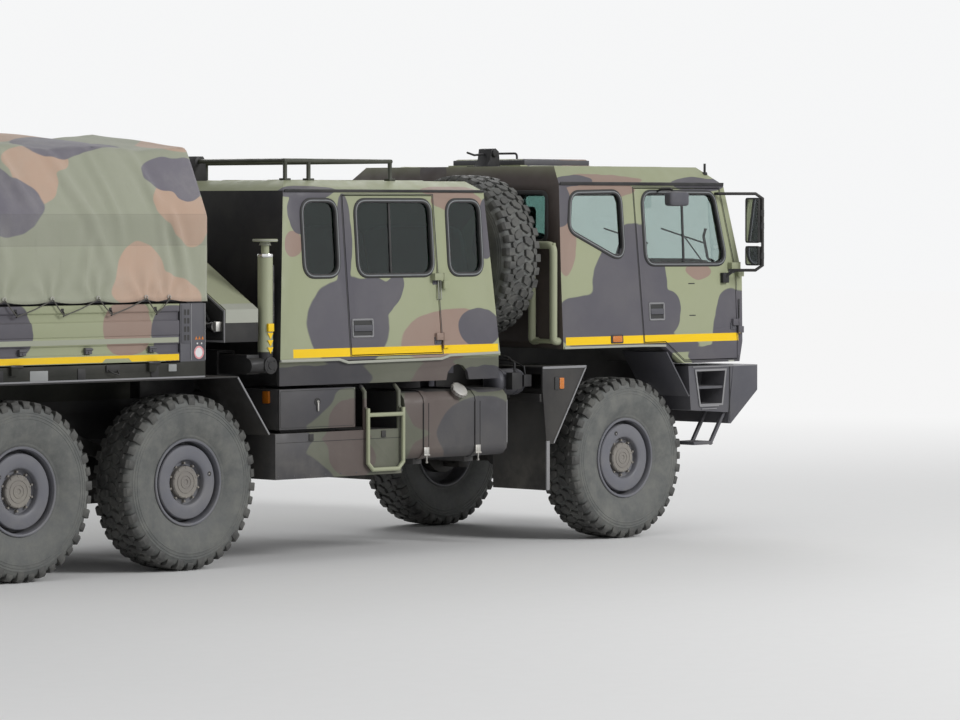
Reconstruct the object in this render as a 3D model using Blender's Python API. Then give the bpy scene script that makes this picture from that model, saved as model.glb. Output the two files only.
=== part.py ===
"""Six-wheeled military cargo truck: a driver's cab, a crew cab and a tarpaulin-covered bed.

Metres, +Z up, +X towards the nose, -Y on the truck's right. Everything is laid out from a point
on the ground below the front axle, and moved at the end so that the origin lies under the middle
of the truck. What comes in pairs is drawn once on the right, with y below zero, and mirrored.
"""
import math

import bmesh
import bpy
from mathutils import Vector

for item in list(bpy.data.objects):
    bpy.data.objects.remove(item, do_unlink=True)

# Fits between pieces
SEAT = 0.0003
LAP = 0.004
OVERRUN = 0.05
MERGE_DISTANCE = 0.00001
PANEL_GAP = 0.007

# The body's widest half, which every other distance across the truck follows
BODY_HALF_WIDTH = 1.25

# Axles and wheels
WHEELBASE = 4.55
TANDEM_SPACING = 1.53
TYRE_RADIUS = 0.63
TYRE_WIDTH = 0.375
LUG_DEPTH = 0.022
LUGS = 26
BEAD_RADIUS = 0.30
BEAD_WIDTH = 0.28
TYRE_BEAD_WIDTH = 0.268
FLANGE_RADIUS = 0.3135
FLANGE_THICKNESS = 0.014
WHEEL_Y = BODY_HALF_WIDTH - 0.06 - TYRE_WIDTH / 2
HUB_RADIUS = 0.17
HUB_OFFSET = 0.03
DRUM_RADIUS = 0.20
AXLE_TUBE_RADIUS = 0.085
ROUND_STEPS = 18
RIM_STEPS = 16

# Frame rails
RAIL_OUTER_Y = 0.43
RAIL_FLANGE = 0.09
RAIL_WEB = 0.024
RAIL_BOTTOM = 0.92
RAIL_TOP = 1.20
RAIL_FRONT_X = 1.10
RAIL_REAR_X = -7.55

# Body
WALL = 0.05
FRONT_END_X = 1.45
REAR_END_X = -7.86

# Driver's cab
CAB_REAR_X = -0.80
CAB_FRONT_X = 1.29
CAB_BOTTOM_Z = 1.36
CAB_SILL_Z = 1.52
CAB_BELT_Z = 2.06
CAB_DRIP_Z = 2.77
CAB_ROOF_Z = CAB_DRIP_Z + 0.14
CAB_DRIP_HALF_WIDTH = BODY_HALF_WIDTH - 0.06
CAB_ROOF_HALF_WIDTH = BODY_HALF_WIDTH - 0.20

# Crew cab
CREW_REAR_X = -3.75
CREW_FRONT_X = -1.49
CREW_SILL_Z = 1.47
CREW_DRIP_Z = 2.71
CREW_ROOF_Z = CREW_DRIP_Z + 0.075
CREW_DRIP_HALF_WIDTH = BODY_HALF_WIDTH - 0.06
CREW_ROOF_HALF_WIDTH = BODY_HALF_WIDTH - 0.18
CREW_SKIRT_BOTTOM_Z = 1.295

# Load bed
BED_FRONT_X = -4.473
BED_REAR_X = -7.74
BED_BOTTOM_Z = 1.38
BED_FLOOR_Z = 1.49
SIDE_BOTTOM_Z = BED_FLOOR_Z + 0.01
SIDE_TOP_Z = 1.908
TARP_BOTTOM_Z = SIDE_TOP_Z + 0.012
TARP_KNEE_Z = 2.53
TARP_SHOULDER_Z = 3.03
TARP_RIDGE_Z = TARP_SHOULDER_Z + 0.10
TARP_SHOULDER_Y = BODY_HALF_WIDTH - 0.23
TARP_THICKNESS = 0.02
TARP_REAR_X = -7.76
TARP_FRONT_X = -4.46
BOW_WIDTH = 0.03
# Share of the bed's length, from the headboard
BOW_SHARES = (0.0, 0.25, 0.5, 0.75, 1.0)

TO_CENTRE = Vector((-(FRONT_END_X + REAR_END_X) / 2, 0, 0))
RIGHT, LEFT = -1, 1
SIDES = (("right", RIGHT), ("left", LEFT))

# Columns: red, green, blue, roughness, metallic
FINISHES = {
    "paint_green": (0.39, 0.42, 0.26, 0.6, 0.0),
    "paint_dark": (0.10, 0.095, 0.11, 0.6, 0.0),
    "frame_black": (0.03, 0.03, 0.03, 0.7, 0.0),
    "tyre_rubber": (0.05, 0.05, 0.05, 0.9, 0.0),
    "rim_grey": (0.16, 0.16, 0.17, 0.5, 0.3),
    "glass": (0.30, 0.36, 0.34, 0.05, 0.0),
    "canvas": (0.30, 0.28, 0.20, 0.9, 0.0),
    "seat_cloth": (0.06, 0.06, 0.07, 0.9, 0.0),
}


def finish(name):
    """The Principled material of that name, made once."""
    if name in bpy.data.materials:
        return bpy.data.materials[name]
    red, green, blue, roughness, metallic = FINISHES[name]
    material = bpy.data.materials.new(name)
    material.use_nodes = True
    shader = material.node_tree.nodes["Principled BSDF"]
    shader.inputs["Base Color"].default_value = (red, green, blue, 1)
    shader.inputs["Roughness"].default_value = roughness
    shader.inputs["Metallic"].default_value = metallic
    return material


def closed_mesh(shape):
    """Turn a closed bmesh into a mesh whose faces point out."""
    bmesh.ops.recalc_face_normals(shape, faces=shape.faces)
    mesh = bpy.data.meshes.new("piece")
    shape.to_mesh(mesh)
    shape.free()
    return mesh


def loft(rings):
    """A closed solid through rings of equal length."""
    shape = bmesh.new()
    rows = [[shape.verts.new(point) for point in ring] for ring in rings]
    count = len(rows[0])
    for lower, upper in zip(rows, rows[1:]):
        for i in range(count):
            j = (i + 1) % count
            shape.faces.new((lower[i], lower[j], upper[j], upper[i]))
    shape.faces.new(rows[0])
    shape.faces.new(rows[-1])
    return closed_mesh(shape)


def block(low, high):
    """A box between two corners."""
    (x0, y0, z0), (x1, y1, z1) = low, high
    return loft([[(x0, y0, z), (x1, y0, z), (x1, y1, z), (x0, y1, z)] for z in (z0, z1)])


def prism(outline, axis, start, end):
    """An outline of two coordinates, extruded along the axis named x, y or z."""
    place = {
        "x": lambda u, v, w: (w, u, v),
        "y": lambda u, v, w: (u, w, v),
        "z": lambda u, v, w: (u, v, w),
    }[axis]
    return loft([[place(u, v, w) for u, v in outline] for w in (start, end)])


def ring(centre, direction, radius, sides):
    """Points of a circle round a direction."""
    turn = Vector(direction).to_track_quat("Z", "Y")
    angles = (2 * math.pi * i / sides for i in range(sides))
    flat = (Vector((radius * math.cos(a), radius * math.sin(a), 0)) for a in angles)
    return [Vector(centre) + turn @ point for point in flat]


def rod(start, end, radius, sides=ROUND_STEPS, end_radius=None):
    """A straight round bar, or a cone with an end radius."""
    direction = Vector(end) - Vector(start)
    last = radius if end_radius is None else end_radius
    return loft([ring(start, direction, radius, sides), ring(end, direction, last, sides)])


PIPE_SIDES = 8


def pipe(points, radius, sides=PIPE_SIDES):
    """A round bar through points, mitred at the bends."""
    points = [Vector(point) for point in points]
    legs = [(b - a).normalized() for a, b in zip(points, points[1:])]
    spin = legs[0].to_track_quat("Z", "Y")
    circle = [spin @ point for point in ring((0, 0, 0), (0, 0, 1), radius, sides)]
    rings = []
    for i, point in enumerate(points):
        before = legs[max(i - 1, 0)]
        after = legs[min(i, len(legs) - 1)]
        across = (before + after).normalized()
        circle = [before.rotation_difference(after) @ spoke for spoke in circle]
        row = []
        for spoke in circle:
            slide = -spoke.dot(across) / after.dot(across)
            row.append(point + spoke + after * slide)
        rings.append(row)
    return loft(rings)


def turned(profile, centre, axis, steps=ROUND_STEPS):
    """A solid of revolution. Profile columns: offset along the axis, radius. Ends on the axis."""
    turn = Vector(axis).to_track_quat("Z", "Y")
    shape = bmesh.new()
    rows = []
    for offset, radius in profile:
        middle = Vector(centre) + turn @ Vector((0, 0, offset))
        if radius:
            rows.append([shape.verts.new(p) for p in ring(middle, axis, radius, steps)])
        else:
            rows.append([shape.verts.new(middle)])
    for row, following in zip(rows, rows[1:]):
        for i in range(steps):
            j = (i + 1) % steps
            if len(row) == 1:
                shape.faces.new((row[0], following[j], following[i]))
            elif len(following) == 1:
                shape.faces.new((row[i], row[j], following[0]))
            else:
                shape.faces.new((row[i], row[j], following[j], following[i]))
    return closed_mesh(shape)


def rounded(outline, radius, steps=2):
    """An outline of two coordinates with each corner turned into an arc."""
    result = []
    points = [Vector(point) for point in outline]
    for before, corner, after in zip(points[-1:] + points, points, points[1:] + points[:1]):
        back = (before - corner).normalized()
        ahead = (after - corner).normalized()
        half = back.angle(ahead) / 2
        middle = corner + (back + ahead).normalized() * (radius / math.sin(half))
        first = corner + back * (radius / math.tan(half)) - middle
        last = corner + ahead * (radius / math.tan(half)) - middle
        for i in range(steps + 1):
            spoke = first.lerp(last, i / steps).normalized() * radius
            result.append(tuple(middle + spoke))
    return result


def offset(outline, distance):
    """An outline drawn smaller by a distance on every side, or larger if it is negative."""
    points = [Vector(point) for point in outline]
    area = sum(a.cross(b) for a, b in zip(points, points[1:] + points[:1]))
    inward = distance if area > 0 else -distance
    result = []
    for before, corner, after in zip(points[-1:] + points, points, points[1:] + points[:1]):
        come = (corner - before).normalized()
        leave = (after - corner).normalized()
        normal_in = Vector((-come.y, come.x))
        normal_out = Vector((-leave.y, leave.x))
        mitre = (normal_in + normal_out).normalized()
        result.append(tuple(corner + mitre * (inward / mitre.dot(normal_in))))
    return result


def scaled(shares, start, size):
    """Outline points given as shares of a size, measured from a start."""
    return [(start[0] + u * size[0], start[1] + v * size[1]) for u, v in shares]


def mirrored(mesh):
    """The same solid on the truck's other side."""
    shape = bmesh.new()
    shape.from_mesh(mesh)
    bmesh.ops.scale(shape, vec=(1, -1, 1), verts=shape.verts)
    return closed_mesh(shape)


def both(meshes):
    """Right-hand solids with their mirrored twins."""
    return [twin for mesh in meshes for twin in (mesh, mirrored(mesh))]


def combined(base, others, operation):
    """The base solid joined with, cut by or kept inside a group of solids."""
    if not others:
        return base
    group = bpy.data.collections.new("operands")
    bpy.context.scene.collection.children.link(group)
    for mesh in others:
        group.objects.link(bpy.data.objects.new("operand", mesh))
    subject = bpy.data.objects.new("subject", base)
    bpy.context.scene.collection.objects.link(subject)
    boolean = subject.modifiers.new("combine", "BOOLEAN")
    boolean.operand_type = "COLLECTION"
    boolean.collection = group
    boolean.operation = operation
    boolean.solver = "EXACT"
    bpy.context.view_layer.update()
    seen = subject.evaluated_get(bpy.context.evaluated_depsgraph_get())
    result = bpy.data.meshes.new_from_object(seen)
    for item in list(group.objects) + [subject]:
        bpy.data.objects.remove(item, do_unlink=True)
    bpy.data.collections.remove(group)
    return result


COPLANAR_ANGLE = math.radians(0.05)
SMOOTH_ANGLE = math.radians(35)


def solid(name, material, add, cut=(), pivot=(0, 0, 0), side=RIGHT):
    """One named piece: solids joined, others cut away, its origin on its pivot."""
    mesh = combined(add[0], list(add[1:]), "UNION")
    mesh = combined(mesh, list(cut), "DIFFERENCE")
    if side == LEFT:
        mesh = mirrored(mesh)
        pivot = (pivot[0], -pivot[1], pivot[2])
    shape = bmesh.new()
    shape.from_mesh(mesh)
    bmesh.ops.remove_doubles(shape, verts=shape.verts, dist=MERGE_DISTANCE)
    bmesh.ops.dissolve_limit(shape, angle_limit=COPLANAR_ANGLE, verts=shape.verts, edges=shape.edges)
    bmesh.ops.translate(shape, vec=-Vector(pivot), verts=shape.verts)
    final = bpy.data.meshes.new(name)
    shape.to_mesh(final)
    shape.free()
    final.materials.clear()
    final.materials.append(finish(material))
    for face in final.polygons:
        face.material_index = 0
    final.shade_smooth()
    final.set_sharp_from_angle(angle=SMOOTH_ANGLE)
    item = bpy.data.objects.new(name, final)
    item.location = Vector(pivot) + TO_CENTRE
    bpy.context.scene.collection.objects.link(item)
    return item


# Tyres and rims

TYRE_SHOULDER_SHARE = 0.86
TYRE_BELLY_SHARES = (0.47, 0.52)
TYRE_TREAD_SHARE = 0.44


def tyre_mesh(centre, axis):
    """A tyre with staggered lugs, their tips at the full radius. The axis points to the street side."""
    turn = Vector(axis).to_track_quat("Z", "X")
    belly_radius = BEAD_RADIUS + TYRE_BELLY_SHARES[1] * (TYRE_RADIUS - BEAD_RADIUS)
    shoulder_radius = BEAD_RADIUS + TYRE_SHOULDER_SHARE * (TYRE_RADIUS - BEAD_RADIUS)
    half = TYRE_WIDTH / 2
    tread = TYRE_TREAD_SHARE * TYRE_WIDTH
    groove = TYRE_RADIUS - LUG_DEPTH
    shape = bmesh.new()
    rows = []
    stations = 2 * LUGS
    bead_radius = BEAD_RADIUS / math.cos(math.pi / stations)
    for i in range(stations):
        near, far = (TYRE_RADIUS, groove) if i % 2 == 0 else (groove, TYRE_RADIUS)
        # Columns: offset towards the street side, radius
        profile = (
            (-TYRE_BEAD_WIDTH / 2, bead_radius),
            (-half, belly_radius),
            (-half, shoulder_radius),
            (-tread, far),
            (tread, near),
            (half, shoulder_radius),
            (half, belly_radius),
            (TYRE_BEAD_WIDTH / 2, bead_radius),
        )
        angle = 2 * math.pi * i / stations
        spoke = turn @ Vector((math.cos(angle), math.sin(angle), 0))
        along = turn @ Vector((0, 0, 1))
        rows.append([shape.verts.new(Vector(centre) + along * o + spoke * r) for o, r in profile])
    count = len(rows[0])
    for i in range(stations):
        row, following = rows[i], rows[(i + 1) % stations]
        for k in range(count):
            m = (k + 1) % count
            shape.faces.new((row[k], row[m], following[m], following[k]))
    return closed_mesh(shape)


# Columns: share of the half rim width, share of the bead radius
RIM_FACE_SHARES = (
    (0.84, 0.95), (0.36, 0.89), (0.44, 0.60), (0.10, 0.53), (0.10, 0.34), (0.55, 0.29), (0.60, 0),
)
RIM_BACK_SHARES = ((-0.16, 0.84), (-0.90, 0.94))


def rim_mesh(centre, axis):
    """A dished disc wheel. The axis points to the street side."""
    half = BEAD_WIDTH / 2 + SEAT
    edge = half + FLANGE_THICKNESS
    seat = BEAD_RADIUS - SEAT
    back = [(u * half, v * seat) for u, v in RIM_BACK_SHARES]
    face = [(u * half, v * seat) for u, v in RIM_FACE_SHARES]
    profile = [(-HUB_OFFSET, 0), (-HUB_OFFSET, HUB_RADIUS)] + back
    profile += [(-edge, seat), (-edge, FLANGE_RADIUS), (-half, FLANGE_RADIUS), (-half, seat)]
    profile += [(half, seat), (half, FLANGE_RADIUS), (edge, FLANGE_RADIUS), (edge, seat)]
    return turned(profile + face, centre, axis, RIM_STEPS)


# Columns: name, distance of the axle behind the front axle
AXLES = (("front", 0), ("middle", WHEELBASE), ("rear", WHEELBASE + TANDEM_SPACING))
SPARE_CENTRE = (-1.16, -0.57, 2.21)


def make_wheels():
    """Six road wheels and the spare."""
    for axle, behind in AXLES:
        for side_name, side in SIDES:
            centre = (-behind, side * WHEEL_Y, TYRE_RADIUS)
            for kind, maker, material in (("tyre", tyre_mesh, "tyre_rubber"), ("rim", rim_mesh, "rim_grey")):
                mesh = maker(centre, (0, side, 0))
                solid(f"{kind}_{axle}_{side_name}", material, [mesh], pivot=centre)
    solid("spare_tyre", "tyre_rubber", [tyre_mesh(SPARE_CENTRE, (1, 0, 0))], pivot=SPARE_CENTRE)
    solid("spare_rim", "rim_grey", [rim_mesh(SPARE_CENTRE, (1, 0, 0))], pivot=SPARE_CENTRE)


# Axles, springs and steering knuckles

DIFF_RADIUS = 0.20
DIFF_HALF_WIDTH = 0.12
DIFF_TAPER_Y = 0.27
DRUM_BACK_Y = WHEEL_Y - 0.2025
SPRING_Y = 0.385
SPRING_WIDTH = 0.075
SPRING_REACH = 0.62
SPRING_DEPTH = 0.09
NOSE_RADIUS = 0.09
NOSE_REACH = 0.30
KINGPIN_Y = WHEEL_Y - 0.2025
KINGPIN_RADIUS = 0.055
KNUCKLE_HALF_HEIGHT = 0.11
EAR_THICKNESS = 0.035
YOKE_INNER_Y = WHEEL_Y - 0.3625
YOKE_OUTER_Y = WHEEL_Y - 0.3125
KNUCKLE_FACE_Y = WHEEL_Y - 0.1275
BOGIE_SPRING_Y = 0.55
BOGIE_SPRING_CENTRE_Z = 1.0
BOGIE_TUBE_RADIUS = 0.07
HUB_FACE_Y = WHEEL_Y - HUB_OFFSET - SEAT


def axle_tube(x, ends):
    """Axle housing with its differential, along Y. Ends: columns of distance out and radius."""
    half = list(ends) + [(DIFF_TAPER_Y, AXLE_TUBE_RADIUS), (DIFF_HALF_WIDTH, DIFF_RADIUS)]
    profile = [(-y, r) for y, r in half] + half[::-1]
    return turned(profile, (x, 0, TYRE_RADIUS), (0, 1, 0))


def drive_nose(x, towards):
    """Where the shaft meets the differential."""
    tip = (x + towards * NOSE_REACH, 0, TYRE_RADIUS)
    return rod((x, 0, TYRE_RADIUS), tip, NOSE_RADIUS)


def leaf_pack(x, y, reach, thickness, low_z, high_z, tip_depth):
    """A stack of leaves: its middle at low_z, its ends rising to high_z."""
    outline = [
        (x - reach, high_z - tip_depth), (x, low_z), (x + reach, high_z - tip_depth),
        (x + reach, high_z), (x, low_z + thickness), (x - reach, high_z),
    ]
    return prism(outline, "y", y - SPRING_WIDTH / 2, y + SPRING_WIDTH / 2)


def make_front_axle():
    """The steered axle: housing, yokes and the two springs clamped on it."""
    stub = [(YOKE_INNER_Y + LAP, 0), (YOKE_INNER_Y + LAP, AXLE_TUBE_RADIUS)]
    low, high = TYRE_RADIUS - KNUCKLE_HALF_HEIGHT, TYRE_RADIUS + KNUCKLE_HALF_HEIGHT
    ear = EAR_THICKNESS
    yoke = [block((-KINGPIN_RADIUS, -YOKE_OUTER_Y, low - ear), (KINGPIN_RADIUS, -YOKE_INNER_Y, high + ear))]
    for z0, z1 in ((low - ear, low - SEAT), (high + SEAT, high + ear)):
        yoke.append(block((-KINGPIN_RADIUS, -KINGPIN_Y, z0), (KINGPIN_RADIUS, -YOKE_INNER_Y - LAP, z1)))
        yoke.append(rod((0, -KINGPIN_Y, z0), (0, -KINGPIN_Y, z1), KINGPIN_RADIUS))
    spring = leaf_pack(0, -SPRING_Y, SPRING_REACH, SPRING_DEPTH, TYRE_RADIUS + AXLE_TUBE_RADIUS - LAP,
                       RAIL_BOTTOM - SEAT, SPRING_DEPTH / 3)
    pieces = [axle_tube(0, stub), drive_nose(0, -1)] + both(yoke + [spring])
    solid("front_axle", "frame_black", pieces)


def make_knuckles():
    """The knuckles turn on their kingpins and carry the front hubs."""
    low, high = TYRE_RADIUS - KNUCKLE_HALF_HEIGHT, TYRE_RADIUS + KNUCKLE_HALF_HEIGHT
    neck = KINGPIN_RADIUS - LAP
    barrel = rod((0, -KINGPIN_Y, low), (0, -KINGPIN_Y, high), KINGPIN_RADIUS)
    arm = block((-neck, -KNUCKLE_FACE_Y - LAP, low + LAP), (neck, -KINGPIN_Y, high - LAP))
    hub = rod((0, -KNUCKLE_FACE_Y, TYRE_RADIUS), (0, -HUB_FACE_Y, TYRE_RADIUS), DRUM_RADIUS)
    for side_name, side in SIDES:
        solid(f"knuckle_{side_name}", "frame_black", [barrel, arm, hub],
              pivot=(0, -KINGPIN_Y, TYRE_RADIUS), side=side)


def make_rear_axles():
    """Two driven axles with their brake drums and spring pads."""
    ends = [(HUB_FACE_Y, 0), (HUB_FACE_Y, DRUM_RADIUS), (DRUM_BACK_Y, DRUM_RADIUS),
            (DRUM_BACK_Y, AXLE_TUBE_RADIUS)]
    half = SPRING_DEPTH / 2
    y0, y1 = -BOGIE_SPRING_Y - SPRING_WIDTH / 2, -BOGIE_SPRING_Y + SPRING_WIDTH / 2
    for axle, behind in AXLES[1:]:
        pad = block((-behind - half, y0, TYRE_RADIUS), (-behind + half, y1, TYRE_RADIUS + AXLE_TUBE_RADIUS))
        solid(f"{axle}_axle", "frame_black", [axle_tube(-behind, ends), drive_nose(-behind, 1)] + both([pad]))


def make_bogie():
    """The two springs that the rear axles share, on one cross tube."""
    x = -WHEELBASE - TANDEM_SPACING / 2
    reach = TANDEM_SPACING / 2
    seat_z = TYRE_RADIUS + AXLE_TUBE_RADIUS + SEAT
    top_z = BOGIE_SPRING_CENTRE_Z
    tip = SPRING_DEPTH / 2
    outline = [
        (x - reach - tip, seat_z), (x - reach + tip, seat_z), (x, top_z - SPRING_DEPTH),
        (x + reach - tip, seat_z), (x + reach + tip, seat_z), (x + reach, seat_z + tip),
        (x, top_z + tip), (x - reach, seat_z + tip),
    ]
    y0, y1 = -BOGIE_SPRING_Y - SPRING_WIDTH / 2, -BOGIE_SPRING_Y + SPRING_WIDTH / 2
    tube_z = RAIL_BOTTOM - BOGIE_TUBE_RADIUS - SEAT
    cross = rod((x, -BOGIE_SPRING_Y, tube_z), (x, BOGIE_SPRING_Y, tube_z), BOGIE_TUBE_RADIUS)
    saddle = block((x - tip, y0, tube_z - BOGIE_TUBE_RADIUS), (x + tip, y1, top_z - SPRING_DEPTH + LAP))
    hanger = block((x - tip, -RAIL_OUTER_Y, tube_z - BOGIE_TUBE_RADIUS / 2),
                   (x + tip, -RAIL_OUTER_Y + RAIL_FLANGE, RAIL_BOTTOM - SEAT))
    solid("bogie_springs", "frame_black", [cross] + both([prism(outline, "y", y0, y1), saddle, hanger]))


# Frame

# Share of the rails' length, from the front
CROSS_MEMBER_SHARES = (0.01, 0.36, 0.47, 0.60, 0.80, 0.985)
CROSS_MEMBER_LENGTH = 0.09
TAIL_BAR_LOW_Z = 0.88
TAIL_BAR_HIGH_Z = 1.08
TAIL_BAR_HALF_WIDTH = BODY_HALF_WIDTH - 0.07
TAIL_LAMP_RADIUS = 0.055
# Share of the tail bar's half width
TAIL_LAMP_SHARES = (0.94, 0.83)
TAIL_LAMP_DEPTH = 0.02
HITCH_HALF_WIDTH = 0.14
HITCH_PLATE = 0.05
HITCH_STAND = 0.04
JAW_RADIUS = 0.07


def make_chassis():
    """Two channel rails, their cross members, the tail bar with its lamps and the tow jaw."""
    outer, inner = -RAIL_OUTER_Y, -RAIL_OUTER_Y + RAIL_FLANGE
    web = -RAIL_OUTER_Y + RAIL_WEB
    channel = [
        (outer, RAIL_BOTTOM), (inner, RAIL_BOTTOM), (inner, RAIL_BOTTOM + RAIL_WEB),
        (web, RAIL_BOTTOM + RAIL_WEB), (web, RAIL_TOP - RAIL_WEB), (inner, RAIL_TOP - RAIL_WEB),
        (inner, RAIL_TOP), (outer, RAIL_TOP),
    ]
    pieces = both([prism(channel, "x", RAIL_REAR_X, RAIL_FRONT_X)])
    low, high = RAIL_BOTTOM + RAIL_WEB + LAP, RAIL_TOP - RAIL_WEB - LAP
    reach = RAIL_OUTER_Y - RAIL_WEB + LAP
    for share in CROSS_MEMBER_SHARES:
        x = RAIL_FRONT_X + share * (RAIL_REAR_X - RAIL_FRONT_X)
        half = CROSS_MEMBER_LENGTH / 2
        pieces.append(block((x - half, -reach, low), (x + half, reach, high)))
    rear, front = RAIL_REAR_X - HITCH_STAND, RAIL_REAR_X + LAP
    width = TAIL_BAR_HALF_WIDTH
    pieces.append(block((rear, -width, TAIL_BAR_LOW_Z), (front, width, TAIL_BAR_HIGH_Z)))
    middle_z = (TAIL_BAR_LOW_Z + TAIL_BAR_HIGH_Z) / 2
    lamps = [rod((rear + LAP, -share * width, middle_z), (rear - TAIL_LAMP_DEPTH, -share * width, middle_z),
                 TAIL_LAMP_RADIUS) for share in TAIL_LAMP_SHARES]
    pieces += both(lamps)
    half = HITCH_HALF_WIDTH
    plate_rear = rear - HITCH_PLATE
    pieces.append(block((plate_rear, -half, middle_z - half), (rear + LAP, half, middle_z + half)))
    jaw = [block((REAR_END_X, -JAW_RADIUS, middle_z - JAW_RADIUS),
                 (plate_rear + LAP, JAW_RADIUS, middle_z + JAW_RADIUS))]
    mouth = block((REAR_END_X - OVERRUN, -JAW_RADIUS - OVERRUN, middle_z - JAW_RADIUS / 2),
                  (plate_rear - JAW_RADIUS / 2, JAW_RADIUS + OVERRUN, middle_z + JAW_RADIUS / 2))
    solid("chassis_frame", "frame_black", pieces + jaw, cut=[mouth])


ENGINE_REAR_X = -1.28
ENGINE_FRONT_X = -0.34
ENGINE_LOW_Z = 0.98
ENGINE_HIGH_Z = 1.46


def make_engine():
    """Engine and gearbox as one mass that fits between the rails' flanges."""
    half = RAIL_OUTER_Y - RAIL_FLANGE - SEAT
    mass = block((ENGINE_REAR_X, -half, ENGINE_LOW_Z), (ENGINE_FRONT_X, half, ENGINE_HIGH_Z))
    solid("engine_block", "frame_black", [mass])


# Cabs

CAB_CHIN = 0.055
CAB_SILL_SETBACK = 0.02
CAB_LEAN = 0.0259
CAB_SCREEN_RAKE = 0.19
CAB_ROOF_RAKE = 0.36
CAB_REAR_RAKE = 0.01
CAB_ROOF_REAR_RAKE = 0.10
CREW_REAR_RAKE = 0.082
CREW_FRONT_RAKE = 0.122
CREW_ROOF_RAKE = 0.20

# Columns: height, rear end, front end, half width
CAB_SECTIONS = (
    (CAB_BOTTOM_Z, CAB_REAR_X, CAB_FRONT_X - CAB_CHIN, BODY_HALF_WIDTH),
    (CAB_SILL_Z, CAB_REAR_X, CAB_FRONT_X - CAB_SILL_SETBACK, BODY_HALF_WIDTH),
    (CAB_BELT_Z, CAB_REAR_X, CAB_FRONT_X, BODY_HALF_WIDTH - CAB_LEAN),
    (CAB_DRIP_Z, CAB_REAR_X + CAB_REAR_RAKE, CAB_FRONT_X - CAB_SCREEN_RAKE, CAB_DRIP_HALF_WIDTH),
    (CAB_ROOF_Z, CAB_REAR_X + CAB_ROOF_REAR_RAKE, CAB_FRONT_X - CAB_ROOF_RAKE, CAB_ROOF_HALF_WIDTH),
)
CREW_SECTIONS = (
    (CREW_SILL_Z, CREW_REAR_X, CREW_FRONT_X, BODY_HALF_WIDTH),
    (CREW_DRIP_Z, CREW_REAR_X + CREW_REAR_RAKE, CREW_FRONT_X - CREW_FRONT_RAKE, CREW_DRIP_HALF_WIDTH),
    (CREW_ROOF_Z, CREW_REAR_X + CREW_ROOF_RAKE, CREW_FRONT_X - CREW_ROOF_RAKE, CREW_ROOF_HALF_WIDTH),
)


def section_at(sections, height):
    """Rear end, front end and half width of a cab at a height."""
    for low, high in zip(sections, sections[1:]):
        if height <= high[0] or high is sections[-1]:
            share = (height - low[0]) / (high[0] - low[0])
            return [a + share * (b - a) for a, b in zip(low[1:], high[1:])]


def cab_form(sections, inset=0, low=None, high=None):
    """The cab's outer form, drawn in by an inset on its four sides, between two heights."""
    low = sections[0][0] if low is None else low
    high = sections[-1][0] if high is None else high
    heights = [low] + [row[0] for row in sections if low < row[0] < high] + [high]
    rings = []
    for z in heights:
        rear, front, half = section_at(sections, z)
        x0, x1, y = rear + inset, front - inset, half - inset
        rings.append([(x0, -y, z), (x1, -y, z), (x1, y, z), (x0, y, z)])
    return loft(rings)


def side_cut(outline, depth):
    """A cutter through the right wall, down to a depth from the side of the body."""
    return prism(outline, "y", -BODY_HALF_WIDTH - OVERRUN, -BODY_HALF_WIDTH + depth)


WALL_CUT_DEPTH = 0.125
WINDOW_RADIUS = 0.09
GLASS_THICKNESS = 0.006
GLASS_INSET = 0.018


def side_panel(sections, outline, outer, inner, top):
    """A stretch of the right wall, between two insets from its outside."""
    bottom = sections[0][0]
    body = combined(cab_form(sections, outer), [side_cut(outline, WALL_CUT_DEPTH)], "INTERSECT")
    core = cab_form(sections, inner, bottom - OVERRUN, top + OVERRUN)
    return combined(body, [core], "DIFFERENCE")


HINGE_RADIUS = 0.011
HINGE_HEIGHT = 0.06
HINGE_ARM = 0.055
HINGE_PROUD = 0.003
HINGE_STAND = 0.012
HINGE_Y = -BODY_HALF_WIDTH - HINGE_STAND


def front_edge(outline, height):
    """The foremost point of an outline at a height."""
    places = []
    for (u0, v0), (u1, v1) in zip(outline, outline[1:] + outline[:1]):
        if min(v0, v1) <= height <= max(v0, v1) and v0 != v1:
            places.append(u0 + (u1 - u0) * (height - v0) / (v1 - v0))
    return max(places)


def hinge_pair(sections, outline, axis_x, heights):
    """Knuckles on one vertical axis: those of the door, and those of the cab ahead of it."""
    door, cab = [], []
    for z in heights:
        top = z + HINGE_HEIGHT
        skin = -section_at(sections, z)[2]
        edge = min(front_edge(outline, z), front_edge(outline, top)) - PANEL_GAP - LAP
        door.append(rod((axis_x, HINGE_Y, z + SEAT), (axis_x, HINGE_Y, top), HINGE_RADIUS, 12))
        door.append(block((edge - HINGE_ARM, HINGE_Y - LAP, z + LAP),
                          (axis_x, skin - HINGE_PROUD, top - LAP)))
        door.append(block((edge - HINGE_ARM, HINGE_Y, z + LAP), (edge, skin + WALL / 2, top - LAP)))
        low = z - HINGE_HEIGHT
        cab.append(rod((axis_x, HINGE_Y, low), (axis_x, HINGE_Y, z), HINGE_RADIUS, 12))
        cab.append(block((axis_x, HINGE_Y - LAP, low + LAP), (axis_x + HINGE_ARM, skin + WALL / 2, z - LAP)))
    return door, cab


def cab_frame(rear, front, sill, drip):
    """Start and size that the shares of a cab's side refer to."""
    return (rear, sill), (front - rear, drip - sill)


CAB_FRAME = cab_frame(CAB_REAR_X, CAB_FRONT_X, CAB_SILL_Z, CAB_DRIP_Z)
CREW_FRAME = cab_frame(CREW_REAR_X, CREW_FRONT_X, CREW_SILL_Z, CREW_DRIP_Z)

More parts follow.
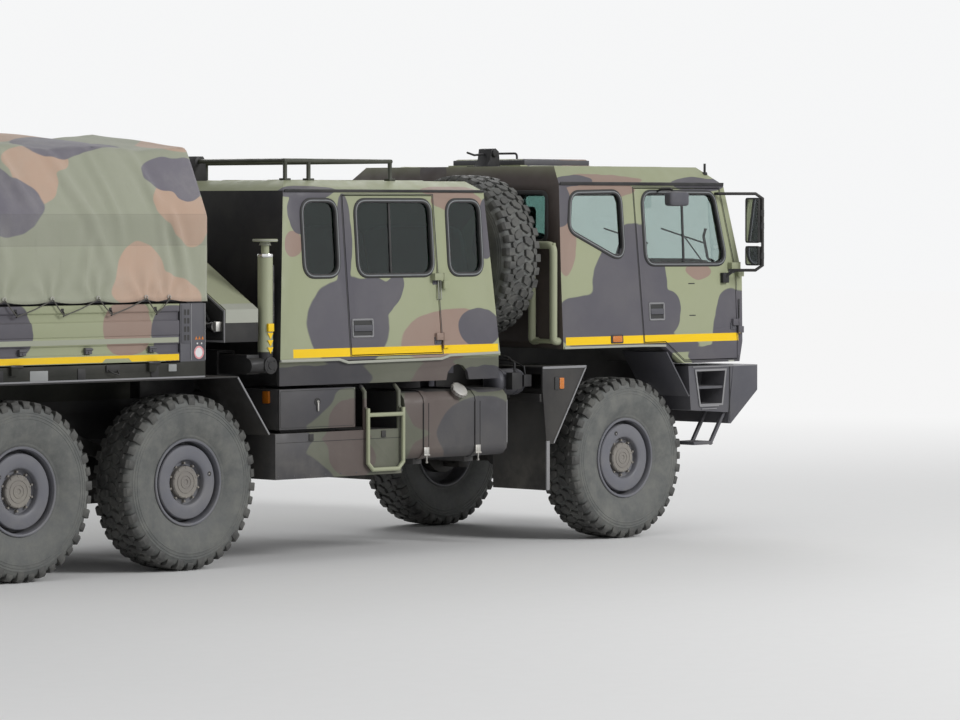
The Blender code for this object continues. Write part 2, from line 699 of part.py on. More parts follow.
# Columns: share of the cab's length from the rear, share of its side's height
CAB_DOOR_SHARES = (
    (0.404, 0.978), (0.439, 0.008), (0.556, 0.008), (0.662, -0.112),
    (0.962, -0.112), (0.962, 0.44), (0.882, 0.978),
)
CAB_DOOR_WINDOW_SHARES = ((0.451, 0.95), (0.848, 0.948), (0.912, 0.498), (0.463, 0.503))
QUARTER_WINDOW_SHARES = ((0.066, 0.944), (0.330, 0.952), (0.342, 0.517), (0.051, 0.717))
CREW_DOOR_SHARES = ((0.294, 0.975), (0.314, 0.024), (0.729, 0.024), (0.704, 0.975))
CREW_DOOR_WINDOW_SHARES = ((0.352, 0.94), (0.691, 0.94), (0.697, 0.50), (0.358, 0.50))
CREW_REAR_WINDOW_SHARES = ((0.115, 0.94), (0.264, 0.94), (0.270, 0.50), (0.121, 0.50))
CREW_FRONT_WINDOW_SHARES = ((0.770, 0.94), (0.921, 0.94), (0.927, 0.50), (0.776, 0.50))
# Share of the door's height at which its hinges sit
HINGE_SHARES = (0.10, 0.46)

CAB_FLOOR_RISE = 0.04
CREW_FLOOR_RISE = 0.06
CAB_FLOOR_Z = CAB_SILL_Z + CAB_FLOOR_RISE
CREW_FLOOR_Z = CREW_SILL_Z + CREW_FLOOR_RISE
BEARER_WIDTH = 0.08
ARCH_CUT_SHARES = ((-0.2, -0.2), (-0.2, -0.016), (0.548, -0.016), (0.652, -0.125), (0.652, -0.2))
CAB_BEARER_FRONT_X = 0.95
SCREEN_LOW_Z = CAB_BELT_Z + 0.03
SCREEN_HIGH_Z = CAB_DRIP_Z - 0.07
SCREEN_HALF_WIDTH = BODY_HALF_WIDTH - 0.19
REAR_WINDOW_LOW_Z = 2.33
REAR_WINDOW_HIGH_Z = CAB_DRIP_Z - 0.07
REAR_WINDOW_NEAR_Y = 0.45
REAR_WINDOW_FAR_Y = BODY_HALF_WIDTH - 0.19
HATCH_REAR_X = -0.36
HATCH_FRONT_X = 0.38
HATCH_HALF_WIDTH = 0.40
HATCH_THICKNESS = 0.04
HATCH_RIM = 0.05
COAMING_HEIGHT = 0.014
GRAB_RAIL_RADIUS = 0.018
GRAB_RAIL_LOW_Z = 1.56
GRAB_RAIL_HIGH_Z = 2.30
GRAB_RAIL_STAND = 0.06
GRAB_RAIL_INNER_Y = BODY_HALF_WIDTH - 0.28
GRAB_RAIL_OUTER_Y = BODY_HALF_WIDTH - 0.05
GRILLE_SLATS = 5
GRILLE_HALF_WIDTH = 0.55
GRILLE_LOW_Z = 1.42
GRILLE_HIGH_Z = 1.92
GRILLE_DEPTH = 0.03


def rectangle(u0, v0, u1, v1):
    """Outline of four corners."""
    return [(u0, v0), (u1, v0), (u1, v1), (u0, v1)]


def door_axis_x(shares, frame):
    """A door turns on a line just ahead of its foremost point."""
    return max(u for u, _ in scaled(shares, *frame)) + LAP


def make_cab():
    """The driver's cab: hollow shell, doors, windscreen and door panes."""
    door_outline = scaled(CAB_DOOR_SHARES, *CAB_FRAME)
    window = rounded(scaled(CAB_DOOR_WINDOW_SHARES, *CAB_FRAME), WINDOW_RADIUS)
    quarter = rounded(scaled(QUARTER_WINDOW_SHARES, *CAB_FRAME), WINDOW_RADIUS)
    axis_x = door_axis_x(CAB_DOOR_SHARES, CAB_FRAME)
    height = CAB_DRIP_Z - CAB_SILL_Z
    heights = [CAB_SILL_Z + share * height for share in HINGE_SHARES]
    door_knuckles, cab_knuckles = hinge_pair(CAB_SECTIONS, door_outline, axis_x, heights)
    hollow = cab_form(CAB_SECTIONS, WALL, CAB_FLOOR_Z, CAB_ROOF_Z - WALL)
    screen = rounded(rectangle(-SCREEN_HALF_WIDTH, SCREEN_LOW_Z, SCREEN_HALF_WIDTH, SCREEN_HIGH_Z),
                     WINDOW_RADIUS)
    screen_span = (CAB_FRONT_X - CAB_ROOF_RAKE / 2 - WALL, CAB_FRONT_X + OVERRUN)
    rear_window = rounded(rectangle(-REAR_WINDOW_FAR_Y, REAR_WINDOW_LOW_Z, -REAR_WINDOW_NEAR_Y,
                                    REAR_WINDOW_HIGH_Z), WINDOW_RADIUS)
    rear_span = (CAB_REAR_X - OVERRUN, CAB_REAR_X + WALL + OVERRUN)
    arch = prism(scaled(ARCH_CUT_SHARES, *CAB_FRAME), "y", -BODY_HALF_WIDTH - OVERRUN,
                 BODY_HALF_WIDTH + OVERRUN)
    bearer = block((CAB_REAR_X, -RAIL_OUTER_Y, RAIL_TOP + SEAT),
                   (CAB_BEARER_FRONT_X, -RAIL_OUTER_Y + BEARER_WIDTH, CAB_SILL_Z + LAP))
    roof = block((HATCH_REAR_X - HATCH_RIM, -HATCH_HALF_WIDTH - LAP, CAB_ROOF_Z - LAP),
                 (HATCH_FRONT_X + LAP, HATCH_HALF_WIDTH + LAP, CAB_ROOF_Z + COAMING_HEIGHT))
    hole = block((HATCH_REAR_X + HATCH_RIM, -HATCH_HALF_WIDTH + HATCH_RIM, CAB_ROOF_Z - WALL - OVERRUN),
                 (HATCH_FRONT_X - HATCH_RIM, HATCH_HALF_WIDTH - HATCH_RIM, CAB_ROOF_Z + OVERRUN))
    stand = CAB_REAR_X - GRAB_RAIL_STAND
    anchor = CAB_REAR_X + WALL / 2
    rail = pipe([(anchor, -GRAB_RAIL_INNER_Y, GRAB_RAIL_HIGH_Z),
                 (stand, -GRAB_RAIL_INNER_Y, GRAB_RAIL_HIGH_Z),
                 (stand, -GRAB_RAIL_OUTER_Y, GRAB_RAIL_HIGH_Z), (stand, -GRAB_RAIL_OUTER_Y, GRAB_RAIL_LOW_Z),
                 (stand, -GRAB_RAIL_INNER_Y, GRAB_RAIL_LOW_Z), (anchor, -GRAB_RAIL_INNER_Y, GRAB_RAIL_LOW_Z)],
                GRAB_RAIL_RADIUS)
    slats = []
    pitch = (GRILLE_HIGH_Z - GRILLE_LOW_Z) / GRILLE_SLATS
    for i in range(GRILLE_SLATS):
        low = GRILLE_LOW_Z + i * pitch
        slats.append(block((CAB_FRONT_X - CAB_CHIN, -GRILLE_HALF_WIDTH, low),
                           (CAB_FRONT_X + GRILLE_DEPTH / 2, GRILLE_HALF_WIDTH, low + pitch / 2)))
    add = [cab_form(CAB_SECTIONS)] + both([bearer, rail] + cab_knuckles) + [roof] + slats
    cut = [hollow, hole, arch, prism(screen, "x", *screen_span)]
    cut += both([side_cut(door_outline, WALL_CUT_DEPTH), side_cut(quarter, WALL_CUT_DEPTH + WALL),
                 prism(rear_window, "x", *rear_span)])
    add[0] = combined(add[0], cut, "DIFFERENCE")
    solid("cab_shell", "paint_green", add, cut=[hole])
    door_skin = side_panel(CAB_SECTIONS, offset(door_outline, PANEL_GAP), 0, WALL, CAB_ROOF_Z)
    for side_name, side in SIDES:
        pivot = (axis_x, HINGE_Y, CAB_SILL_Z)
        solid(f"cab_door_{side_name}", "paint_green", [door_skin] + door_knuckles,
              cut=[side_cut(window, WALL_CUT_DEPTH + WALL)], pivot=pivot, side=side)
    front = combined(cab_form(CAB_SECTIONS, GLASS_INSET), [prism(offset(screen, SEAT), "x", *screen_span)],
                     "INTERSECT")
    core = cab_form(CAB_SECTIONS, GLASS_INSET + GLASS_THICKNESS, CAB_BOTTOM_Z - OVERRUN, CAB_ROOF_Z + OVERRUN)
    solid("windscreen", "glass", [front], cut=[core])


def make_hatch():
    """The roof hatch's lid, which turns about its upper rear edge."""
    base = CAB_ROOF_Z + COAMING_HEIGHT + SEAT
    top = base + HATCH_THICKNESS
    lid = block((HATCH_REAR_X, -HATCH_HALF_WIDTH, base), (HATCH_FRONT_X, HATCH_HALF_WIDTH, top))
    solid("roof_hatch", "paint_dark", [lid], pivot=(HATCH_REAR_X, 0, top))


SKIRT_THICKNESS = 0.03
SKIRT_HALF_WIDTH = BODY_HALF_WIDTH - 0.015
NOTCH_RADIUS = 0.12


def make_crew_cab():
    """The crew cab: hollow shell with skirts, doors and door panes."""
    door_outline = scaled(CREW_DOOR_SHARES, *CREW_FRAME)
    windows = {}
    for name, shares in (("door", CREW_DOOR_WINDOW_SHARES), ("rear", CREW_REAR_WINDOW_SHARES),
                         ("front", CREW_FRONT_WINDOW_SHARES)):
        windows[name] = rounded(scaled(shares, *CREW_FRAME), WINDOW_RADIUS)
    axis_x = door_axis_x(CREW_DOOR_SHARES, CREW_FRAME)
    height = CREW_DRIP_Z - CREW_SILL_Z
    heights = [CREW_SILL_Z + share * height for share in HINGE_SHARES]
    door_knuckles, cab_knuckles = hinge_pair(CREW_SECTIONS, door_outline, axis_x, heights)
    hollow = cab_form(CREW_SECTIONS, WALL, CREW_FLOOR_Z, CREW_ROOF_Z - WALL)
    skirt = block((CREW_REAR_X + LAP, -SKIRT_HALF_WIDTH, CREW_SKIRT_BOTTOM_Z),
                  (CREW_FRONT_X - LAP, -SKIRT_HALF_WIDTH + SKIRT_THICKNESS, CREW_SILL_Z + LAP))
    notch = rod((TANK_FILLER_X, -SKIRT_HALF_WIDTH - OVERRUN, CREW_SKIRT_BOTTOM_Z),
                (TANK_FILLER_X, -SKIRT_HALF_WIDTH + OVERRUN, CREW_SKIRT_BOTTOM_Z), NOTCH_RADIUS, 12)
    bearer = block((CREW_REAR_X + WALL, -RAIL_OUTER_Y, RAIL_TOP + SEAT),
                   (CREW_FRONT_X - WALL, -RAIL_OUTER_Y + BEARER_WIDTH, CREW_SILL_Z + LAP))
    cut = both([side_cut(door_outline, WALL_CUT_DEPTH)]
               + [side_cut(windows[name], WALL_CUT_DEPTH + WALL) for name in ("rear", "front")])
    body = combined(cab_form(CREW_SECTIONS), [hollow] + cut, "DIFFERENCE")
    solid("crew_cab_shell", "paint_green", [body] + both([skirt, bearer] + cab_knuckles), cut=both([notch]))
    door_skin = side_panel(CREW_SECTIONS, offset(door_outline, PANEL_GAP), 0, WALL, CREW_ROOF_Z)
    for side_name, side in SIDES:
        pivot = (axis_x, HINGE_Y, CREW_SILL_Z)
        solid(f"crew_door_{side_name}", "paint_green", [door_skin] + door_knuckles,
              cut=[side_cut(windows["door"], WALL_CUT_DEPTH + WALL)], pivot=pivot, side=side)


TANK_REAR_X = -2.50
TANK_FRONT_X = -1.414
TANK_LOW_Z = 0.712
TANK_HIGH_Z = 1.218
TANK_INNER_Y = BODY_HALF_WIDTH - 0.63
TANK_RADIUS = 0.09
TANK_FILLER_X = -1.93
TANK_BEARER = 0.04
STRAP_PROUD = 0.008
STRAP_WIDTH = 0.045
# Share of the tank's length
STRAP_SHARES = (0.20, 0.70)
FILLER_RADIUS = 0.055
FILLER_HEIGHT = 0.07


def make_tanks():
    """A fuel tank on each side, strapped on bearers from the rail."""
    outline = rectangle(-BODY_HALF_WIDTH, TANK_LOW_Z, -TANK_INNER_Y, TANK_HIGH_Z)
    tank = prism(rounded(outline, TANK_RADIUS, 3), "x", TANK_REAR_X, TANK_FRONT_X)
    band = rounded(offset(outline, -STRAP_PROUD), TANK_RADIUS + STRAP_PROUD, 3)
    pieces = [tank]
    for share in STRAP_SHARES:
        x = TANK_REAR_X + share * (TANK_FRONT_X - TANK_REAR_X)
        pieces.append(prism(band, "x", x - STRAP_WIDTH / 2, x + STRAP_WIDTH / 2))
        pieces.append(block((x - STRAP_WIDTH, -BODY_HALF_WIDTH + TANK_RADIUS, TANK_LOW_Z - TANK_BEARER),
                            (x + STRAP_WIDTH, -RAIL_OUTER_Y - SEAT, TANK_LOW_Z + LAP)))
        pieces.append(block((x - STRAP_WIDTH, -RAIL_OUTER_Y - TANK_BEARER, TANK_LOW_Z - TANK_BEARER),
                            (x + STRAP_WIDTH, -RAIL_OUTER_Y - SEAT, RAIL_BOTTOM + TANK_BEARER)))
    neck_y = -BODY_HALF_WIDTH + TANK_RADIUS / 2
    neck_z = TANK_HIGH_Z - TANK_RADIUS / 2
    lean = FILLER_HEIGHT / math.sqrt(2)
    pieces.append(rod((TANK_FILLER_X, neck_y + lean, neck_z - lean),
                      (TANK_FILLER_X, neck_y - lean, neck_z + lean),
                      FILLER_RADIUS, 12))
    for side_name, side in SIDES:
        solid(f"fuel_tank_{side_name}", "paint_green", pieces, side=side)


UPPER_BOX_REAR_X = -3.76
UPPER_BOX_FRONT_X = -3.004
UPPER_BOX_LOW_Z = 0.977
UPPER_BOX_HIGH_Z = 1.27
LOWER_BOX_REAR_X = -3.80
LOWER_BOX_FRONT_X = -2.533
LOWER_BOX_LOW_Z = 0.618
LOWER_BOX_HIGH_Z = 0.95
BOX_INNER_Y = BODY_HALF_WIDTH - 0.63
BOX_WALL = 0.015
LID_THICKNESS = 0.02
BOX_SPACER = 0.10


def make_boxes():
    """Stowage boxes below the crew cab's rear half; the upper one has a drop lid."""
    outer_y = -BODY_HALF_WIDTH
    upper = block((UPPER_BOX_REAR_X, outer_y + LID_THICKNESS + SEAT, UPPER_BOX_LOW_Z),
                  (UPPER_BOX_FRONT_X, -BOX_INNER_Y, UPPER_BOX_HIGH_Z))
    inside = block((UPPER_BOX_REAR_X + BOX_WALL, outer_y - OVERRUN, UPPER_BOX_LOW_Z + BOX_WALL),
                   (UPPER_BOX_FRONT_X - BOX_WALL, -BOX_INNER_Y - BOX_WALL, UPPER_BOX_HIGH_Z - BOX_WALL))
    lower = block((LOWER_BOX_REAR_X, outer_y, LOWER_BOX_LOW_Z),
                  (LOWER_BOX_FRONT_X, -BOX_INNER_Y, LOWER_BOX_HIGH_Z))
    spacer = block((UPPER_BOX_REAR_X + BOX_SPACER, outer_y + BOX_SPACER, LOWER_BOX_HIGH_Z - LAP),
                   (UPPER_BOX_FRONT_X - BOX_SPACER, -BOX_INNER_Y - BOX_SPACER, UPPER_BOX_LOW_Z + LAP))
    pieces = [lower, spacer, upper]
    for x in (LOWER_BOX_REAR_X + BOX_SPACER, LOWER_BOX_FRONT_X - 2 * BOX_SPACER):
        pieces.append(block((x, -BOX_INNER_Y - LAP, LOWER_BOX_HIGH_Z - BOX_SPACER),
                            (x + BOX_SPACER, -RAIL_OUTER_Y - SEAT, LOWER_BOX_HIGH_Z)))
    pieces += ladder_brackets()
    lid = block((UPPER_BOX_REAR_X, outer_y, UPPER_BOX_LOW_Z),
                (UPPER_BOX_FRONT_X, outer_y + LID_THICKNESS, UPPER_BOX_HIGH_Z))
    for side_name, side in SIDES:
        solid(f"stowage_box_{side_name}", "paint_green", pieces, cut=[inside], side=side)
        solid(f"stowage_lid_{side_name}", "paint_green", [lid],
              pivot=(UPPER_BOX_REAR_X, outer_y, UPPER_BOX_LOW_Z), side=side)


LADDER_REAR_X = -2.90
LADDER_FRONT_X = -2.54
LADDER_Y = -BODY_HALF_WIDTH - 0.025
LADDER_RADIUS = 0.016
LADDER_PIVOT_Z = 1.11
LADDER_LOW_Z = 0.64
LADDER_TOP_Z = 1.28
LADDER_CORNER = 0.05
LADDER_PLATE = 0.012
LADDER_PIN_GAP = 0.006
LADDER_TOP_Y = -BODY_HALF_WIDTH + 0.065


def make_ladders():
    """A swing-out step below each crew door."""
    x0, x1, y = LADDER_REAR_X, LADDER_FRONT_X, LADDER_Y
    corner = LADDER_CORNER
    low = LADDER_LOW_Z + LADDER_RADIUS
    step = pipe([(x0, y, LADDER_PIVOT_Z), (x0, y, low + corner), (x0 + corner, y, low),
                 (x1 - corner, y, low), (x1, y, low + corner), (x1, y, LADDER_PIVOT_Z)], LADDER_RADIUS)
    rung = rod((x0, y, LADDER_PIVOT_Z - corner), (x1, y, LADDER_PIVOT_Z - corner), LADDER_RADIUS, PIPE_SIDES)
    for side_name, side in SIDES:
        solid(f"fold_ladder_{side_name}", "paint_green", [step, rung], pivot=(x0, y, LADDER_PIVOT_Z),
              side=side)


def ladder_brackets():
    """Two bent tubes that stand on the lower box and carry the ladder."""
    y = LADDER_Y + 2 * LADDER_RADIUS + LADDER_PIN_GAP
    brackets = []
    for x in (LADDER_REAR_X, LADDER_FRONT_X - LADDER_PLATE):
        brackets.append(pipe([(x, y, LOWER_BOX_HIGH_Z - LAP), (x, y, LADDER_TOP_Z - LADDER_CORNER),
                              (x, LADDER_TOP_Y, LADDER_TOP_Z)], LADDER_RADIUS))
        brackets.append(rod((x, y, LADDER_PIVOT_Z), (x, LADDER_Y + LADDER_RADIUS + SEAT, LADDER_PIVOT_Z),
                            LADDER_PLATE, PIPE_SIDES))
    return brackets


RACK_HALF_WIDTH = CREW_ROOF_HALF_WIDTH - 0.04
RACK_REAR_X = -3.50
RACK_FRONT_X = -2.44
RACK_RAIL_Z = CREW_ROOF_Z + 0.145
RACK_RADIUS = 0.016
RACK_FOOT = 0.03
# Share of the rack's length
RACK_POST_SHARES = (0.0, 0.22, 1.0)


def make_rack():
    """A tube rack on the crew cab's roof."""
    x0, x1, y, z = RACK_REAR_X, RACK_FRONT_X, RACK_HALF_WIDTH, RACK_RAIL_Z
    pieces = []
    for side in (RIGHT, LEFT):
        pieces.append(rod((x0 - RACK_RADIUS, side * y, z), (x1 + RACK_RADIUS, side * y, z), RACK_RADIUS,
                          PIPE_SIDES))
        for share in RACK_POST_SHARES:
            x = x0 + share * (x1 - x0)
            pieces.append(rod((x, side * y, CREW_ROOF_Z + SEAT), (x, side * y, z), RACK_RADIUS, PIPE_SIDES))
            pieces.append(block((x - RACK_FOOT, side * y - RACK_FOOT, CREW_ROOF_Z + SEAT),
                                (x + RACK_FOOT, side * y + RACK_FOOT, CREW_ROOF_Z + RACK_RADIUS)))
    for share in RACK_POST_SHARES:
        x = x0 + share * (x1 - x0)
        pieces.append(rod((x, -y, z), (x, y, z), RACK_RADIUS, PIPE_SIDES))
    solid("roof_rack", "paint_green", pieces)


CARRIER_REAR_X = -1.445
CARRIER_FRONT_X = -1.385
CARRIER_POST_HALF = 0.07
CARRIER_FOOT_Z = 1.32


def make_spare_carrier():
    """The upright between the cabs that holds the spare wheel at its hub."""
    _, y, z = SPARE_CENTRE
    hub_x = SPARE_CENTRE[0] - HUB_OFFSET - SEAT
    half = CARRIER_POST_HALF
    foot = block((CARRIER_REAR_X, -RAIL_OUTER_Y, RAIL_TOP + SEAT),
                 (CARRIER_FRONT_X, RAIL_OUTER_Y, CARRIER_FOOT_Z))
    arm = block((CARRIER_REAR_X, y - half, CARRIER_FOOT_Z - LAP),
                (CARRIER_FRONT_X, RAIL_OUTER_Y, CARRIER_FOOT_Z + half))
    post = block((CARRIER_REAR_X, y - half, CARRIER_FOOT_Z), (CARRIER_FRONT_X, y + half, z + HUB_RADIUS))
    hub = rod((CARRIER_REAR_X + LAP, y, z), (hub_x, y, z), HUB_RADIUS - CARRIER_POST_HALF)
    solid("spare_carrier", "paint_dark", [foot, arm, post, hub])


CRANE_REAR_X = -4.38
CRANE_FRONT_X = -3.86
CRANE_BASE_HALF_WIDTH = 0.43
CRANE_BASE_Z = 1.34
BEAM_LOW_Z = 1.385
BEAM_HIGH_Z = 1.525
BEAM_REAR_X = -4.005
BEAM_FRONT_X = -3.885
BEAM_WALL = 0.02
BEAM_GAP = 0.006
BEAM_HOUSING_HALF_WIDTH = BODY_HALF_WIDTH - 0.37
COLUMN_RADIUS = 0.16
COLUMN_Y = 0.52
COLUMN_X = -4.10
BOOM_HINGE_Z = 2.20
BOOM_REAR_X = -4.24
BOOM_FRONT_X = -3.92
BOOM_TIP_Y = -BODY_HALF_WIDTH + 0.05
CHEEK_THICKNESS = 0.03
CHEEK_REACH = 0.15
BOOM_PIN_RADIUS = 0.04
BOOM_PIN_GAP = 0.002
BOOM_END_STEPS = 6


def make_crane():
    """A stowed loading crane behind the crew cab: base, column, boom and two sliding legs."""
    floor_z = RAIL_TOP + SEAT
    wall, gap = BEAM_WALL, BEAM_GAP
    foot = block((CRANE_REAR_X, -CRANE_BASE_HALF_WIDTH, floor_z),
                 (CRANE_FRONT_X, CRANE_BASE_HALF_WIDTH, CRANE_BASE_Z))
    housing = block((BEAM_REAR_X - gap - wall, -BEAM_HOUSING_HALF_WIDTH, BEAM_LOW_Z - gap - wall),
                    (BEAM_FRONT_X + gap + wall, BEAM_HOUSING_HALF_WIDTH, BEAM_HIGH_Z + gap + wall))
    bore = block((BEAM_REAR_X - gap, -BEAM_HOUSING_HALF_WIDTH - OVERRUN, BEAM_LOW_Z - SEAT),
                 (BEAM_FRONT_X + gap, BEAM_HOUSING_HALF_WIDTH + OVERRUN, BEAM_HIGH_Z + gap))
    plinth = block((CRANE_REAR_X, -CRANE_BASE_HALF_WIDTH / 2, CRANE_BASE_Z - LAP),
                   (BEAM_REAR_X - gap - LAP, COLUMN_Y + COLUMN_RADIUS, BEAM_HIGH_Z + gap + wall))
    column = rod((COLUMN_X, COLUMN_Y, BEAM_HIGH_Z + gap + LAP),
                 (COLUMN_X, COLUMN_Y, BOOM_HINGE_Z - CHEEK_REACH),
                 COLUMN_RADIUS)
    cheeks = []
    for x in (BOOM_REAR_X - gap - CHEEK_THICKNESS, BOOM_FRONT_X + gap):
        cheeks.append(block((x, COLUMN_Y - COLUMN_RADIUS, BOOM_HINGE_Z - CHEEK_REACH - CHEEK_THICKNESS),
                            (x + CHEEK_THICKNESS, COLUMN_Y + COLUMN_RADIUS,
                             BOOM_HINGE_Z + BOOM_PIN_RADIUS * 2)))
    saddle = block((BOOM_REAR_X - gap - CHEEK_THICKNESS, COLUMN_Y - COLUMN_RADIUS,
                    BOOM_HINGE_Z - CHEEK_REACH - CHEEK_THICKNESS),
                   (BOOM_FRONT_X + gap + CHEEK_THICKNESS, COLUMN_Y + COLUMN_RADIUS,
                    BOOM_HINGE_Z - CHEEK_REACH))
    pin = rod((BOOM_REAR_X - gap - LAP, COLUMN_Y, BOOM_HINGE_Z),
              (BOOM_FRONT_X + gap + LAP, COLUMN_Y, BOOM_HINGE_Z),
              BOOM_PIN_RADIUS, 16)
    solid("crane_base", "frame_black", [foot, housing, plinth, column, saddle, pin] + cheeks, cut=[bore])

    half = CHEEK_REACH - gap
    # Columns: across the truck, height
    outline = [
        (BOOM_TIP_Y, CRANE_BOOM_LOW_Z), (BOOM_TIP_Y, CRANE_BOOM_LOW_Z + BOOM_TIP_DEPTH),
        (BOOM_KNEE_Y, BOOM_HINGE_Z + half),
    ]
    for step in range(BOOM_END_STEPS + 1):
        angle = math.pi * (1 / 2 - step / BOOM_END_STEPS)
        outline.append((COLUMN_Y + half * math.cos(angle), BOOM_HINGE_Z + half * math.sin(angle)))
    outline += [(COLUMN_Y - COLUMN_RADIUS, BOOM_HINGE_Z - half), (BOOM_THROAT_Y, CRANE_BOOM_LOW_Z)]
    boom = prism(outline, "x", BOOM_REAR_X, BOOM_FRONT_X)
    eye = rod((BOOM_REAR_X - OVERRUN, COLUMN_Y, BOOM_HINGE_Z),
              (BOOM_FRONT_X + OVERRUN, COLUMN_Y, BOOM_HINGE_Z),
              BOOM_PIN_RADIUS + BOOM_PIN_GAP, 16)
    solid("crane_boom", "paint_green", [boom], cut=[eye],
          pivot=((BOOM_REAR_X + BOOM_FRONT_X) / 2, COLUMN_Y, BOOM_HINGE_Z))

    beam = block((BEAM_REAR_X, -LEG_Y, BEAM_LOW_Z), (BEAM_FRONT_X, -BEAM_INNER_Y, BEAM_HIGH_Z))
    leg_x = BEAM_FRONT_X + LEG_RADIUS + gap
    lug = rod((BEAM_REAR_X, -LEG_Y, LEG_PIVOT_Z), (leg_x, -LEG_Y, LEG_PIVOT_Z), LEG_RADIUS, 16)
    tube = rod((leg_x, -LEG_Y, LEG_PIVOT_Z - LEG_RADIUS), (leg_x, -LEG_Y, LEG_TUBE_TOP_Z), LEG_RADIUS, 16)
    neck = rod((leg_x, -LEG_Y, LEG_TUBE_TOP_Z - LAP), (leg_x, -LEG_Y, LEG_FOOT_Z), LEG_NECK_RADIUS, 12)
    foot = rod((leg_x, -LEG_Y, LEG_FOOT_Z - LEG_FOOT_THICKNESS), (leg_x, -LEG_Y, LEG_FOOT_Z),
               LEG_FOOT_RADIUS, 16)
    for side_name, side in SIDES:
        solid(f"stabiliser_{side_name}", "paint_green", [beam, lug, tube, neck, foot],
              pivot=(leg_x, -LEG_Y, LEG_PIVOT_Z), side=side)


CRANE_BOOM_LOW_Z = 1.62
BOOM_TIP_DEPTH = 0.23
BOOM_KNEE_Y = -0.38
BOOM_THROAT_Y = -0.10
LEG_Y = BODY_HALF_WIDTH - 0.08
LEG_PIVOT_Z = 1.447
LEG_RADIUS = 0.055
LEG_NECK_RADIUS = 0.028
LEG_TUBE_TOP_Z = 2.24
LEG_FOOT_Z = 2.36
LEG_FOOT_RADIUS = 0.09
LEG_FOOT_THICKNESS = 0.02
BEAM_INNER_Y = 0.06

POST_LENGTH = 0.235
POST_DEPTH = 0.06
SIDE_THICKNESS = 0.05
SIDE_END_GAP = 0.008
TAILGATE_HALF_WIDTH = BODY_HALF_WIDTH - POST_DEPTH - SIDE_END_GAP
RUNNER_WIDTH = 0.09
HEADBOARD_THICKNESS = 0.05
RIB_DEPTH = 0.018
# Share of the side's height: low edge, high edge
RIB_SHARES = ((0.0, 0.16), (0.42, 0.60), (0.78, 1.0))
SIDE_HINGE_RADIUS = 0.012
SIDE_HINGE_PROUD = 0.02
SIDE_HINGE_DROP = 0.006
SIDE_HINGE_LENGTH = 0.07
SIDE_HINGE_ARM = 0.06
# Share of the side's length
SIDE_HINGE_SHARES = (0.08, 0.5, 0.92)


def tarp_outline():
    """The tarpaulin across the truck, hem to hem."""
    y, shoulder = BODY_HALF_WIDTH, TARP_SHOULDER_Y
    return [(-y, TARP_BOTTOM_Z), (-y, TARP_KNEE_Z), (-shoulder, TARP_SHOULDER_Z), (0, TARP_RIDGE_Z),
            (shoulder, TARP_SHOULDER_Z), (y, TARP_KNEE_Z), (y, TARP_BOTTOM_Z)]


def tarp_bows():
    """Bows just inside the tarpaulin, on a rail along each side that rests on the posts."""
    line = [Vector(point) for point in offset(tarp_outline(), TARP_THICKNESS + SEAT + BOW_WIDTH / 2)]
    line[0].y = line[-1].y = TARP_BOTTOM_Z + LAP
    first = TARP_FRONT_X - TARP_THICKNESS - SEAT - BOW_WIDTH
    last = BED_REAR_X
    pieces = []
    for share in BOW_SHARES:
        x = first + share * (last - first)
        pieces.append(prism(strip(line, BOW_WIDTH), "x", x, x + BOW_WIDTH))
    rail_y, knee = line[0].x, line[1]
    half = BOW_WIDTH / 2
    pieces += both([block((last, rail_y - half, z), (first + BOW_WIDTH, rail_y + half, z + BOW_WIDTH))
                    for z in (TARP_BOTTOM_Z + LAP, knee.y - BOW_WIDTH)])
    outer = -BODY_HALF_WIDTH + TARP_THICKNESS + SEAT
    for x0, x1 in ((first - POST_LENGTH / 2, first + BOW_WIDTH), (last, last + POST_DEPTH)):
        pieces += both([block((x0, outer, SIDE_TOP_Z - LAP),
                              (x1, -BODY_HALF_WIDTH + POST_DEPTH, TARP_BOTTOM_Z + BOW_WIDTH))])
    return pieces


def side_span():
    """Rear and front end of a drop side."""
    return BED_REAR_X + POST_DEPTH + SIDE_END_GAP, BED_FRONT_X - POST_LENGTH - SIDE_END_GAP


def foot_hinges(start, end, place):
    """Knuckles of the bed and of the panel that it carries, side by side on one level axis.

    The place function turns a distance along the axis, a distance out from the panel's face and a
    height into a point.
    """
    axis_z = SIDE_BOTTOM_Z - SIDE_HINGE_DROP
    arm = SIDE_HINGE_RADIUS / 2
    fixed, moving = [], []
    for share in SIDE_HINGE_SHARES:
        middle = start + share * (end - start)
        for knuckles, way in ((fixed, -1), (moving, 1)):
            near, far = middle + way * SEAT / 2, middle + way * SIDE_HINGE_LENGTH
            tip = axis_z + way * SIDE_HINGE_ARM
            knuckles.append(rod(place(near, SIDE_HINGE_PROUD, axis_z), place(far, SIDE_HINGE_PROUD, axis_z),
                                SIDE_HINGE_RADIUS, PIPE_SIDES))
            root = SIDE_HINGE_PROUD + arm
            corners = (place(near, root, axis_z), place(far - way * LAP, -LAP, tip))
            knuckles.append(block(*[[pick(a, b) for a, b in zip(*corners)] for pick in (min, max)]))
    return fixed, moving


def side_hinges():
    """Hinges along the foot of the right drop side."""
    return foot_hinges(*side_span(), lambda along, out, z: (along, -BODY_HALF_WIDTH - out, z))


def tail_hinges():
    """Hinges along the foot of the tailgate."""
    return foot_hinges(-TAILGATE_HALF_WIDTH, TAILGATE_HALF_WIDTH, lambda along, out,
                       z: (BED_REAR_X - out, along, z))


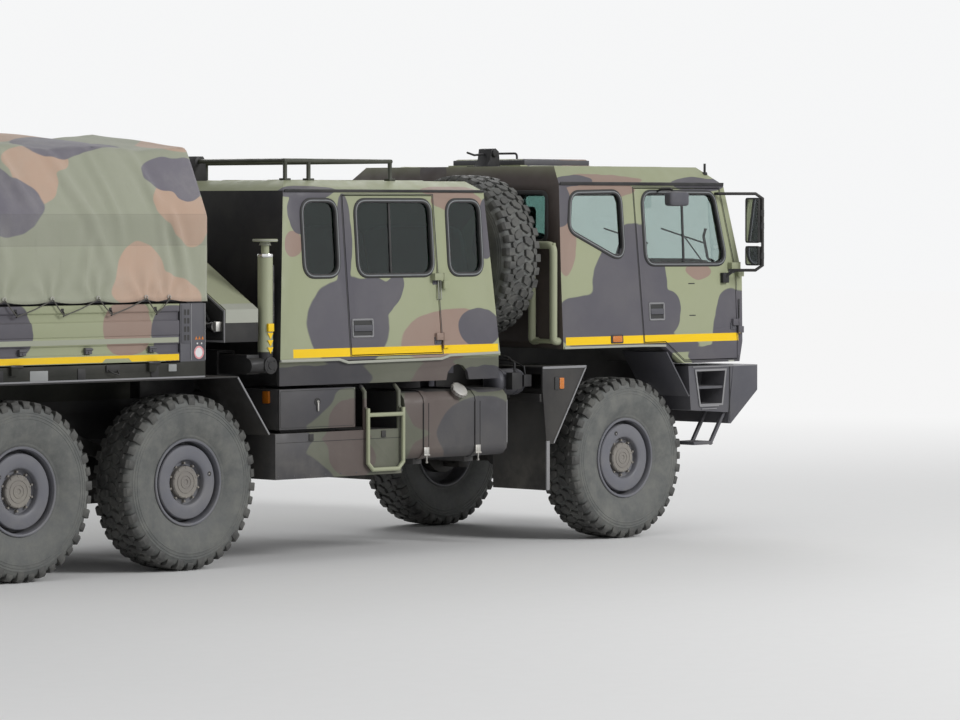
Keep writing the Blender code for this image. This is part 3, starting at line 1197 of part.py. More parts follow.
def make_bed():
    """The load floor with its headboard, corner posts, hinge knuckles and tarpaulin bows."""
    y = BODY_HALF_WIDTH
    floor = block((BED_REAR_X, -y, BED_BOTTOM_Z), (BED_FRONT_X, y, BED_FLOOR_Z))
    runner = block((BED_REAR_X, -RAIL_OUTER_Y, RAIL_TOP + SEAT),
                   (BED_FRONT_X, -RAIL_OUTER_Y + RUNNER_WIDTH, BED_BOTTOM_Z + LAP))
    board = block((BED_FRONT_X - HEADBOARD_THICKNESS, -y + LAP, BED_FLOOR_Z - LAP),
                  (BED_FRONT_X, y - LAP, SIDE_TOP_Z))
    front_post = block((BED_FRONT_X - POST_LENGTH, -y, BED_FLOOR_Z - LAP),
                       (BED_FRONT_X, -y + POST_DEPTH, SIDE_TOP_Z))
    rear_post = block((BED_REAR_X, -y, BED_FLOOR_Z - LAP),
                      (BED_REAR_X + POST_DEPTH, -y + POST_DEPTH, SIDE_TOP_Z))
    paired = [runner, front_post, rear_post, *side_hinges()[0]]
    solid("load_bed", "paint_green", [floor, board] + both(paired) + tail_hinges()[0] + tarp_bows())


FENDER_THICKNESS = 0.012
FENDER_INNER_Y = BODY_HALF_WIDTH - 0.49
# Shares of the tyre's radius: how far past its axle the guard bends and ends
GUARD_BEND_SHARES = (0.62, 1.10)
# Share of the tyre's radius: how far above the axle the guard ends
GUARD_FOOT_SHARE = 0.50
FLAP_BOTTOM_Z = 0.42


def strip(points, thickness):
    """A thin outline that follows points, drawn on both sides of them."""
    line = [Vector(point) for point in points]
    legs = [(b - a).normalized() for a, b in zip(line, line[1:])]
    left, right = [], []
    for i, point in enumerate(line):
        before, after = legs[max(i - 1, 0)], legs[min(i, len(legs) - 1)]
        normal = Vector((-before.y - after.y, before.x + after.x)).normalized()
        reach = thickness / 2 / normal.dot(Vector((-before.y, before.x)))
        left.append(tuple(point + normal * reach))
        right.append(tuple(point - normal * reach))
    return left + right[::-1]


def make_bed_guards():
    """A guard on each side over both rear wheels, flat under the bed's floor."""
    top = BED_BOTTOM_Z - SEAT - FENDER_THICKNESS / 2
    bend, reach = (share * TYRE_RADIUS for share in GUARD_BEND_SHARES)
    low = TYRE_RADIUS + GUARD_FOOT_SHARE * TYRE_RADIUS
    front, rear = -WHEELBASE, -WHEELBASE - TANDEM_SPACING
    line = [(rear - reach, low), (rear - bend, top), (front + bend, top), (front + reach, low)]
    guard = prism(strip(line, FENDER_THICKNESS), "y", -BODY_HALF_WIDTH + LAP, -FENDER_INNER_Y)
    for side_name, side in SIDES:
        solid(f"bed_guard_{side_name}", "paint_dark", [guard], side=side)


def make_sides():
    """Drop sides with pressed ribs and the tailgate, each hinged at its foot."""
    y = BODY_HALF_WIDTH
    x0, x1 = side_span()
    height = SIDE_TOP_Z - SIDE_BOTTOM_Z
    axis_z = SIDE_BOTTOM_Z - SIDE_HINGE_DROP
    panel = block((x0, -y + RIB_DEPTH, SIDE_BOTTOM_Z), (x1, -y + SIDE_THICKNESS, SIDE_TOP_Z))
    ribs = [block((x0, -y, SIDE_BOTTOM_Z + low * height),
                  (x1, -y + RIB_DEPTH + LAP, SIDE_BOTTOM_Z + high * height))
            for low, high in RIB_SHARES]
    for side_name, side in SIDES:
        solid(f"drop_side_{side_name}", "paint_green", [panel] + ribs + side_hinges()[1],
              pivot=(x0, -y - SIDE_HINGE_PROUD, axis_z), side=side)
    half = TAILGATE_HALF_WIDTH
    rear = BED_REAR_X
    panel = block((rear + RIB_DEPTH, -half, SIDE_BOTTOM_Z), (rear + SIDE_THICKNESS, half, SIDE_TOP_Z))
    ribs = [block((rear, -half, SIDE_BOTTOM_Z + low * height),
                  (rear + RIB_DEPTH + LAP, half, SIDE_BOTTOM_Z + high * height))
            for low, high in RIB_SHARES]
    solid("tailgate", "paint_green", [panel] + ribs + tail_hinges()[1],
          pivot=(rear - SIDE_HINGE_PROUD, 0, axis_z))


def make_tarp():
    """The tarpaulin, closed in front and open behind."""
    outline = tarp_outline()
    skin = prism(outline, "x", TARP_REAR_X, TARP_FRONT_X)
    inner = offset(outline, TARP_THICKNESS)
    inner[0] = (inner[0][0], TARP_BOTTOM_Z - OVERRUN)
    inner[-1] = (inner[-1][0], TARP_BOTTOM_Z - OVERRUN)
    solid("tarpaulin", "canvas", [skin],
          cut=[prism(inner, "x", TARP_REAR_X - OVERRUN, TARP_FRONT_X - TARP_THICKNESS)])

FRONT_FENDER_TOP_Z = 1.37
FRONT_FENDER_REAR_X = -1.03
# Columns: distance behind the front axle, height, of the edge that faces the wheel
FRONT_FENDER_NOSE = (-0.545, 1.365)
FRONT_FENDER_FOOT = (-0.91, 0.775)
FENDER_SIDE = 0.02
FLAP_REAR_X = -0.985
FLAP_FRONT_X = -0.96
FLAP_TOP_Z = 1.20
FLAP_INNER_Y = BODY_HALF_WIDTH - 0.58
FENDER_BRACKET_Z = 1.10
FENDER_BRACKET = 0.06


def make_front_fenders():
    """Guards behind the front wheels with their mud flaps, on a bracket from the rail."""
    nose, foot = FRONT_FENDER_NOSE, FRONT_FENDER_FOOT
    top, rear = FRONT_FENDER_TOP_Z, FRONT_FENDER_REAR_X
    outline = [(rear, top), (nose[0], top), nose, foot, (FLAP_REAR_X, foot[1]), (rear, FLAP_TOP_Z)]
    edge = strip([(rear, top - FENDER_THICKNESS / 2), (nose[0], top - FENDER_THICKNESS / 2), foot],
                 FENDER_THICKNESS)
    outer = -BODY_HALF_WIDTH
    pieces = [
        prism(outline, "y", outer, outer + FENDER_SIDE),
        prism(edge, "y", outer + LAP, -FLAP_INNER_Y),
        block((FLAP_REAR_X, outer + LAP, FLAP_BOTTOM_Z), (FLAP_FRONT_X, -FLAP_INNER_Y, FLAP_TOP_Z)),
        block((FLAP_REAR_X - FENDER_BRACKET, outer + FENDER_SIDE - LAP, FENDER_BRACKET_Z),
              (FLAP_REAR_X + LAP, -RAIL_OUTER_Y - SEAT, FENDER_BRACKET_Z + FENDER_BRACKET)),
        block((FLAP_REAR_X - LAP, outer + FENDER_SIDE - LAP, top - FENDER_BRACKET),
              (FLAP_REAR_X + FENDER_BRACKET, -FLAP_INNER_Y, top - LAP)),
        block((FLAP_REAR_X, -FLAP_INNER_Y - FENDER_BRACKET, FLAP_TOP_Z - LAP),
              (FLAP_FRONT_X, -FLAP_INNER_Y, top - LAP)),
    ]
    for side_name, side in SIDES:
        solid(f"front_fender_{side_name}", "paint_dark", pieces, side=side)


BUMPER_TOP_Z = 1.33
BUMPER_FACE_LOW_Z = 1.126
BUMPER_BOTTOM_Z = 0.864
BUMPER_REAR_X = 1.16
BUMPER_KEEL_X = 1.10
BUMPER_BOTTOM_X = 1.13
STEP_BLOCK_INNER_Y = BODY_HALF_WIDTH - 0.32
# Columns: ahead of the front axle, height
STEP_BLOCK = ((0.63, 1.335), (BUMPER_REAR_X + LAP, 1.335), (BUMPER_KEEL_X + LAP, 0.955), (0.66, 0.985))
POCKET = ((0.72, 1.29), (1.06, 1.29), (1.02, 1.03), (0.77, 1.03))
POCKET_DEPTH = 0.24
POCKET_TREAD = 0.02
ARCH_PANEL_TOP = (0.385, 1.452)
ARCH_PANEL_FOOT = (0.64, 1.10)
HANGING_STEP_REAR_X = 0.725
HANGING_STEP_FRONT_X = 0.95
HANGING_STEP_Z = 0.705
HANGING_STEP_INNER_Y = BODY_HALF_WIDTH - 0.25
HANGING_STEP_OUTER_Y = BODY_HALF_WIDTH - 0.03
HANGING_STEP_ARM = 0.025
HEADLAMP_RADIUS = 0.085
# Share of the bumper's half width
HEADLAMP_SHARE = 0.66
HEADLAMP_RECESS = 0.03
BUMPER_BRACKET_HALF = 0.05


def make_bumper():
    """The bumper with its step blocks, arch panels, lamp recesses and hanging steps."""
    y = BODY_HALF_WIDTH
    outline = [(BUMPER_REAR_X, BUMPER_TOP_Z), (FRONT_END_X, BUMPER_TOP_Z), (FRONT_END_X, BUMPER_FACE_LOW_Z),
               (BUMPER_BOTTOM_X, BUMPER_BOTTOM_Z), (BUMPER_KEEL_X, BUMPER_BOTTOM_Z + LAP)]
    bar = prism(outline, "y", -y, y)
    step_block = prism(STEP_BLOCK, "y", -y + LAP, -STEP_BLOCK_INNER_Y)
    panel = prism(strip([ARCH_PANEL_TOP, ARCH_PANEL_FOOT, (ARCH_PANEL_FOOT[0] + OVERRUN, ARCH_PANEL_FOOT[1])],
                        FENDER_THICKNESS), "y", -y + 2 * LAP, -FENDER_INNER_Y)
    pocket = prism(POCKET, "y", -y - OVERRUN, -y + POCKET_DEPTH)
    middle = (POCKET[0][1] + POCKET[2][1]) / 2
    tread = block((POCKET[0][0] - LAP, -y + 2 * LAP, middle - POCKET_TREAD / 2),
                  (POCKET[1][0] + LAP, -y + POCKET_DEPTH + LAP, middle + POCKET_TREAD / 2))
    arm = HANGING_STEP_ARM
    rear, front, z = HANGING_STEP_REAR_X, HANGING_STEP_FRONT_X, HANGING_STEP_Z
    step = block((rear, -HANGING_STEP_OUTER_Y, z), (front, -HANGING_STEP_INNER_Y, z + arm))
    hanger_line = [(front - arm, z), (BUMPER_KEEL_X - LAP, BUMPER_BOTTOM_Z + BUMPER_BRACKET_HALF * 2)]
    hangers = [prism(strip(hanger_line, arm), "y", y0, y0 + arm)
               for y0 in (-HANGING_STEP_OUTER_Y, -HANGING_STEP_INNER_Y - arm)]
    lamp_y = HEADLAMP_SHARE * y
    lamp_z = (BUMPER_TOP_Z + BUMPER_FACE_LOW_Z) / 2
    lamp = rod((FRONT_END_X - HEADLAMP_RECESS, -lamp_y, lamp_z), (FRONT_END_X + OVERRUN, -lamp_y, lamp_z),
               HEADLAMP_RADIUS)
    bracket = block((RAIL_FRONT_X + SEAT, -RAIL_OUTER_Y, RAIL_BOTTOM + LAP),
                    (BUMPER_REAR_X + LAP, -RAIL_OUTER_Y + 2 * BUMPER_BRACKET_HALF, RAIL_TOP - LAP))
    tray = block((BUMPER_REAR_X - OVERRUN, -y + LAP, BUMPER_TOP_Z - HEADLAMP_RECESS),
                 (BUMPER_REAR_X + LAP, y - LAP, BUMPER_TOP_Z))
    body = combined(bar, both([step_block, panel]) + [tray], "UNION")
    body = combined(body, both([pocket, lamp]), "DIFFERENCE")
    solid("front_bumper", "paint_dark", [body] + both([tread, step, bracket] + hangers))


MIRROR_RADIUS = 0.012
MIRROR_HEAD_X = (1.232, 1.285)
MIRROR_HEAD_Y = (-BODY_HALF_WIDTH - 0.205, -BODY_HALF_WIDTH - 0.065)
MIRROR_HEAD_Z = (2.31, 2.665)
SMALL_MIRROR_Z = (2.13, 2.28)
MIRROR_BASE = ((1.03, 1.10), (1.99, 2.07))
MIRROR_BASE_PROUD = 0.03
MIRROR_BAR_Y = -BODY_HALF_WIDTH - 0.22
MIRROR_BAR_X = 1.26
MIRROR_TOP_Z = CAB_DRIP_Z - 0.07
MIRROR_LOW_Z = 2.09
MIRROR_CORNER = 0.04
MIRROR_TOP_X = 1.0


def make_mirrors():
    """Two mirror heads on one bent tube, fastened to each front door."""
    z0, z1 = MIRROR_BASE[1]
    skin = -section_at(CAB_SECTIONS, z0)[2] - SEAT
    base = block((MIRROR_BASE[0][0], skin - MIRROR_BASE_PROUD, z0), (MIRROR_BASE[0][1], skin, z1))
    top_skin = -section_at(CAB_SECTIONS, MIRROR_TOP_Z - MIRROR_RADIUS)[2]
    x, y, corner = MIRROR_BAR_X, MIRROR_BAR_Y, MIRROR_CORNER
    base_x = sum(MIRROR_BASE[0]) / 2
    tube = pipe([(base_x, skin - MIRROR_BASE_PROUD / 2, z1 - corner),
                 (base_x + corner, skin - MIRROR_BASE_PROUD - corner, MIRROR_LOW_Z),
                 (x - corner, y + corner, MIRROR_LOW_Z), (x, y, MIRROR_LOW_Z + corner),
                 (x, y, MIRROR_TOP_Z - corner), (x - corner, y + corner, MIRROR_TOP_Z),
                 (MIRROR_TOP_X, top_skin - corner, MIRROR_TOP_Z), (MIRROR_TOP_X, top_skin - SEAT,
                                                                   MIRROR_TOP_Z)], MIRROR_RADIUS)
    heads = []
    for heights in (MIRROR_HEAD_Z, SMALL_MIRROR_Z):
        heads.append(block((MIRROR_HEAD_X[0], MIRROR_HEAD_Y[0], heights[0]),
                           (MIRROR_HEAD_X[1], MIRROR_HEAD_Y[1], heights[1])))
        middle = sum(heights) / 2
        heads.append(rod((x, y, middle), (x, MIRROR_HEAD_Y[0] + LAP, middle), MIRROR_RADIUS, PIPE_SIDES))
    pivot = (door_axis_x(CAB_DOOR_SHARES, CAB_FRAME), HINGE_Y, CAB_SILL_Z)
    for side_name, side in SIDES:
        solid(f"mirror_{side_name}", "frame_black", [tube, base] + heads, pivot=pivot, side=side)

DASH_LOW_Z = 1.80
DASH_HIGH_Z = 2.04
DASH_REAR_X = 0.86
DASH_HALF_WIDTH = BODY_HALF_WIDTH - 0.15
WHEEL_POSITION = (0.70, 0.55, 2.13)
STEERING_RADIUS = 0.22
STEERING_TUBE = 0.016
STEERING_TILT = math.radians(35)
COLUMN_TUBE = 0.03
SEAT_RISER_Z = 1.76
SEAT_CUSHION_Z = 1.94
SEAT_BACK_X = -0.42
SEAT_CUSHION_FRONT_X = 0.10
SEAT_NEAR_Y = 0.29
SEAT_FAR_Y = 0.79
SEAT_BACK_THICKNESS = 0.13
SEAT_BACK_LEAN = 0.10
SEAT_BACK_TOP_Z = 2.40
HEADREST_TOP_Z = 2.60
HEADREST_INSET = 0.12
HEADREST_SHARE = 0.8
BENCH_CLEARANCE = 0.06
BENCH_HALF_WIDTH = BODY_HALF_WIDTH - 0.15
BENCH_DEPTH = 0.48
BENCH_PLINTH = 0.02
BENCH_SEAT_Z = 1.95
BENCH_BACK = 0.10
BENCH_LEAN = 0.10
BENCH_TOP_Z = 2.46


def hoop(centre, axis, radius, tube, steps=20, sides=6):
    """A closed round ring."""
    turn = Vector(axis).to_track_quat("Z", "Y")
    shape = bmesh.new()
    rows = []
    for i in range(steps):
        a = 2 * math.pi * i / steps
        row = []
        for k in range(sides):
            b = 2 * math.pi * k / sides
            reach = radius + tube * math.cos(b)
            local = Vector((reach * math.cos(a), reach * math.sin(a), tube * math.sin(b)))
            row.append(shape.verts.new(Vector(centre) + turn @ local))
        rows.append(row)
    for i in range(steps):
        row, following = rows[i], rows[(i + 1) % steps]
        for k in range(sides):
            m = (k + 1) % sides
            shape.faces.new((row[k], row[m], following[m], following[k]))
    return closed_mesh(shape)


def make_interior():
    """Dashboard with its steering wheel, the front seats and the crew benches."""
    centre = Vector(WHEEL_POSITION)
    axis = Vector((-math.cos(STEERING_TILT), 0, math.sin(STEERING_TILT)))
    across = Vector((math.sin(STEERING_TILT), 0, math.cos(STEERING_TILT)))
    front_x = section_at(CAB_SECTIONS, DASH_HIGH_Z)[1] - WALL - SEAT
    low_front_x = section_at(CAB_SECTIONS, DASH_LOW_Z)[1] - WALL - SEAT
    pieces = [
        prism([(DASH_REAR_X, DASH_HIGH_Z), (front_x, DASH_HIGH_Z), (low_front_x, DASH_LOW_Z),
               (DASH_REAR_X + WALL, DASH_LOW_Z)],
              "y", -DASH_HALF_WIDTH, DASH_HALF_WIDTH),
        hoop(centre, axis, STEERING_RADIUS, STEERING_TUBE),
        rod(centre, centre - axis * (DASH_REAR_X - centre.x + WALL * 2), COLUMN_TUBE, PIPE_SIDES),
        rod(centre - across * STEERING_RADIUS, centre + across * STEERING_RADIUS, STEERING_TUBE, PIPE_SIDES),
        rod(centre - Vector((0, STEERING_RADIUS, 0)), centre + Vector((0, STEERING_RADIUS, 0)),
            STEERING_TUBE, PIPE_SIDES),
    ]
    solid("dashboard", "seat_cloth", pieces)
    seats = [block((SEAT_BACK_X - WALL, -SEAT_FAR_Y, CAB_FLOOR_Z + SEAT),
                   (SEAT_CUSHION_FRONT_X - WALL, SEAT_FAR_Y, SEAT_RISER_Z))]
    seat = [
        block((SEAT_BACK_X, -SEAT_FAR_Y, SEAT_RISER_Z - LAP),
              (SEAT_CUSHION_FRONT_X, -SEAT_NEAR_Y, SEAT_CUSHION_Z)),
        prism(strip([(SEAT_BACK_X + SEAT_BACK_THICKNESS / 2, SEAT_RISER_Z),
                     (SEAT_BACK_X - SEAT_BACK_LEAN, SEAT_BACK_TOP_Z)], SEAT_BACK_THICKNESS),
              "y", -SEAT_FAR_Y, -SEAT_NEAR_Y),
        prism(strip([(SEAT_BACK_X - SEAT_BACK_LEAN, SEAT_BACK_TOP_Z - LAP),
                     (SEAT_BACK_X - SEAT_BACK_LEAN, HEADREST_TOP_Z)], SEAT_BACK_THICKNESS * HEADREST_SHARE),
              "y", -SEAT_FAR_Y + HEADREST_INSET, -SEAT_NEAR_Y - HEADREST_INSET),
    ]
    solid("cab_seats", "seat_cloth", seats + both(seat))
    rear_x = section_at(CREW_SECTIONS, CREW_FLOOR_Z)[0] + WALL + BENCH_CLEARANCE
    front_x = section_at(CREW_SECTIONS, CREW_FLOOR_Z)[1] - WALL - BENCH_CLEARANCE
    y = BENCH_HALF_WIDTH
    low = CREW_FLOOR_Z + SEAT
    benches = [block((rear_x, -y + LAP, low), (front_x, y - LAP, low + BENCH_PLINTH))]
    for end_x, way in ((rear_x, 1), (front_x, -1)):
        inner = end_x + way * BENCH_DEPTH
        benches.append(block((min(end_x, inner), -y, low + LAP), (max(end_x, inner), y, BENCH_SEAT_Z)))
        line = [(end_x + way * BENCH_BACK / 2, BENCH_SEAT_Z - LAP),
                (end_x + way * (BENCH_BACK / 2 + BENCH_LEAN), BENCH_TOP_Z)]
        benches.append(prism(strip(line, BENCH_BACK), "y", -y, y))
    solid("crew_benches", "seat_cloth", benches)


make_chassis()
make_engine()
make_front_axle()
make_knuckles()
make_rear_axles()
make_bogie()
make_wheels()
make_cab()
make_hatch()
make_mirrors()
make_interior()
make_crew_cab()
make_rack()
make_spare_carrier()
make_tanks()
make_boxes()
make_ladders()
make_front_fenders()
make_bumper()
make_crane()
make_bed()
make_bed_guards()
make_sides()
make_tarp()
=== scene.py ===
"""The looks of a six-wheel military cargo truck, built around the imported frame.

Lengths are metres. Pieces are drawn from the ground point below the front axle, with x forward and y to
the left, and their meshes are moved to the frame's own origin when they are made. Side pieces are drawn
on the right side, where y is negative, and mirrored for the left."""
import math

import bmesh
import bpy
from mathutils import Matrix, Vector, noise


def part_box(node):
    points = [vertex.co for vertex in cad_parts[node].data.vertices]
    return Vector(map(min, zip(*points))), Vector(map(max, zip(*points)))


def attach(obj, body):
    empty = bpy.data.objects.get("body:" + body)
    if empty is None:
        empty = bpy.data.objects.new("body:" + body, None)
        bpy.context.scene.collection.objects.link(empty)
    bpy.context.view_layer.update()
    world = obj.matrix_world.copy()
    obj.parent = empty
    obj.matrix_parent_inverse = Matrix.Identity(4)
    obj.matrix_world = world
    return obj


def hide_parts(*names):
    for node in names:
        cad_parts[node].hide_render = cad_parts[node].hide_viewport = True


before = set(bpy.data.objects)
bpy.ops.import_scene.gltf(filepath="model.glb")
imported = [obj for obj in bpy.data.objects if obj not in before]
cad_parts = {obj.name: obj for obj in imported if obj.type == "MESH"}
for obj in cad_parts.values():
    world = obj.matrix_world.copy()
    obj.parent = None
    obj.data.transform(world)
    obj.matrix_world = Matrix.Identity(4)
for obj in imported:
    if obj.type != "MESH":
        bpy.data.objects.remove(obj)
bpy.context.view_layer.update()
scene = bpy.context.scene
scene.view_settings.view_transform = "Standard"

AXLE_X = sum(corner[0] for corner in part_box("rim_front_right")) / 2
WHEEL_Y = -sum(corner[1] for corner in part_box("rim_front_right")) / 2
WHEEL_Z = sum(corner[2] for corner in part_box("rim_front_right")) / 2

X_AXIS, Y_AXIS, Z_AXIS = (1, 0, 0), (0, 1, 0), (0, 0, 1)
# Away from the right side, and to the rear
OUTWARD, REARWARD = (0, -1, 0), (-1, 0, 0)

# Camera

CAMERA_PLACE = (-22.503, -25.208, 2.557)
CAMERA_HEADING = math.radians(45.05)
CAMERA_PITCH = math.radians(-1.89)
CAMERA_LENS = 168.6

camera = bpy.data.objects.new("camera", bpy.data.cameras.new("camera"))
scene.collection.objects.link(camera)
camera.location = CAMERA_PLACE
camera.rotation_euler = (math.radians(90) + CAMERA_PITCH, 0, -CAMERA_HEADING)
camera.data.lens = CAMERA_LENS
camera.data.sensor_width = 36
camera.data.clip_end = 300
scene.camera = camera


# Node trees

class Tree:
    """Adds nodes to a tree. A value given to an input is a socket to link, or a number or colour to set."""

    def __init__(self, tree):
        self.tree = tree

    def add(self, kind, inputs=(), **settings):
        node = self.tree.nodes.new(kind)
        for key, value in settings.items():
            setattr(node, key, value)
        for key, value in dict(inputs).items():
            self.put(node.inputs[key], value)
        return node

    def put(self, socket, value):
        if isinstance(value, bpy.types.NodeSocket):
            self.tree.links.new(value, socket)
        else:
            socket.default_value = value

    def math(self, operation, *values):
        return self.add("ShaderNodeMath", enumerate(values), operation=operation).outputs[0]

    def times(self, *values):
        product = values[0]
        for value in values[1:]:
            product = self.math("MULTIPLY", product, value)
        return product

    def mix(self, share, first, second, blend="MIX"):
        node = self.add("ShaderNodeMix", {0: share, 6: first, 7: second}, data_type="RGBA", blend_type=blend)
        return node.outputs[2]

    def noise(self, vector, scale, detail=4.0, roughness=0.55):
        node = self.add("ShaderNodeTexNoise", {"Vector": vector, "Scale": scale, "Detail": detail,
                                               "Roughness": roughness})
        return node.outputs["Fac"]

    def step(self, value, low, high, start=0.0, end=1.0):
        node = self.add("ShaderNodeMapRange", {"Value": value, "From Min": low, "From Max": high,
                                               "To Min": start, "To Max": end},
                        interpolation_type="SMOOTHSTEP")
        return node.outputs[0]

    def within(self, value, low, high, soft=0.0015):
        return self.times(self.step(value, low - soft, low + soft), self.step(value, high + soft, high - soft))

    def parts(self, vector):
        return self.add("ShaderNodeSeparateXYZ", {0: vector}).outputs

    def joined(self, x, y, z):
        return self.add("ShaderNodeCombineXYZ", {0: x, 1: y, 2: z}).outputs[0]

    def bump(self, height, strength, distance):
        return self.add("ShaderNodeBump", {"Height": height, "Strength": strength,
                                           "Distance": distance}).outputs[0]


def new_material(name):
    """A material with one Principled shader: the material, its tree and the shader."""
    material = bpy.data.materials.new(name)
    material.use_nodes = True
    tree = Tree(material.node_tree)
    shader = material.node_tree.nodes["Principled BSDF"]
    return material, tree, shader


def rest_place(tree):
    """The point's place at rest, measured from below the front axle."""
    place = tree.add("ShaderNodeTexCoord").outputs["Object"]
    return tree.add("ShaderNodeVectorMath", {0: place, 1: (AXLE_X, 0, 0)}, operation="SUBTRACT").outputs[0]


# Colours are linear
SAGE = (0.31, 0.333, 0.212, 1)
OLIVE_GREEN = (0.33, 0.35, 0.235, 1)
SLATE = (0.082, 0.082, 0.096, 1)
SOOT = (0.020, 0.020, 0.022, 1)
# Painted shade. The crew cab's rear wall is dark paint with painted shade on it; the cab's rear wall, the
# underside and the low skirt are painted shade
CREW_REAR_BLACK_AND_SHADE = (0.014, 0.014, 0.017, 1)
CAB_REAR_PAINTED_SHADE = (0.060, 0.046, 0.042, 1)
UNDERSIDE_PAINTED_SHADE = (0.018, 0.018, 0.019, 1)
SKIRT_SHADE = (0.042, 0.042, 0.046, 1)
BROWN = (0.285, 0.205, 0.168, 1)
DARK = (0.092, 0.088, 0.104, 1)
YELLOW = (0.86, 0.56, 0.01, 1)
TARP_GREEN = (0.33, 0.345, 0.262, 1)
TARP_TAN = (0.50, 0.35, 0.262, 1)
TARP_GREY = (0.165, 0.155, 0.185, 1)
DUST = (0.36, 0.34, 0.29, 1)

# The painted sides' patches. Columns: x, z, half length, half height, turn in degrees
DARK_PATCHES = (
    (-3.52, 2.60, 0.17, 0.13, 90), (-3.11, 2.35, 0.37, 0.09, -90), (-3.06, 1.75, 0.42, 0.34, -3),
    (-2.63, 1.96, 0.19, 0.09, 52), (-1.63, 2.46, 0.24, 0.10, -90), (-1.71, 1.69, 0.24, 0.15, -2),
    (-3.48, 2.75, 0.30, 0.07, 0), (-3.38, 1.35, 0.56, 0.10, -1), (-1.64, 1.32, 0.26, 0.09, -2),
    (-3.67, 1.18, 0.49, 0.23, 13), (-3.65, 0.78, 0.30, 0.22, -5), (-1.73, 0.89, 0.45, 0.29, 9),
    (-0.48, 1.70, 0.43, 0.23, -1), (-0.14, 2.17, 0.40, 0.24, 45), (0.20, 1.98, 0.55, 0.17, -90),
    (0.37, 1.77, 0.19, 0.17, -84), (1.22, 1.57, 0.37, 0.31, -86), (1.03, 1.36, 0.42, 0.13, 11),
    (0.79, 2.83, 0.33, 0.08, 0), (-0.67, 2.85, 0.22, 0.07, 0), (-0.82, 2.65, 0.17, 0.13, -90),
    (0.07, 1.52, 0.69, 0.09, -1), (-6.27, 1.74, 0.22, 0.20, -7), (-4.77, 1.70, 0.21, 0.20, -12),
    (-7.30, 1.62, 0.40, 0.22, 20), (0.05, 1.85, 0.20, 0.40, -25), (1.12, 1.70, 0.17, 0.24, 0),
    (0.95, 1.42, 0.32, 0.075, 0), (-2.79, 1.95, 0.21, 0.14, 0),
)
BROWN_PATCHES = (
    (-0.75, 2.38, 0.31, 0.11, -90), (-0.42, 2.77, 0.45, 0.07, 0), (-0.34, 2.87, 0.47, 0.07, 0),
    (0.76, 2.11, 0.15, 0.06, -1), (-3.60, 2.36, 0.10, 0.09, -89), (-2.05, 1.64, 0.48, 0.20, 6),
    (-1.94, 2.67, 0.27, 0.07, 0), (-2.03, 2.76, 0.29, 0.06, 0), (-2.13, 1.33, 0.27, 0.12, -2),
    (-3.03, 1.04, 0.23, 0.15, 7), (-3.09, 0.77, 0.30, 0.25, -7), (-2.21, 1.12, 0.30, 0.22, -22),
    (-5.20, 1.75, 0.23, 0.20, -3), (-6.75, 1.85, 0.25, 0.20, 30),
)
TARP_GREY_PATCHES = (
    (-6.25, 2.62, 0.30, 0.24, 1), (-6.42, 2.82, 0.22, 0.20, -40), (-4.80, 2.92, 0.24, 0.15, -12),
    (-4.62, 2.86, 0.16, 0.20, 0), (-7.45, 2.25, 0.30, 0.35, 25),
    (-5.6, 3.35, 0.5, 0.25, 15),
)
TARP_TAN_PATCHES = (
    (-6.00, 2.88, 0.20, 0.24, 12), (-5.98, 3.05, 0.30, 0.14, 0), (-4.76, 2.68, 0.18, 0.20, 20),
    (-4.60, 2.52, 0.18, 0.22, 12), (-5.08, 2.12, 0.22, 0.24, -10), (-4.92, 1.98, 0.42, 0.16, -6),
    (-6.95, 2.05, 0.35, 0.28, 12), (-7.1, 3.15, 0.4, 0.3, -20), (-4.7, 3.5, 0.3, 0.4, 30),
)


def patch_field(name, patches):
    """A node group that gives 1 inside rounded patches of a side and 0 outside."""
    group = bpy.data.node_groups.new(name, "ShaderNodeTree")
    group.interface.new_socket("Place", in_out="INPUT", socket_type="NodeSocketVector")
    group.interface.new_socket("Mask", in_out="OUTPUT", socket_type="NodeSocketFloat")
    tree = Tree(group)
    place = tree.add("NodeGroupInput").outputs[0]
    nearest = None
    for x, z, half_x, half_z, turn in patches:
        own = tree.add("ShaderNodeMapping", {"Vector": place, "Location": (x, z, 0),
                                             "Rotation": (0, 0, math.radians(turn)),
                                             "Scale": (half_x, half_z, 1)}, vector_type="TEXTURE")
        away = tree.add("ShaderNodeVectorMath", {0: own.outputs[0]}, operation="LENGTH").outputs["Value"]
        nearest = away if nearest is None else tree.math("SMOOTH_MIN", nearest, away, 0.35)
    tree.add("NodeGroupOutput", {0: tree.step(nearest, 1.025, 0.975)})
    return group


def side_place(tree, place, fold_low, fold_height):
    """Any point of the body as a point of the pattern drawn on the right side."""
    x, y, z = tree.parts(place)
    across = tree.math("ADD", y, 1.25)
    along = tree.math("SUBTRACT", x, tree.math("MULTIPLY", across, 0.6))
    up = tree.math("ADD", z, tree.math("MULTIPLY", across, 0.7))
    folded = tree.math("PINGPONG", tree.math("SUBTRACT", up, fold_low), fold_height)
    flat = tree.joined(along, tree.math("ADD", folded, fold_low), 0.0)
    wander = tree.add("ShaderNodeTexNoise", {"Vector": flat, "Scale": 3.2, "Detail": 2.0}).outputs["Color"]
    shifted = tree.add("ShaderNodeVectorMath", {0: wander, 1: (0.5, 0.5, 0.5)}, operation="SUBTRACT").outputs[0]
    return tree.add("ShaderNodeVectorMath", {0: shifted, 1: (0.09, 0.09, 0), 2: flat},
                    operation="MULTIPLY_ADD").outputs[0]


BODY_DARK = patch_field("body_dark_patches", DARK_PATCHES)
BODY_BROWN = patch_field("body_brown_patches", BROWN_PATCHES)
TARP_DARK = patch_field("tarp_grey_patches", TARP_GREY_PATCHES)
TARP_BROWN = patch_field("tarp_tan_patches", TARP_TAN_PATCHES)


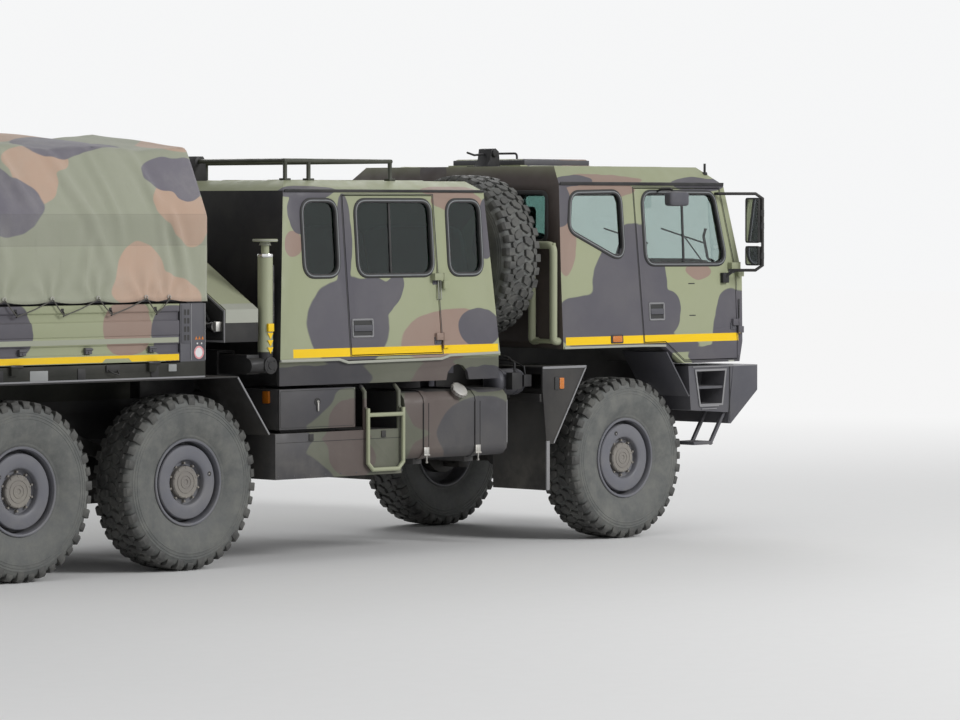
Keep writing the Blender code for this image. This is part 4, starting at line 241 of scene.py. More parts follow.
def in_group(tree, group, place):
    """What a node group gives for a place."""
    node = tree.add("ShaderNodeGroup")
    node.node_tree = group
    tree.put(node.inputs[0], place)
    return node.outputs[0]


def aged(tree, shader, colour, place, grain, dust, rough):
    """Finishes a shader: slight colour drift, dust low down and on tops, uneven gloss and a fine bump."""
    shader.inputs["Specular IOR Level"].default_value = 0.25
    drift = tree.noise(place, 1.7, 5.0)
    fine = tree.noise(place, grain, 3.0)
    shaded = tree.mix(tree.math("MULTIPLY", tree.step(drift, 0.3, 0.75), 0.16), colour,
                      tree.mix(0.55, colour, DUST))
    normal = tree.add("ShaderNodeTexCoord").outputs["Normal"]
    up = tree.step(tree.parts(normal)[2], 0.55, 1.0)
    low = tree.step(tree.parts(place)[2], 1.25, 0.1)
    patchy = tree.step(tree.noise(place, 4.5, 6.0, 0.65), 0.35, 0.75)
    amount = tree.math("MULTIPLY", tree.math("MAXIMUM", tree.math("MULTIPLY", up, 0.6), low), patchy)
    dusted = tree.mix(tree.math("MULTIPLY", amount, dust), shaded, DUST)
    tree.put(shader.inputs["Base Color"], dusted)
    tree.put(shader.inputs["Roughness"], tree.step(tree.noise(place, 9.0, 4.0), 0.3, 0.7, rough[0], rough[1]))
    tree.put(shader.inputs["Normal"], tree.bump(fine, 0.35, 0.0004))
    return dusted


def paint(name, colour, grain=420.0, dust=0.35, rough=(0.45, 0.62)):
    """Plain sprayed paint."""
    material, tree, shader = new_material(name)
    aged(tree, shader, colour, rest_place(tree), grain, dust, rough)
    return material


# Where the walls behind the cabs lie and how far the grab rails reach, along x
CREW_REAR_WALL, CAB_REAR_WALL, RAIL_FEET = (-3.80, -3.20), (-0.83, -0.55), (-0.90, -0.83)
# The yellow line: its reach along x, and its two heights
CREW_LINE = ((-3.62, -1.51), (1.495, 1.558))
CAB_LINE = ((-0.77, 1.22), (1.527, 1.589))


def camouflage(name):
    """Three-colour paint with the yellow line that runs along both cabs, dark rear walls that are partly painted
    shade, and painted shade under the body and on the low skirt.
    """
    material, tree, shader = new_material(name)
    place = rest_place(tree)
    flat = side_place(tree, place, 0.9, 2.3)
    colour = tree.mix(in_group(tree, BODY_BROWN, flat), SAGE, BROWN)
    colour = tree.mix(in_group(tree, BODY_DARK, flat), colour, DARK)
    x, y, z = tree.parts(place)
    normal = tree.parts(tree.add("ShaderNodeTexCoord").outputs["Normal"])
    rear = tree.step(normal[0], -0.6, -0.9)
    # Rear-facing walls: the crew cab's is dark paint with painted shade, the cab's is painted shade
    colour = tree.mix(tree.times(rear, tree.within(x, *CREW_REAR_WALL)), colour, CREW_REAR_BLACK_AND_SHADE)
    colour = tree.mix(tree.times(rear, tree.within(x, *CAB_REAR_WALL)), colour, CAB_REAR_PAINTED_SHADE)
    colour = tree.mix(tree.within(x, *RAIL_FEET), colour, SAGE)
    # Painted shade on the inner faces under the body, below the sills
    under = tree.times(tree.step(tree.math("ABSOLUTE", y), 1.21, 1.17), tree.step(z, 1.53, 1.49))
    colour = tree.mix(under, colour, UNDERSIDE_PAINTED_SHADE)
    # Painted shade on the low faces below the crew cab, where the skirt slopes inwards
    shaded_low = tree.times(tree.step(z, 1.475, 1.450), tree.step(x, -1.20, -1.30), tree.step(x, -4.10, -4.00))
    colour = tree.mix(tree.math("MULTIPLY", shaded_low, 0.74), colour, SKIRT_SHADE)
    dusted = aged(tree, shader, colour, place, 420.0, 0.30, (0.42, 0.60))
    outer = tree.times(tree.step(tree.math("ABSOLUTE", y), 1.19, 1.2),
                       tree.step(tree.math("ABSOLUTE", normal[1]), 0.5, 0.8))
    crew, cab = [tree.times(tree.within(x, *run), tree.within(z, *rise)) for run, rise in (CREW_LINE, CAB_LINE)]
    band = tree.times(outer, tree.math("MAXIMUM", crew, cab), tree.step(tree.noise(place, 30.0, 6.0), 0.1, 0.3))
    tree.put(shader.inputs["Base Color"], tree.mix(band, dusted, YELLOW))
    return material


def split_paint(name, upper, lower, height=None):
    """Two paints on one node: by height, or by whether the face looks up."""
    material, tree, shader = new_material(name)
    place = rest_place(tree)
    if height is None:
        share = tree.step(tree.parts(tree.add("ShaderNodeTexCoord").outputs["Normal"])[2], 0.35, 0.5)
    else:
        share = tree.step(tree.parts(place)[2], height - 0.004, height + 0.004)
    aged(tree, shader, tree.mix(share, lower, upper), place, 300.0, 0.25, (0.4, 0.6))
    return material


def cloth(name, colour):
    """Woven seat cloth with a soft sheen."""
    material, tree, shader = new_material(name)
    place = rest_place(tree)
    worn = tree.step(tree.noise(place, 6.0, 6.0), 0.35, 0.75)
    tree.put(shader.inputs["Base Color"], tree.mix(tree.math("MULTIPLY", worn, 0.35), colour,
                                                   (0.11, 0.11, 0.10, 1)))
    shader.inputs["Roughness"].default_value = 0.9
    shader.inputs["Sheen Weight"].default_value = 0.3
    threads = []
    for bands in ("X", "Z"):
        threads.append(tree.add("ShaderNodeTexWave", {"Vector": place, "Scale": 160.0, "Distortion": 0.8},
                                bands_direction=bands).outputs["Fac"])
    tree.put(shader.inputs["Normal"], tree.bump(tree.math("ADD", *threads), 0.4, 0.0008))
    return material


# The heights of the darker strip sewn along the tarpaulin
TARP_BAND = (2.32, 2.538)


def canvas_material():
    """Worn camouflage canvas with a weave, faded in patches and stained in streaks."""
    material, tree, shader = new_material("tarp_canvas")
    place = rest_place(tree)
    flat = side_place(tree, place, 1.9, 1.5)
    colour = tree.mix(in_group(tree, TARP_BROWN, flat), TARP_GREEN, TARP_TAN)
    colour = tree.mix(in_group(tree, TARP_DARK, flat), colour, TARP_GREY)
    fade = tree.step(tree.noise(place, 2.6, 6.0, 0.7), 0.35, 0.8)
    colour = tree.mix(tree.math("MULTIPLY", fade, 0.22), colour, (0.47, 0.46, 0.40, 1))
    streak = tree.add("ShaderNodeMapping", {"Vector": place, "Scale": (9.0, 9.0, 0.9)}).outputs[0]
    stain = tree.step(tree.noise(streak, 1.6, 5.0, 0.7), 0.55, 0.8)
    colour = tree.mix(tree.math("MULTIPLY", stain, 0.20), colour, (0.12, 0.115, 0.10, 1))
    height = tree.parts(place)[2]
    band = tree.times(tree.within(height, *TARP_BAND, 0.003), 0.16)
    colour = tree.mix(band, colour, (0.10, 0.105, 0.09, 1))
    seam = tree.math("MAXIMUM", *[tree.within(height, edge - 0.002, edge + 0.002, 0.004) for edge in TARP_BAND])
    colour = tree.mix(tree.math("MULTIPLY", seam, 0.25), colour, (0.10, 0.10, 0.08, 1))
    tree.put(shader.inputs["Base Color"], colour)
    shader.inputs["Roughness"].default_value = 0.88
    shader.inputs["Sheen Weight"].default_value = 0.25
    threads = []
    for turn in ((0, 0, 0), (0, math.radians(90), 0)):
        turned_place = tree.add("ShaderNodeMapping", {"Vector": place, "Rotation": turn}).outputs[0]
        threads.append(tree.add("ShaderNodeTexWave", {"Vector": turned_place, "Scale": 130.0,
                                                      "Distortion": 1.2, "Detail": 2.0}).outputs["Fac"])
    weave = tree.math("ADD", tree.math("ADD", threads[0], threads[1]),
                      tree.math("MULTIPLY", tree.noise(place, 30.0, 6.0), 3.0))
    tree.put(shader.inputs["Normal"], tree.bump(weave, 0.35, 0.0012))
    return material


def rubber(name, colour, dusty):
    """Black rubber greyed by road dust."""
    material, tree, shader = new_material(name)
    place = rest_place(tree)
    patchy = tree.step(tree.noise(place, 7.0, 8.0, 0.7), 0.3, 0.75)
    fine = tree.noise(place, 160.0, 4.0)
    tree.put(shader.inputs["Base Color"],
             tree.mix(tree.math("MULTIPLY", patchy, dusty), colour, (0.235, 0.235, 0.215, 1)))
    tree.put(shader.inputs["Roughness"], tree.step(patchy, 0.0, 1.0, 0.62, 0.85))
    tree.put(shader.inputs["Normal"], tree.bump(fine, 0.5, 0.0006))
    return material


def metal(name, colour, rough=(0.25, 0.45), metallic=0.9):
    """Bare or plated metal with fine scratches."""
    material, tree, shader = new_material(name)
    place = rest_place(tree)
    stretched = tree.add("ShaderNodeMapping", {"Vector": place, "Scale": (1.0, 1.0, 14.0)}).outputs[0]
    scratch = tree.noise(stretched, 90.0, 4.0)
    worn = tree.step(tree.noise(place, 14.0, 5.0), 0.35, 0.7)
    tree.put(shader.inputs["Base Color"], tree.mix(tree.math("MULTIPLY", worn, 0.35), colour, DUST))
    tree.put(shader.inputs["Roughness"], tree.step(worn, 0.0, 1.0, rough[0], rough[1]))
    tree.put(shader.inputs["Normal"], tree.bump(scratch, 0.2, 0.0003))
    shader.inputs["Metallic"].default_value = metallic
    return material


def lens(name, colour):
    """A coloured lamp lens with moulded ribs and painted shade in the troughs between them."""
    material, tree, shader = new_material(name)
    place = rest_place(tree)
    ribs = tree.add("ShaderNodeTexWave", {"Vector": place, "Scale": 60.0, "Distortion": 0.2},
                    bands_direction="Z").outputs["Fac"]
    # Painted shade: a darker copy of the lens colour in the ribs' troughs
    groove_shade = tree.mix(0.5, colour, (0, 0, 0, 1), "MULTIPLY")
    tree.put(shader.inputs["Base Color"], tree.mix(tree.step(ribs, 0.2, 0.9), groove_shade, colour))
    tree.put(shader.inputs["Normal"], tree.bump(ribs, 0.6, 0.001))
    shader.inputs["Roughness"].default_value = 0.18
    shader.inputs["Coat Weight"].default_value = 0.4
    return material


def glass(name, tint):
    """Tinted window glass with a light film of dust."""
    material, tree, shader = new_material(name)
    place = rest_place(tree)
    film = tree.step(tree.noise(place, 3.0, 7.0, 0.7), 0.4, 0.85)
    tree.put(shader.inputs["Base Color"], tree.mix(tree.math("MULTIPLY", film, 0.12), tint, (0.5, 0.5, 0.45, 1)))
    shader.inputs["Roughness"].default_value = 0.01
    shader.inputs["Transmission Weight"].default_value = 1.0
    shader.inputs["IOR"].default_value = 1.45
    return material


CAMO = camouflage("camouflage_paint")
BLACK = paint("black_paint", (0.022, 0.022, 0.024, 1), 300.0, 0.25, (0.45, 0.7))
GREY = paint("grey_paint", SLATE, 300.0, 0.30, (0.40, 0.58))
RIM_GREY = paint("rim_paint", (0.140, 0.143, 0.165, 1), 260.0, 0.25, (0.35, 0.5))
HUB_DUST = paint("hub_dust", (0.215, 0.20, 0.185, 1), 180.0, 0.6, (0.6, 0.8))
FENDER_PAINT = paint("fender_paint", (0.024, 0.023, 0.024, 1), 300.0, 0.30, (0.4, 0.6))
OLIVE = paint("olive_paint", OLIVE_GREEN, 300.0, 0.25, (0.4, 0.55))
BOOM_PAINT = split_paint("boom_paint", OLIVE_GREEN, SOOT)
LEG_PAINT = split_paint("leg_paint", OLIVE_GREEN, SOOT, 1.545)
SEAT_CLOTH = cloth("seat_cloth", (0.045, 0.048, 0.045, 1))
LEDGE = paint("ledge_paint", (0.36, 0.37, 0.32, 1), 200.0, 0.2, (0.35, 0.5))
DARK_METAL = metal("dark_metal", (0.10, 0.10, 0.11, 1), (0.15, 0.3), 1.0)
MIRROR = metal("mirror_glass", (0.55, 0.58, 0.60, 1), (0.02, 0.05), 1.0)
STRIPE = paint("yellow_paint", YELLOW, 300.0, 0.15, (0.42, 0.55))
# Pale grey lines along edges; on the tank's end cap it is a painted highlight
EDGE = paint("pale_edge_paint", (0.24, 0.24, 0.25, 1), 200.0, 0.2, (0.35, 0.5))
WHITE = paint("white_paint", (0.72, 0.72, 0.72, 1), 200.0, 0.2, (0.4, 0.5))
PINK = paint("pale_red_paint", (0.72, 0.30, 0.32, 1), 200.0, 0.2, (0.4, 0.5))
PLATE = paint("blank_plate_paint", (0.28, 0.29, 0.29, 1), 200.0, 0.3, (0.35, 0.5))
SIDEWALL = rubber("tyre_sidewall", (0.085, 0.09, 0.088, 1), 0.55)
TREAD = rubber("tyre_tread", (0.038, 0.038, 0.037, 1), 0.42)
SEAL = rubber("window_rubber", (0.018, 0.018, 0.019, 1), 0.12)
STEEL = metal("dusty_steel", (0.45, 0.44, 0.42, 1), (0.35, 0.6))
CHROME = metal("chrome", (0.75, 0.75, 0.76, 1), (0.08, 0.2), 1.0)
PALE_STRIP = paint("grey_trim", (0.21, 0.22, 0.23, 1), 200.0, 0.15, (0.25, 0.4))
AMBER = lens("amber_lens", (0.75, 0.22, 0.015, 1))
RED = lens("red_lens", (0.42, 0.03, 0.02, 1))
CLEAR = lens("clear_lens", (0.75, 0.75, 0.72, 1))
GLASS = glass("window_glass", (0.60, 0.68, 0.66, 1))
DARK_GLASS = glass("dark_window_glass", (0.16, 0.30, 0.27, 1))
CANVAS = canvas_material()
BED_PAINT = split_paint("bed_paint", SLATE, (0.014, 0.015, 0.012, 1), 1.497)
RACK_PAINT = paint("rack_paint", (0.050, 0.054, 0.040, 1), 300.0, 0.30, (0.4, 0.6))
ROPE = rubber("lacing_cord", (0.055, 0.050, 0.042, 1), 0.35)
# A pale olive painted highlight for the drop sides' rib
LIP_HIGHLIGHT = paint("lip_highlight_paint", (0.33, 0.345, 0.27, 1), 200.0, 0.25, (0.35, 0.5))


# Shapes: each function gives points and faces

def box(low, high):
    """A block between two corners."""
    points = [(x, y, z) for x in (low[0], high[0]) for y in (low[1], high[1]) for z in (low[2], high[2])]
    faces = [(0, 1, 3, 2), (4, 6, 7, 5), (0, 4, 5, 1), (2, 3, 7, 6), (0, 2, 6, 4), (1, 5, 7, 3)]
    return points, faces


def prism(outline, axis, start, end):
    """An outline in the two other axes, in the order x, y, z, drawn out along one axis."""
    index = "xyz".index(axis)
    points = []
    for level in (start, end):
        for pair in outline:
            spot = list(pair)
            spot.insert(index, level)
            points.append(tuple(spot))
    count = len(outline)
    faces = [tuple(range(count)), tuple(range(2 * count - 1, count - 1, -1))]
    for i in range(count):
        j = (i + 1) % count
        faces.append((i, i + count, j + count, j))
    return points, faces


def tube_frames(points):
    """Two directions across a path at each of its points, turned as little as possible on the way."""
    points = [Vector(p) for p in points]
    frames = []
    side = None
    for i, point in enumerate(points):
        ahead = (points[min(i + 1, len(points) - 1)] - points[max(i - 1, 0)]).normalized()
        if side is None:
            side = ahead.orthogonal()
        side = (side - ahead * side.dot(ahead)).normalized()
        frames.append((point, side, ahead.cross(side)))
    return frames


def pipe(points, radius, sides=12):
    """A round bar along a path."""
    angles = [2 * math.pi * k / sides for k in range(sides)]
    return skin([[tuple(point + side * radius * math.cos(angle) + other * radius * math.sin(angle))
                  for angle in angles] for point, side, other in tube_frames(points)])


def skin(rings, closed=False):
    """Rings of equal length joined one after another, closed into a loop or with both ends filled."""
    count = len(rings[0])
    points = [point for ring in rings for point in ring]
    faces = []
    total = len(rings)
    for i in range(total if closed else total - 1):
        a, b = i * count, ((i + 1) % total) * count
        for k in range(count):
            m = (k + 1) % count
            faces.append((a + k, b + k, b + m, a + m))
    if not closed:
        faces.append(tuple(range(count)))
        faces.append(tuple(range(total * count - 1, (total - 1) * count - 1, -1)))
    return points, faces


def rounded(points, radius, steps=5, closed=False):
    """A path or outline with its corners rounded."""
    points = [Vector(p) for p in points]
    count = len(points)
    result = []
    for i, corner in enumerate(points):
        if not closed and i in (0, count - 1):
            result.append(corner)
            continue
        before, after = points[i - 1] - corner, points[(i + 1) % count] - corner
        angle = before.angle(after)
        reach = min(radius / math.tan(angle / 2), before.length * 0.48, after.length * 0.48)
        start, end = corner + before.normalized() * reach, corner + after.normalized() * reach
        for step in range(steps + 1):
            share = step / steps
            result.append(start * (1 - share) ** 2 + corner * 2 * share * (1 - share) + end * share ** 2)
    return [tuple(p) for p in result]


def add_face(faces, corners):
    """Adds a face without its repeated corners, where at least three are left."""
    own = tuple(dict.fromkeys(corners))
    if len(own) > 2:
        faces.append(own)


def turned(profile, centre, axis, steps=48):
    """A profile of offset along the axis and radius, turned round the axis. Its ends may lie on the axis."""
    axis = Vector(axis).normalized()
    side = axis.orthogonal().normalized()
    other = axis.cross(side)
    centre = Vector(centre)
    points, rows = [], []
    for offset, radius in profile:
        if radius == 0:
            rows.append([len(points)] * steps)
            points.append(tuple(centre + axis * offset))
            continue
        rows.append(list(range(len(points), len(points) + steps)))
        for k in range(steps):
            angle = 2 * math.pi * k / steps
            points.append(tuple(centre + axis * offset
                                + (side * math.cos(angle) + other * math.sin(angle)) * radius))
    faces = []
    for first, second in zip(rows, rows[1:]):
        for k in range(steps):
            m = (k + 1) % steps
            add_face(faces, (first[k], first[m], second[m], second[k]))
    return points, faces


def disc(centre, axis, radius, depth, steps=24, edge=0.0):
    """A flat round piece with an optional bevel, from its back's centre along the axis."""
    return turned([(0, 0), (0, radius), (depth - edge, radius), (depth, radius - edge), (depth, 0)],
                  centre, axis, steps)


def collar(inner, outer, depth, centre, axis, steps):
    """A flat ring with a square section."""
    return turned([(0, inner), (0, outer), (depth, outer), (depth, inner), (0, inner)], centre, axis, steps)


def drum(radius, depth, centre, axis, steps):
    """A plain round with flat ends, for pins, sleeves and pivots."""
    return turned([(0, 0), (0, radius), (depth, radius), (depth, 0)], centre, axis, steps)


def joined(*shapes):
    """Several shapes as one."""
    points, faces = [], []
    for own_points, own_faces in shapes:
        start = len(points)
        points += own_points
        faces += [tuple(start + i for i in face) for face in own_faces]
    return points, faces


def placed(shape, matrix):
    """A shape moved by a matrix."""
    return [tuple(matrix @ Vector(p)) for p in shape[0]], shape[1]


def mirror(shape):
    """The same shape on the truck's other side."""
    return [(x, -y, z) for x, y, z in shape[0]], [tuple(reversed(face)) for face in shape[1]]


SIDES = (("right", False), ("left", True))
SMOOTH = math.radians(32)


def smooth_by_angle():
    """A geometry group that smooths a mesh but keeps its sharp edges."""
    group = bpy.data.node_groups.new("smooth_by_angle", "GeometryNodeTree")
    group.interface.new_socket("Mesh", in_out="INPUT", socket_type="NodeSocketGeometry")
    group.interface.new_socket("Mesh", in_out="OUTPUT", socket_type="NodeSocketGeometry")
    tree = Tree(group)
    mesh = tree.add("NodeGroupInput").outputs[0]
    plain = tree.add("GeometryNodeRemoveAttribute", {"Geometry": mesh, "Name": "custom_normal"}).outputs[0]
    angle = tree.add("GeometryNodeInputMeshEdgeAngle").outputs[0]
    soft = tree.add("FunctionNodeCompare", {0: angle, 1: SMOOTH}, operation="LESS_THAN").outputs[0]
    faces = tree.add("GeometryNodeSetShadeSmooth", {"Geometry": plain, "Shade Smooth": True}).outputs[0]
    edges = tree.add("GeometryNodeSetShadeSmooth", {"Geometry": faces, "Shade Smooth": soft}, domain="EDGE")
    tree.add("NodeGroupOutput", {0: edges.outputs[0]})
    return group


SMOOTH_GROUP = smooth_by_angle()


def soften(item, width, segments=2, weld=False):
    """Bevels the sharp edges of a piece and smooths what is left."""
    if weld:
        item.modifiers.new("weld", "WELD").merge_threshold = 0.00002
        flat = item.modifiers.new("flat", "DECIMATE")
        flat.decimate_type = "DISSOLVE"
        flat.angle_limit = math.radians(0.6)
    if width:
        bevel = item.modifiers.new("bevel", "BEVEL")
        bevel.width = width
        bevel.segments = segments
        bevel.limit_method = "ANGLE"
        bevel.angle_limit = math.radians(35)
        bevel.use_clamp_overlap = True
        bevel.harden_normals = False
    item.modifiers.new("smooth", "NODES").node_group = SMOOTH_GROUP


def piece(name, shape, material, body="truck", bevel=0.0, segments=2, slot=None):
    """One object from a shape, riding on a body."""
    mesh = bpy.data.meshes.new(name)
    mesh.from_pydata([(x + AXLE_X, y, z) for x, y, z in shape[0]], [], shape[1])
    mesh.update()
    work = bmesh.new()
    work.from_mesh(mesh)
    bmesh.ops.recalc_face_normals(work, faces=work.faces)
    work.to_mesh(mesh)
    work.free()
    item = bpy.data.objects.new(name, mesh)
    scene.collection.objects.link(item)
    mesh.materials.append(material)
    soften(item, bevel, segments)
    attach(item, body)
    return item


def both(name, shape, material, body="truck", **options):
    """The same piece on both sides. A body name with a gap in it takes the side's name there."""
    made = []
    for side, flip in SIDES:
        made.append(piece(f"{name}_{side}", mirror(shape) if flip else shape, material,
                          body.format(side), **options))
    return made


# The cabs' sides lean inwards. Columns: height, rear x, front x, half width
CAB_SECTIONS = ((1.36, -0.80, 1.235, 1.25), (1.52, -0.80, 1.27, 1.25), (2.06, -0.80, 1.29, 1.2241),
                (2.77, -0.79, 1.10, 1.19), (2.91, -0.70, 0.93, 1.05))
CREW_SECTIONS = ((1.47, -3.75, -1.49, 1.25), (2.71, -3.668, -1.612, 1.19), (2.785, -3.55, -1.69, 1.07))
CAB_START, CAB_SIZE = (-0.80, 1.52), (2.09, 1.25)
CREW_START, CREW_SIZE = (-3.75, 1.47), (2.26, 1.24)


def section(sections, z, column):
    """A cab's rear x, front x or half width at a height."""
    if z <= sections[0][0]:
        return sections[0][column]
    for low, high in zip(sections, sections[1:]):
        if z <= high[0]:
            share = (z - low[0]) / (high[0] - low[0])
            return low[column] + (high[column] - low[column]) * share
    return sections[-1][column]


def on_side(sections, x, z, out):
    """A point a little outside a cab's right wall."""
    return x, -section(sections, z, 3) - out, z


def from_shares(shares, start, size):
    """Shares of a rectangle as x and z."""
    return [(start[0] + u * size[0], start[1] + v * size[1]) for u, v in shares]


def moved_out(outline, distance):
    """A closed outline with each point moved square to it, outwards where the distance is positive."""
    count = len(outline)
    area = sum(outline[i][0] * outline[(i + 1) % count][1] - outline[(i + 1) % count][0] * outline[i][1]
               for i in range(count))
    turn = 1 if area > 0 else -1
    result = []
    for i in range(count):
        before, here, after = (Vector(outline[j % count]) for j in (i - 1, i, i + 1))
        first, second = (here - before), (after - here)
        if first.length < 1e-7 or second.length < 1e-7:
            result.append(tuple(here))
            continue
        normals = [Vector((edge.y, -edge.x)).normalized() * turn for edge in (first, second)]
        middle = (normals[0] + normals[1]).normalized()
        result.append(tuple(here + middle * distance / max(middle.dot(normals[0]), 0.5)))
    return result


def frame_round(outline, profile, place):
    """A profile of width and height carried round an outline; place turns flat points into real ones."""
    rings = []
    for width, height in profile:
        rings.append([place(u, v, height) for u, v in moved_out(outline, width)])
    return skin(rings, closed=True)


def pane(outline, thickness, place, depth):
    """A flat pane inside an outline, at a depth behind the surface."""
    rings = [[place(u, v, -depth) for u, v in outline], [place(u, v, -depth - thickness) for u, v in outline]]
    return skin(rings)


# Studio

FLOOR_COLOUR = 0.82
floor_mesh = bpy.data.meshes.new("floor")
floor_mesh.from_pydata([(-90, -90, 0), (90, -90, 0), (90, 90, 0), (-90, 90, 0)], [], [(0, 1, 2, 3)])
floor = bpy.data.objects.new("floor", floor_mesh)
scene.collection.objects.link(floor)


def backdrop_share(tree):
    """1 for rays that should see the plain background: from the camera, gloss and glass."""
    path = tree.add("ShaderNodeLightPath").outputs
    seen = tree.math("MAXIMUM", path["Is Camera Ray"], path["Is Glossy Ray"])
    return tree.math("MAXIMUM", seen, path["Is Transmission Ray"])


def floor_material():
    """Pale ground that fades into the background away from the truck."""
    material, tree, shader = new_material("floor")
    place = tree.add("ShaderNodeTexCoord").outputs["Object"]
    grain = tree.noise(place, 6.0, 8.0, 0.7)
    tree.put(shader.inputs["Base Color"], tree.mix(tree.math("MULTIPLY", grain, 0.12),
                                                   (FLOOR_COLOUR, FLOOR_COLOUR, FLOOR_COLOUR, 1),
                                                   (0.5, 0.5, 0.48, 1)))
    shader.inputs["Roughness"].default_value = 0.9
    away = tree.add("ShaderNodeVectorMath", {0: place}, operation="LENGTH").outputs["Value"]
    glow = tree.add("ShaderNodeEmission", {"Color": (0.92, 0.92, 0.92, 1), "Strength": 1.0}).outputs[0]
    share = tree.times(tree.step(away, 8.0, 24.0), backdrop_share(tree))
    mixed = tree.add("ShaderNodeMixShader", {0: share, 1: shader.outputs[0], 2: glow}).outputs[0]
    tree.put(material.node_tree.nodes["Material Output"].inputs["Surface"], mixed)
    return material


floor_mesh.materials.append(floor_material())

world = bpy.data.worlds.new("studio")
world.use_nodes = True
scene.world = world
sky = Tree(world.node_tree)
background = world.node_tree.nodes["Background"]
background.inputs["Color"].default_value = (0.92, 0.925, 0.93, 1)
sky.put(background.inputs["Strength"], sky.step(backdrop_share(sky), 0.0, 1.0, 0.44, 1.0))


def area_light(name, place, aim, size, power):
    """A round soft light that looks at a point."""
    data = bpy.data.lights.new(name, "AREA")
    data.shape = "DISK"
    data.size = size
    data.energy = power
    item = bpy.data.objects.new(name, data)
    scene.collection.objects.link(item)
    item.location = place
    item.rotation_euler = (Vector(aim) - Vector(place)).to_track_quat("-Z", "Y").to_euler()


area_light("key", (7.0, -20.0, 12.0), (0.0, -1.0, 1.2), 8.0, 2950)
area_light("fill", (14.0, 13.0, 11.0), (0.0, 0.0, 1.0), 10.0, 900)


# CAD nodes that stay

CAD_FINISHES = {"paint_green": CAMO, "paint_dark": GREY, "frame_black": BLACK, "tyre_rubber": TREAD,
                "rim_grey": RIM_GREY, "glass": GLASS, "canvas": CANVAS, "seat_cloth": BLACK}
NODE_FINISHES = {"crane_boom": BOOM_PAINT, "fold_ladder_right": OLIVE, "fold_ladder_left": OLIVE,
                 "stabiliser_right": LEG_PAINT, "stabiliser_left": LEG_PAINT, "load_bed": BED_PAINT,
                 "front_fender_right": FENDER_PAINT, "front_fender_left": FENDER_PAINT,
                 "bed_guard_right": FENDER_PAINT, "bed_guard_left": FENDER_PAINT, "roof_rack": RACK_PAINT}
SOFT_BEVEL = 0.004
NODE_BEVELS = {"cab_shell": 0.003, "crew_cab_shell": 0.003, "windscreen": 0.0, "fuel_tank_right": 0.0015,
               "fuel_tank_left": 0.0015, "roof_rack": 0.0015, "mirror_right": 0.003, "mirror_left": 0.003,
               "fold_ladder_right": 0.0015, "fold_ladder_left": 0.0015}
for node_name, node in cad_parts.items():
    kind = node.material_slots[0].material.name.split(".")[0]
    node.material_slots[0].material = NODE_FINISHES.get(node_name, CAD_FINISHES.get(kind, BLACK))
    soften(node, NODE_BEVELS.get(node_name, SOFT_BEVEL), 2, weld=True)


# Wheels

TYRE_RADIUS = 0.63
TYRE_HALF_WIDTH = 0.1875
PITCHES = 38
# Half of the carcass, from the bead outwards to the middle of the tread. Columns: offset from the middle
# plane, radius
CARCASS = (
    (0.128, 0.302), (0.139, 0.303), (0.1415, 0.316), (0.146, 0.324), (0.1485, 0.330), (0.1485, 0.337),
    (0.152, 0.343), (0.163, 0.372), (0.173, 0.408), (0.1800, 0.445), (0.1838, 0.478), (0.1845, 0.500),
    (0.1868, 0.503), (0.1868, 0.508), (0.1842, 0.511), (0.1836, 0.522), (0.1862, 0.525), (0.1860, 0.529),
    (0.1832, 0.532), (0.1822, 0.541), (0.1848, 0.544), (0.1845, 0.549), (0.1815, 0.552), (0.1770, 0.566),
    (0.1690, 0.584), (0.1540, 0.598), (0.1250, 0.6045), (0.0600, 0.6075), (0.0, 0.6080),
)


def crown(a):
    """The tread's radius at a distance from the middle plane."""
    return TYRE_RADIUS - 0.010 * (a / TYRE_HALF_WIDTH) ** 2


# Tread blocks for one pitch of one half. Columns of each point: offset from the middle plane, turn in pitches
CENTRE_BLOCK = ((0.006, -0.36), (0.030, -0.44), (0.072, -0.24), (0.094, -0.02), (0.090, 0.30), (0.060, 0.42),
                (0.026, 0.22), (0.008, 0.14))
INNER_BLOCK = ((0.084, -0.40), (0.104, -0.52), (0.128, -0.42), (0.124, -0.10), (0.104, 0.06), (0.088, -0.14))
# The shoulder block's section. Columns: offset from the middle plane, radius
SHOULDER_LONG = ((0.112, 0.598), (0.112, 0.6270), (0.168, 0.6225), (0.1845, 0.603), (0.1872, 0.562),
                 (0.1800, 0.545), (0.168, 0.560))
SHOULDER_SHORT = ((0.104, 0.598), (0.104, 0.6275), (0.160, 0.6235), (0.1770, 0.606), (0.1820, 0.585),
                  (0.1780, 0.572), (0.164, 0.575))


def tread_block(outline, pitch, side, number):
    """A raised block whose outline lies on the tread."""
    middle_a = sum(a for a, _ in outline) / len(outline)
    middle_t = sum(t for _, t in outline) / len(outline)
    rings = []
    for share, drop in ((1.06, 0.028), (1.0, 0.003), (0.90, 0.0)):
        ring = []
        for a, t in outline:
            a_here = middle_a + (a - middle_a) * share
            t_here = middle_t + (t - middle_t) * share
            angle = (number + t_here * 0.94) * pitch
            radius = crown(a_here) - drop
            ring.append((side * a_here, radius * math.cos(angle), radius * math.sin(angle)))
        rings.append(ring)
    return skin(rings)


def shoulder_block(section_points, half_turn, pitch, side, centre_turn):
    """A block that wraps over the tyre's shoulder."""
    middle_a = sum(a for a, _ in section_points) / len(section_points)
    middle_r = sum(r for _, r in section_points) / len(section_points)
    rings = []
    for t, share in ((-half_turn, 0.90), (-half_turn * 0.84, 1.0), (half_turn * 0.84, 1.0), (half_turn, 0.90)):
        ring = []
        for a, r in section_points:
            a_here = middle_a + (a - middle_a) * share
            r_here = middle_r + (r - middle_r) * share
            spread = 1.0 - 0.12 * (r_here - 0.56) / 0.07
            angle = (centre_turn + t * spread) * pitch
            ring.append((side * a_here, r_here * math.cos(angle), r_here * math.sin(angle)))
        rings.append(ring)
    return skin(rings)


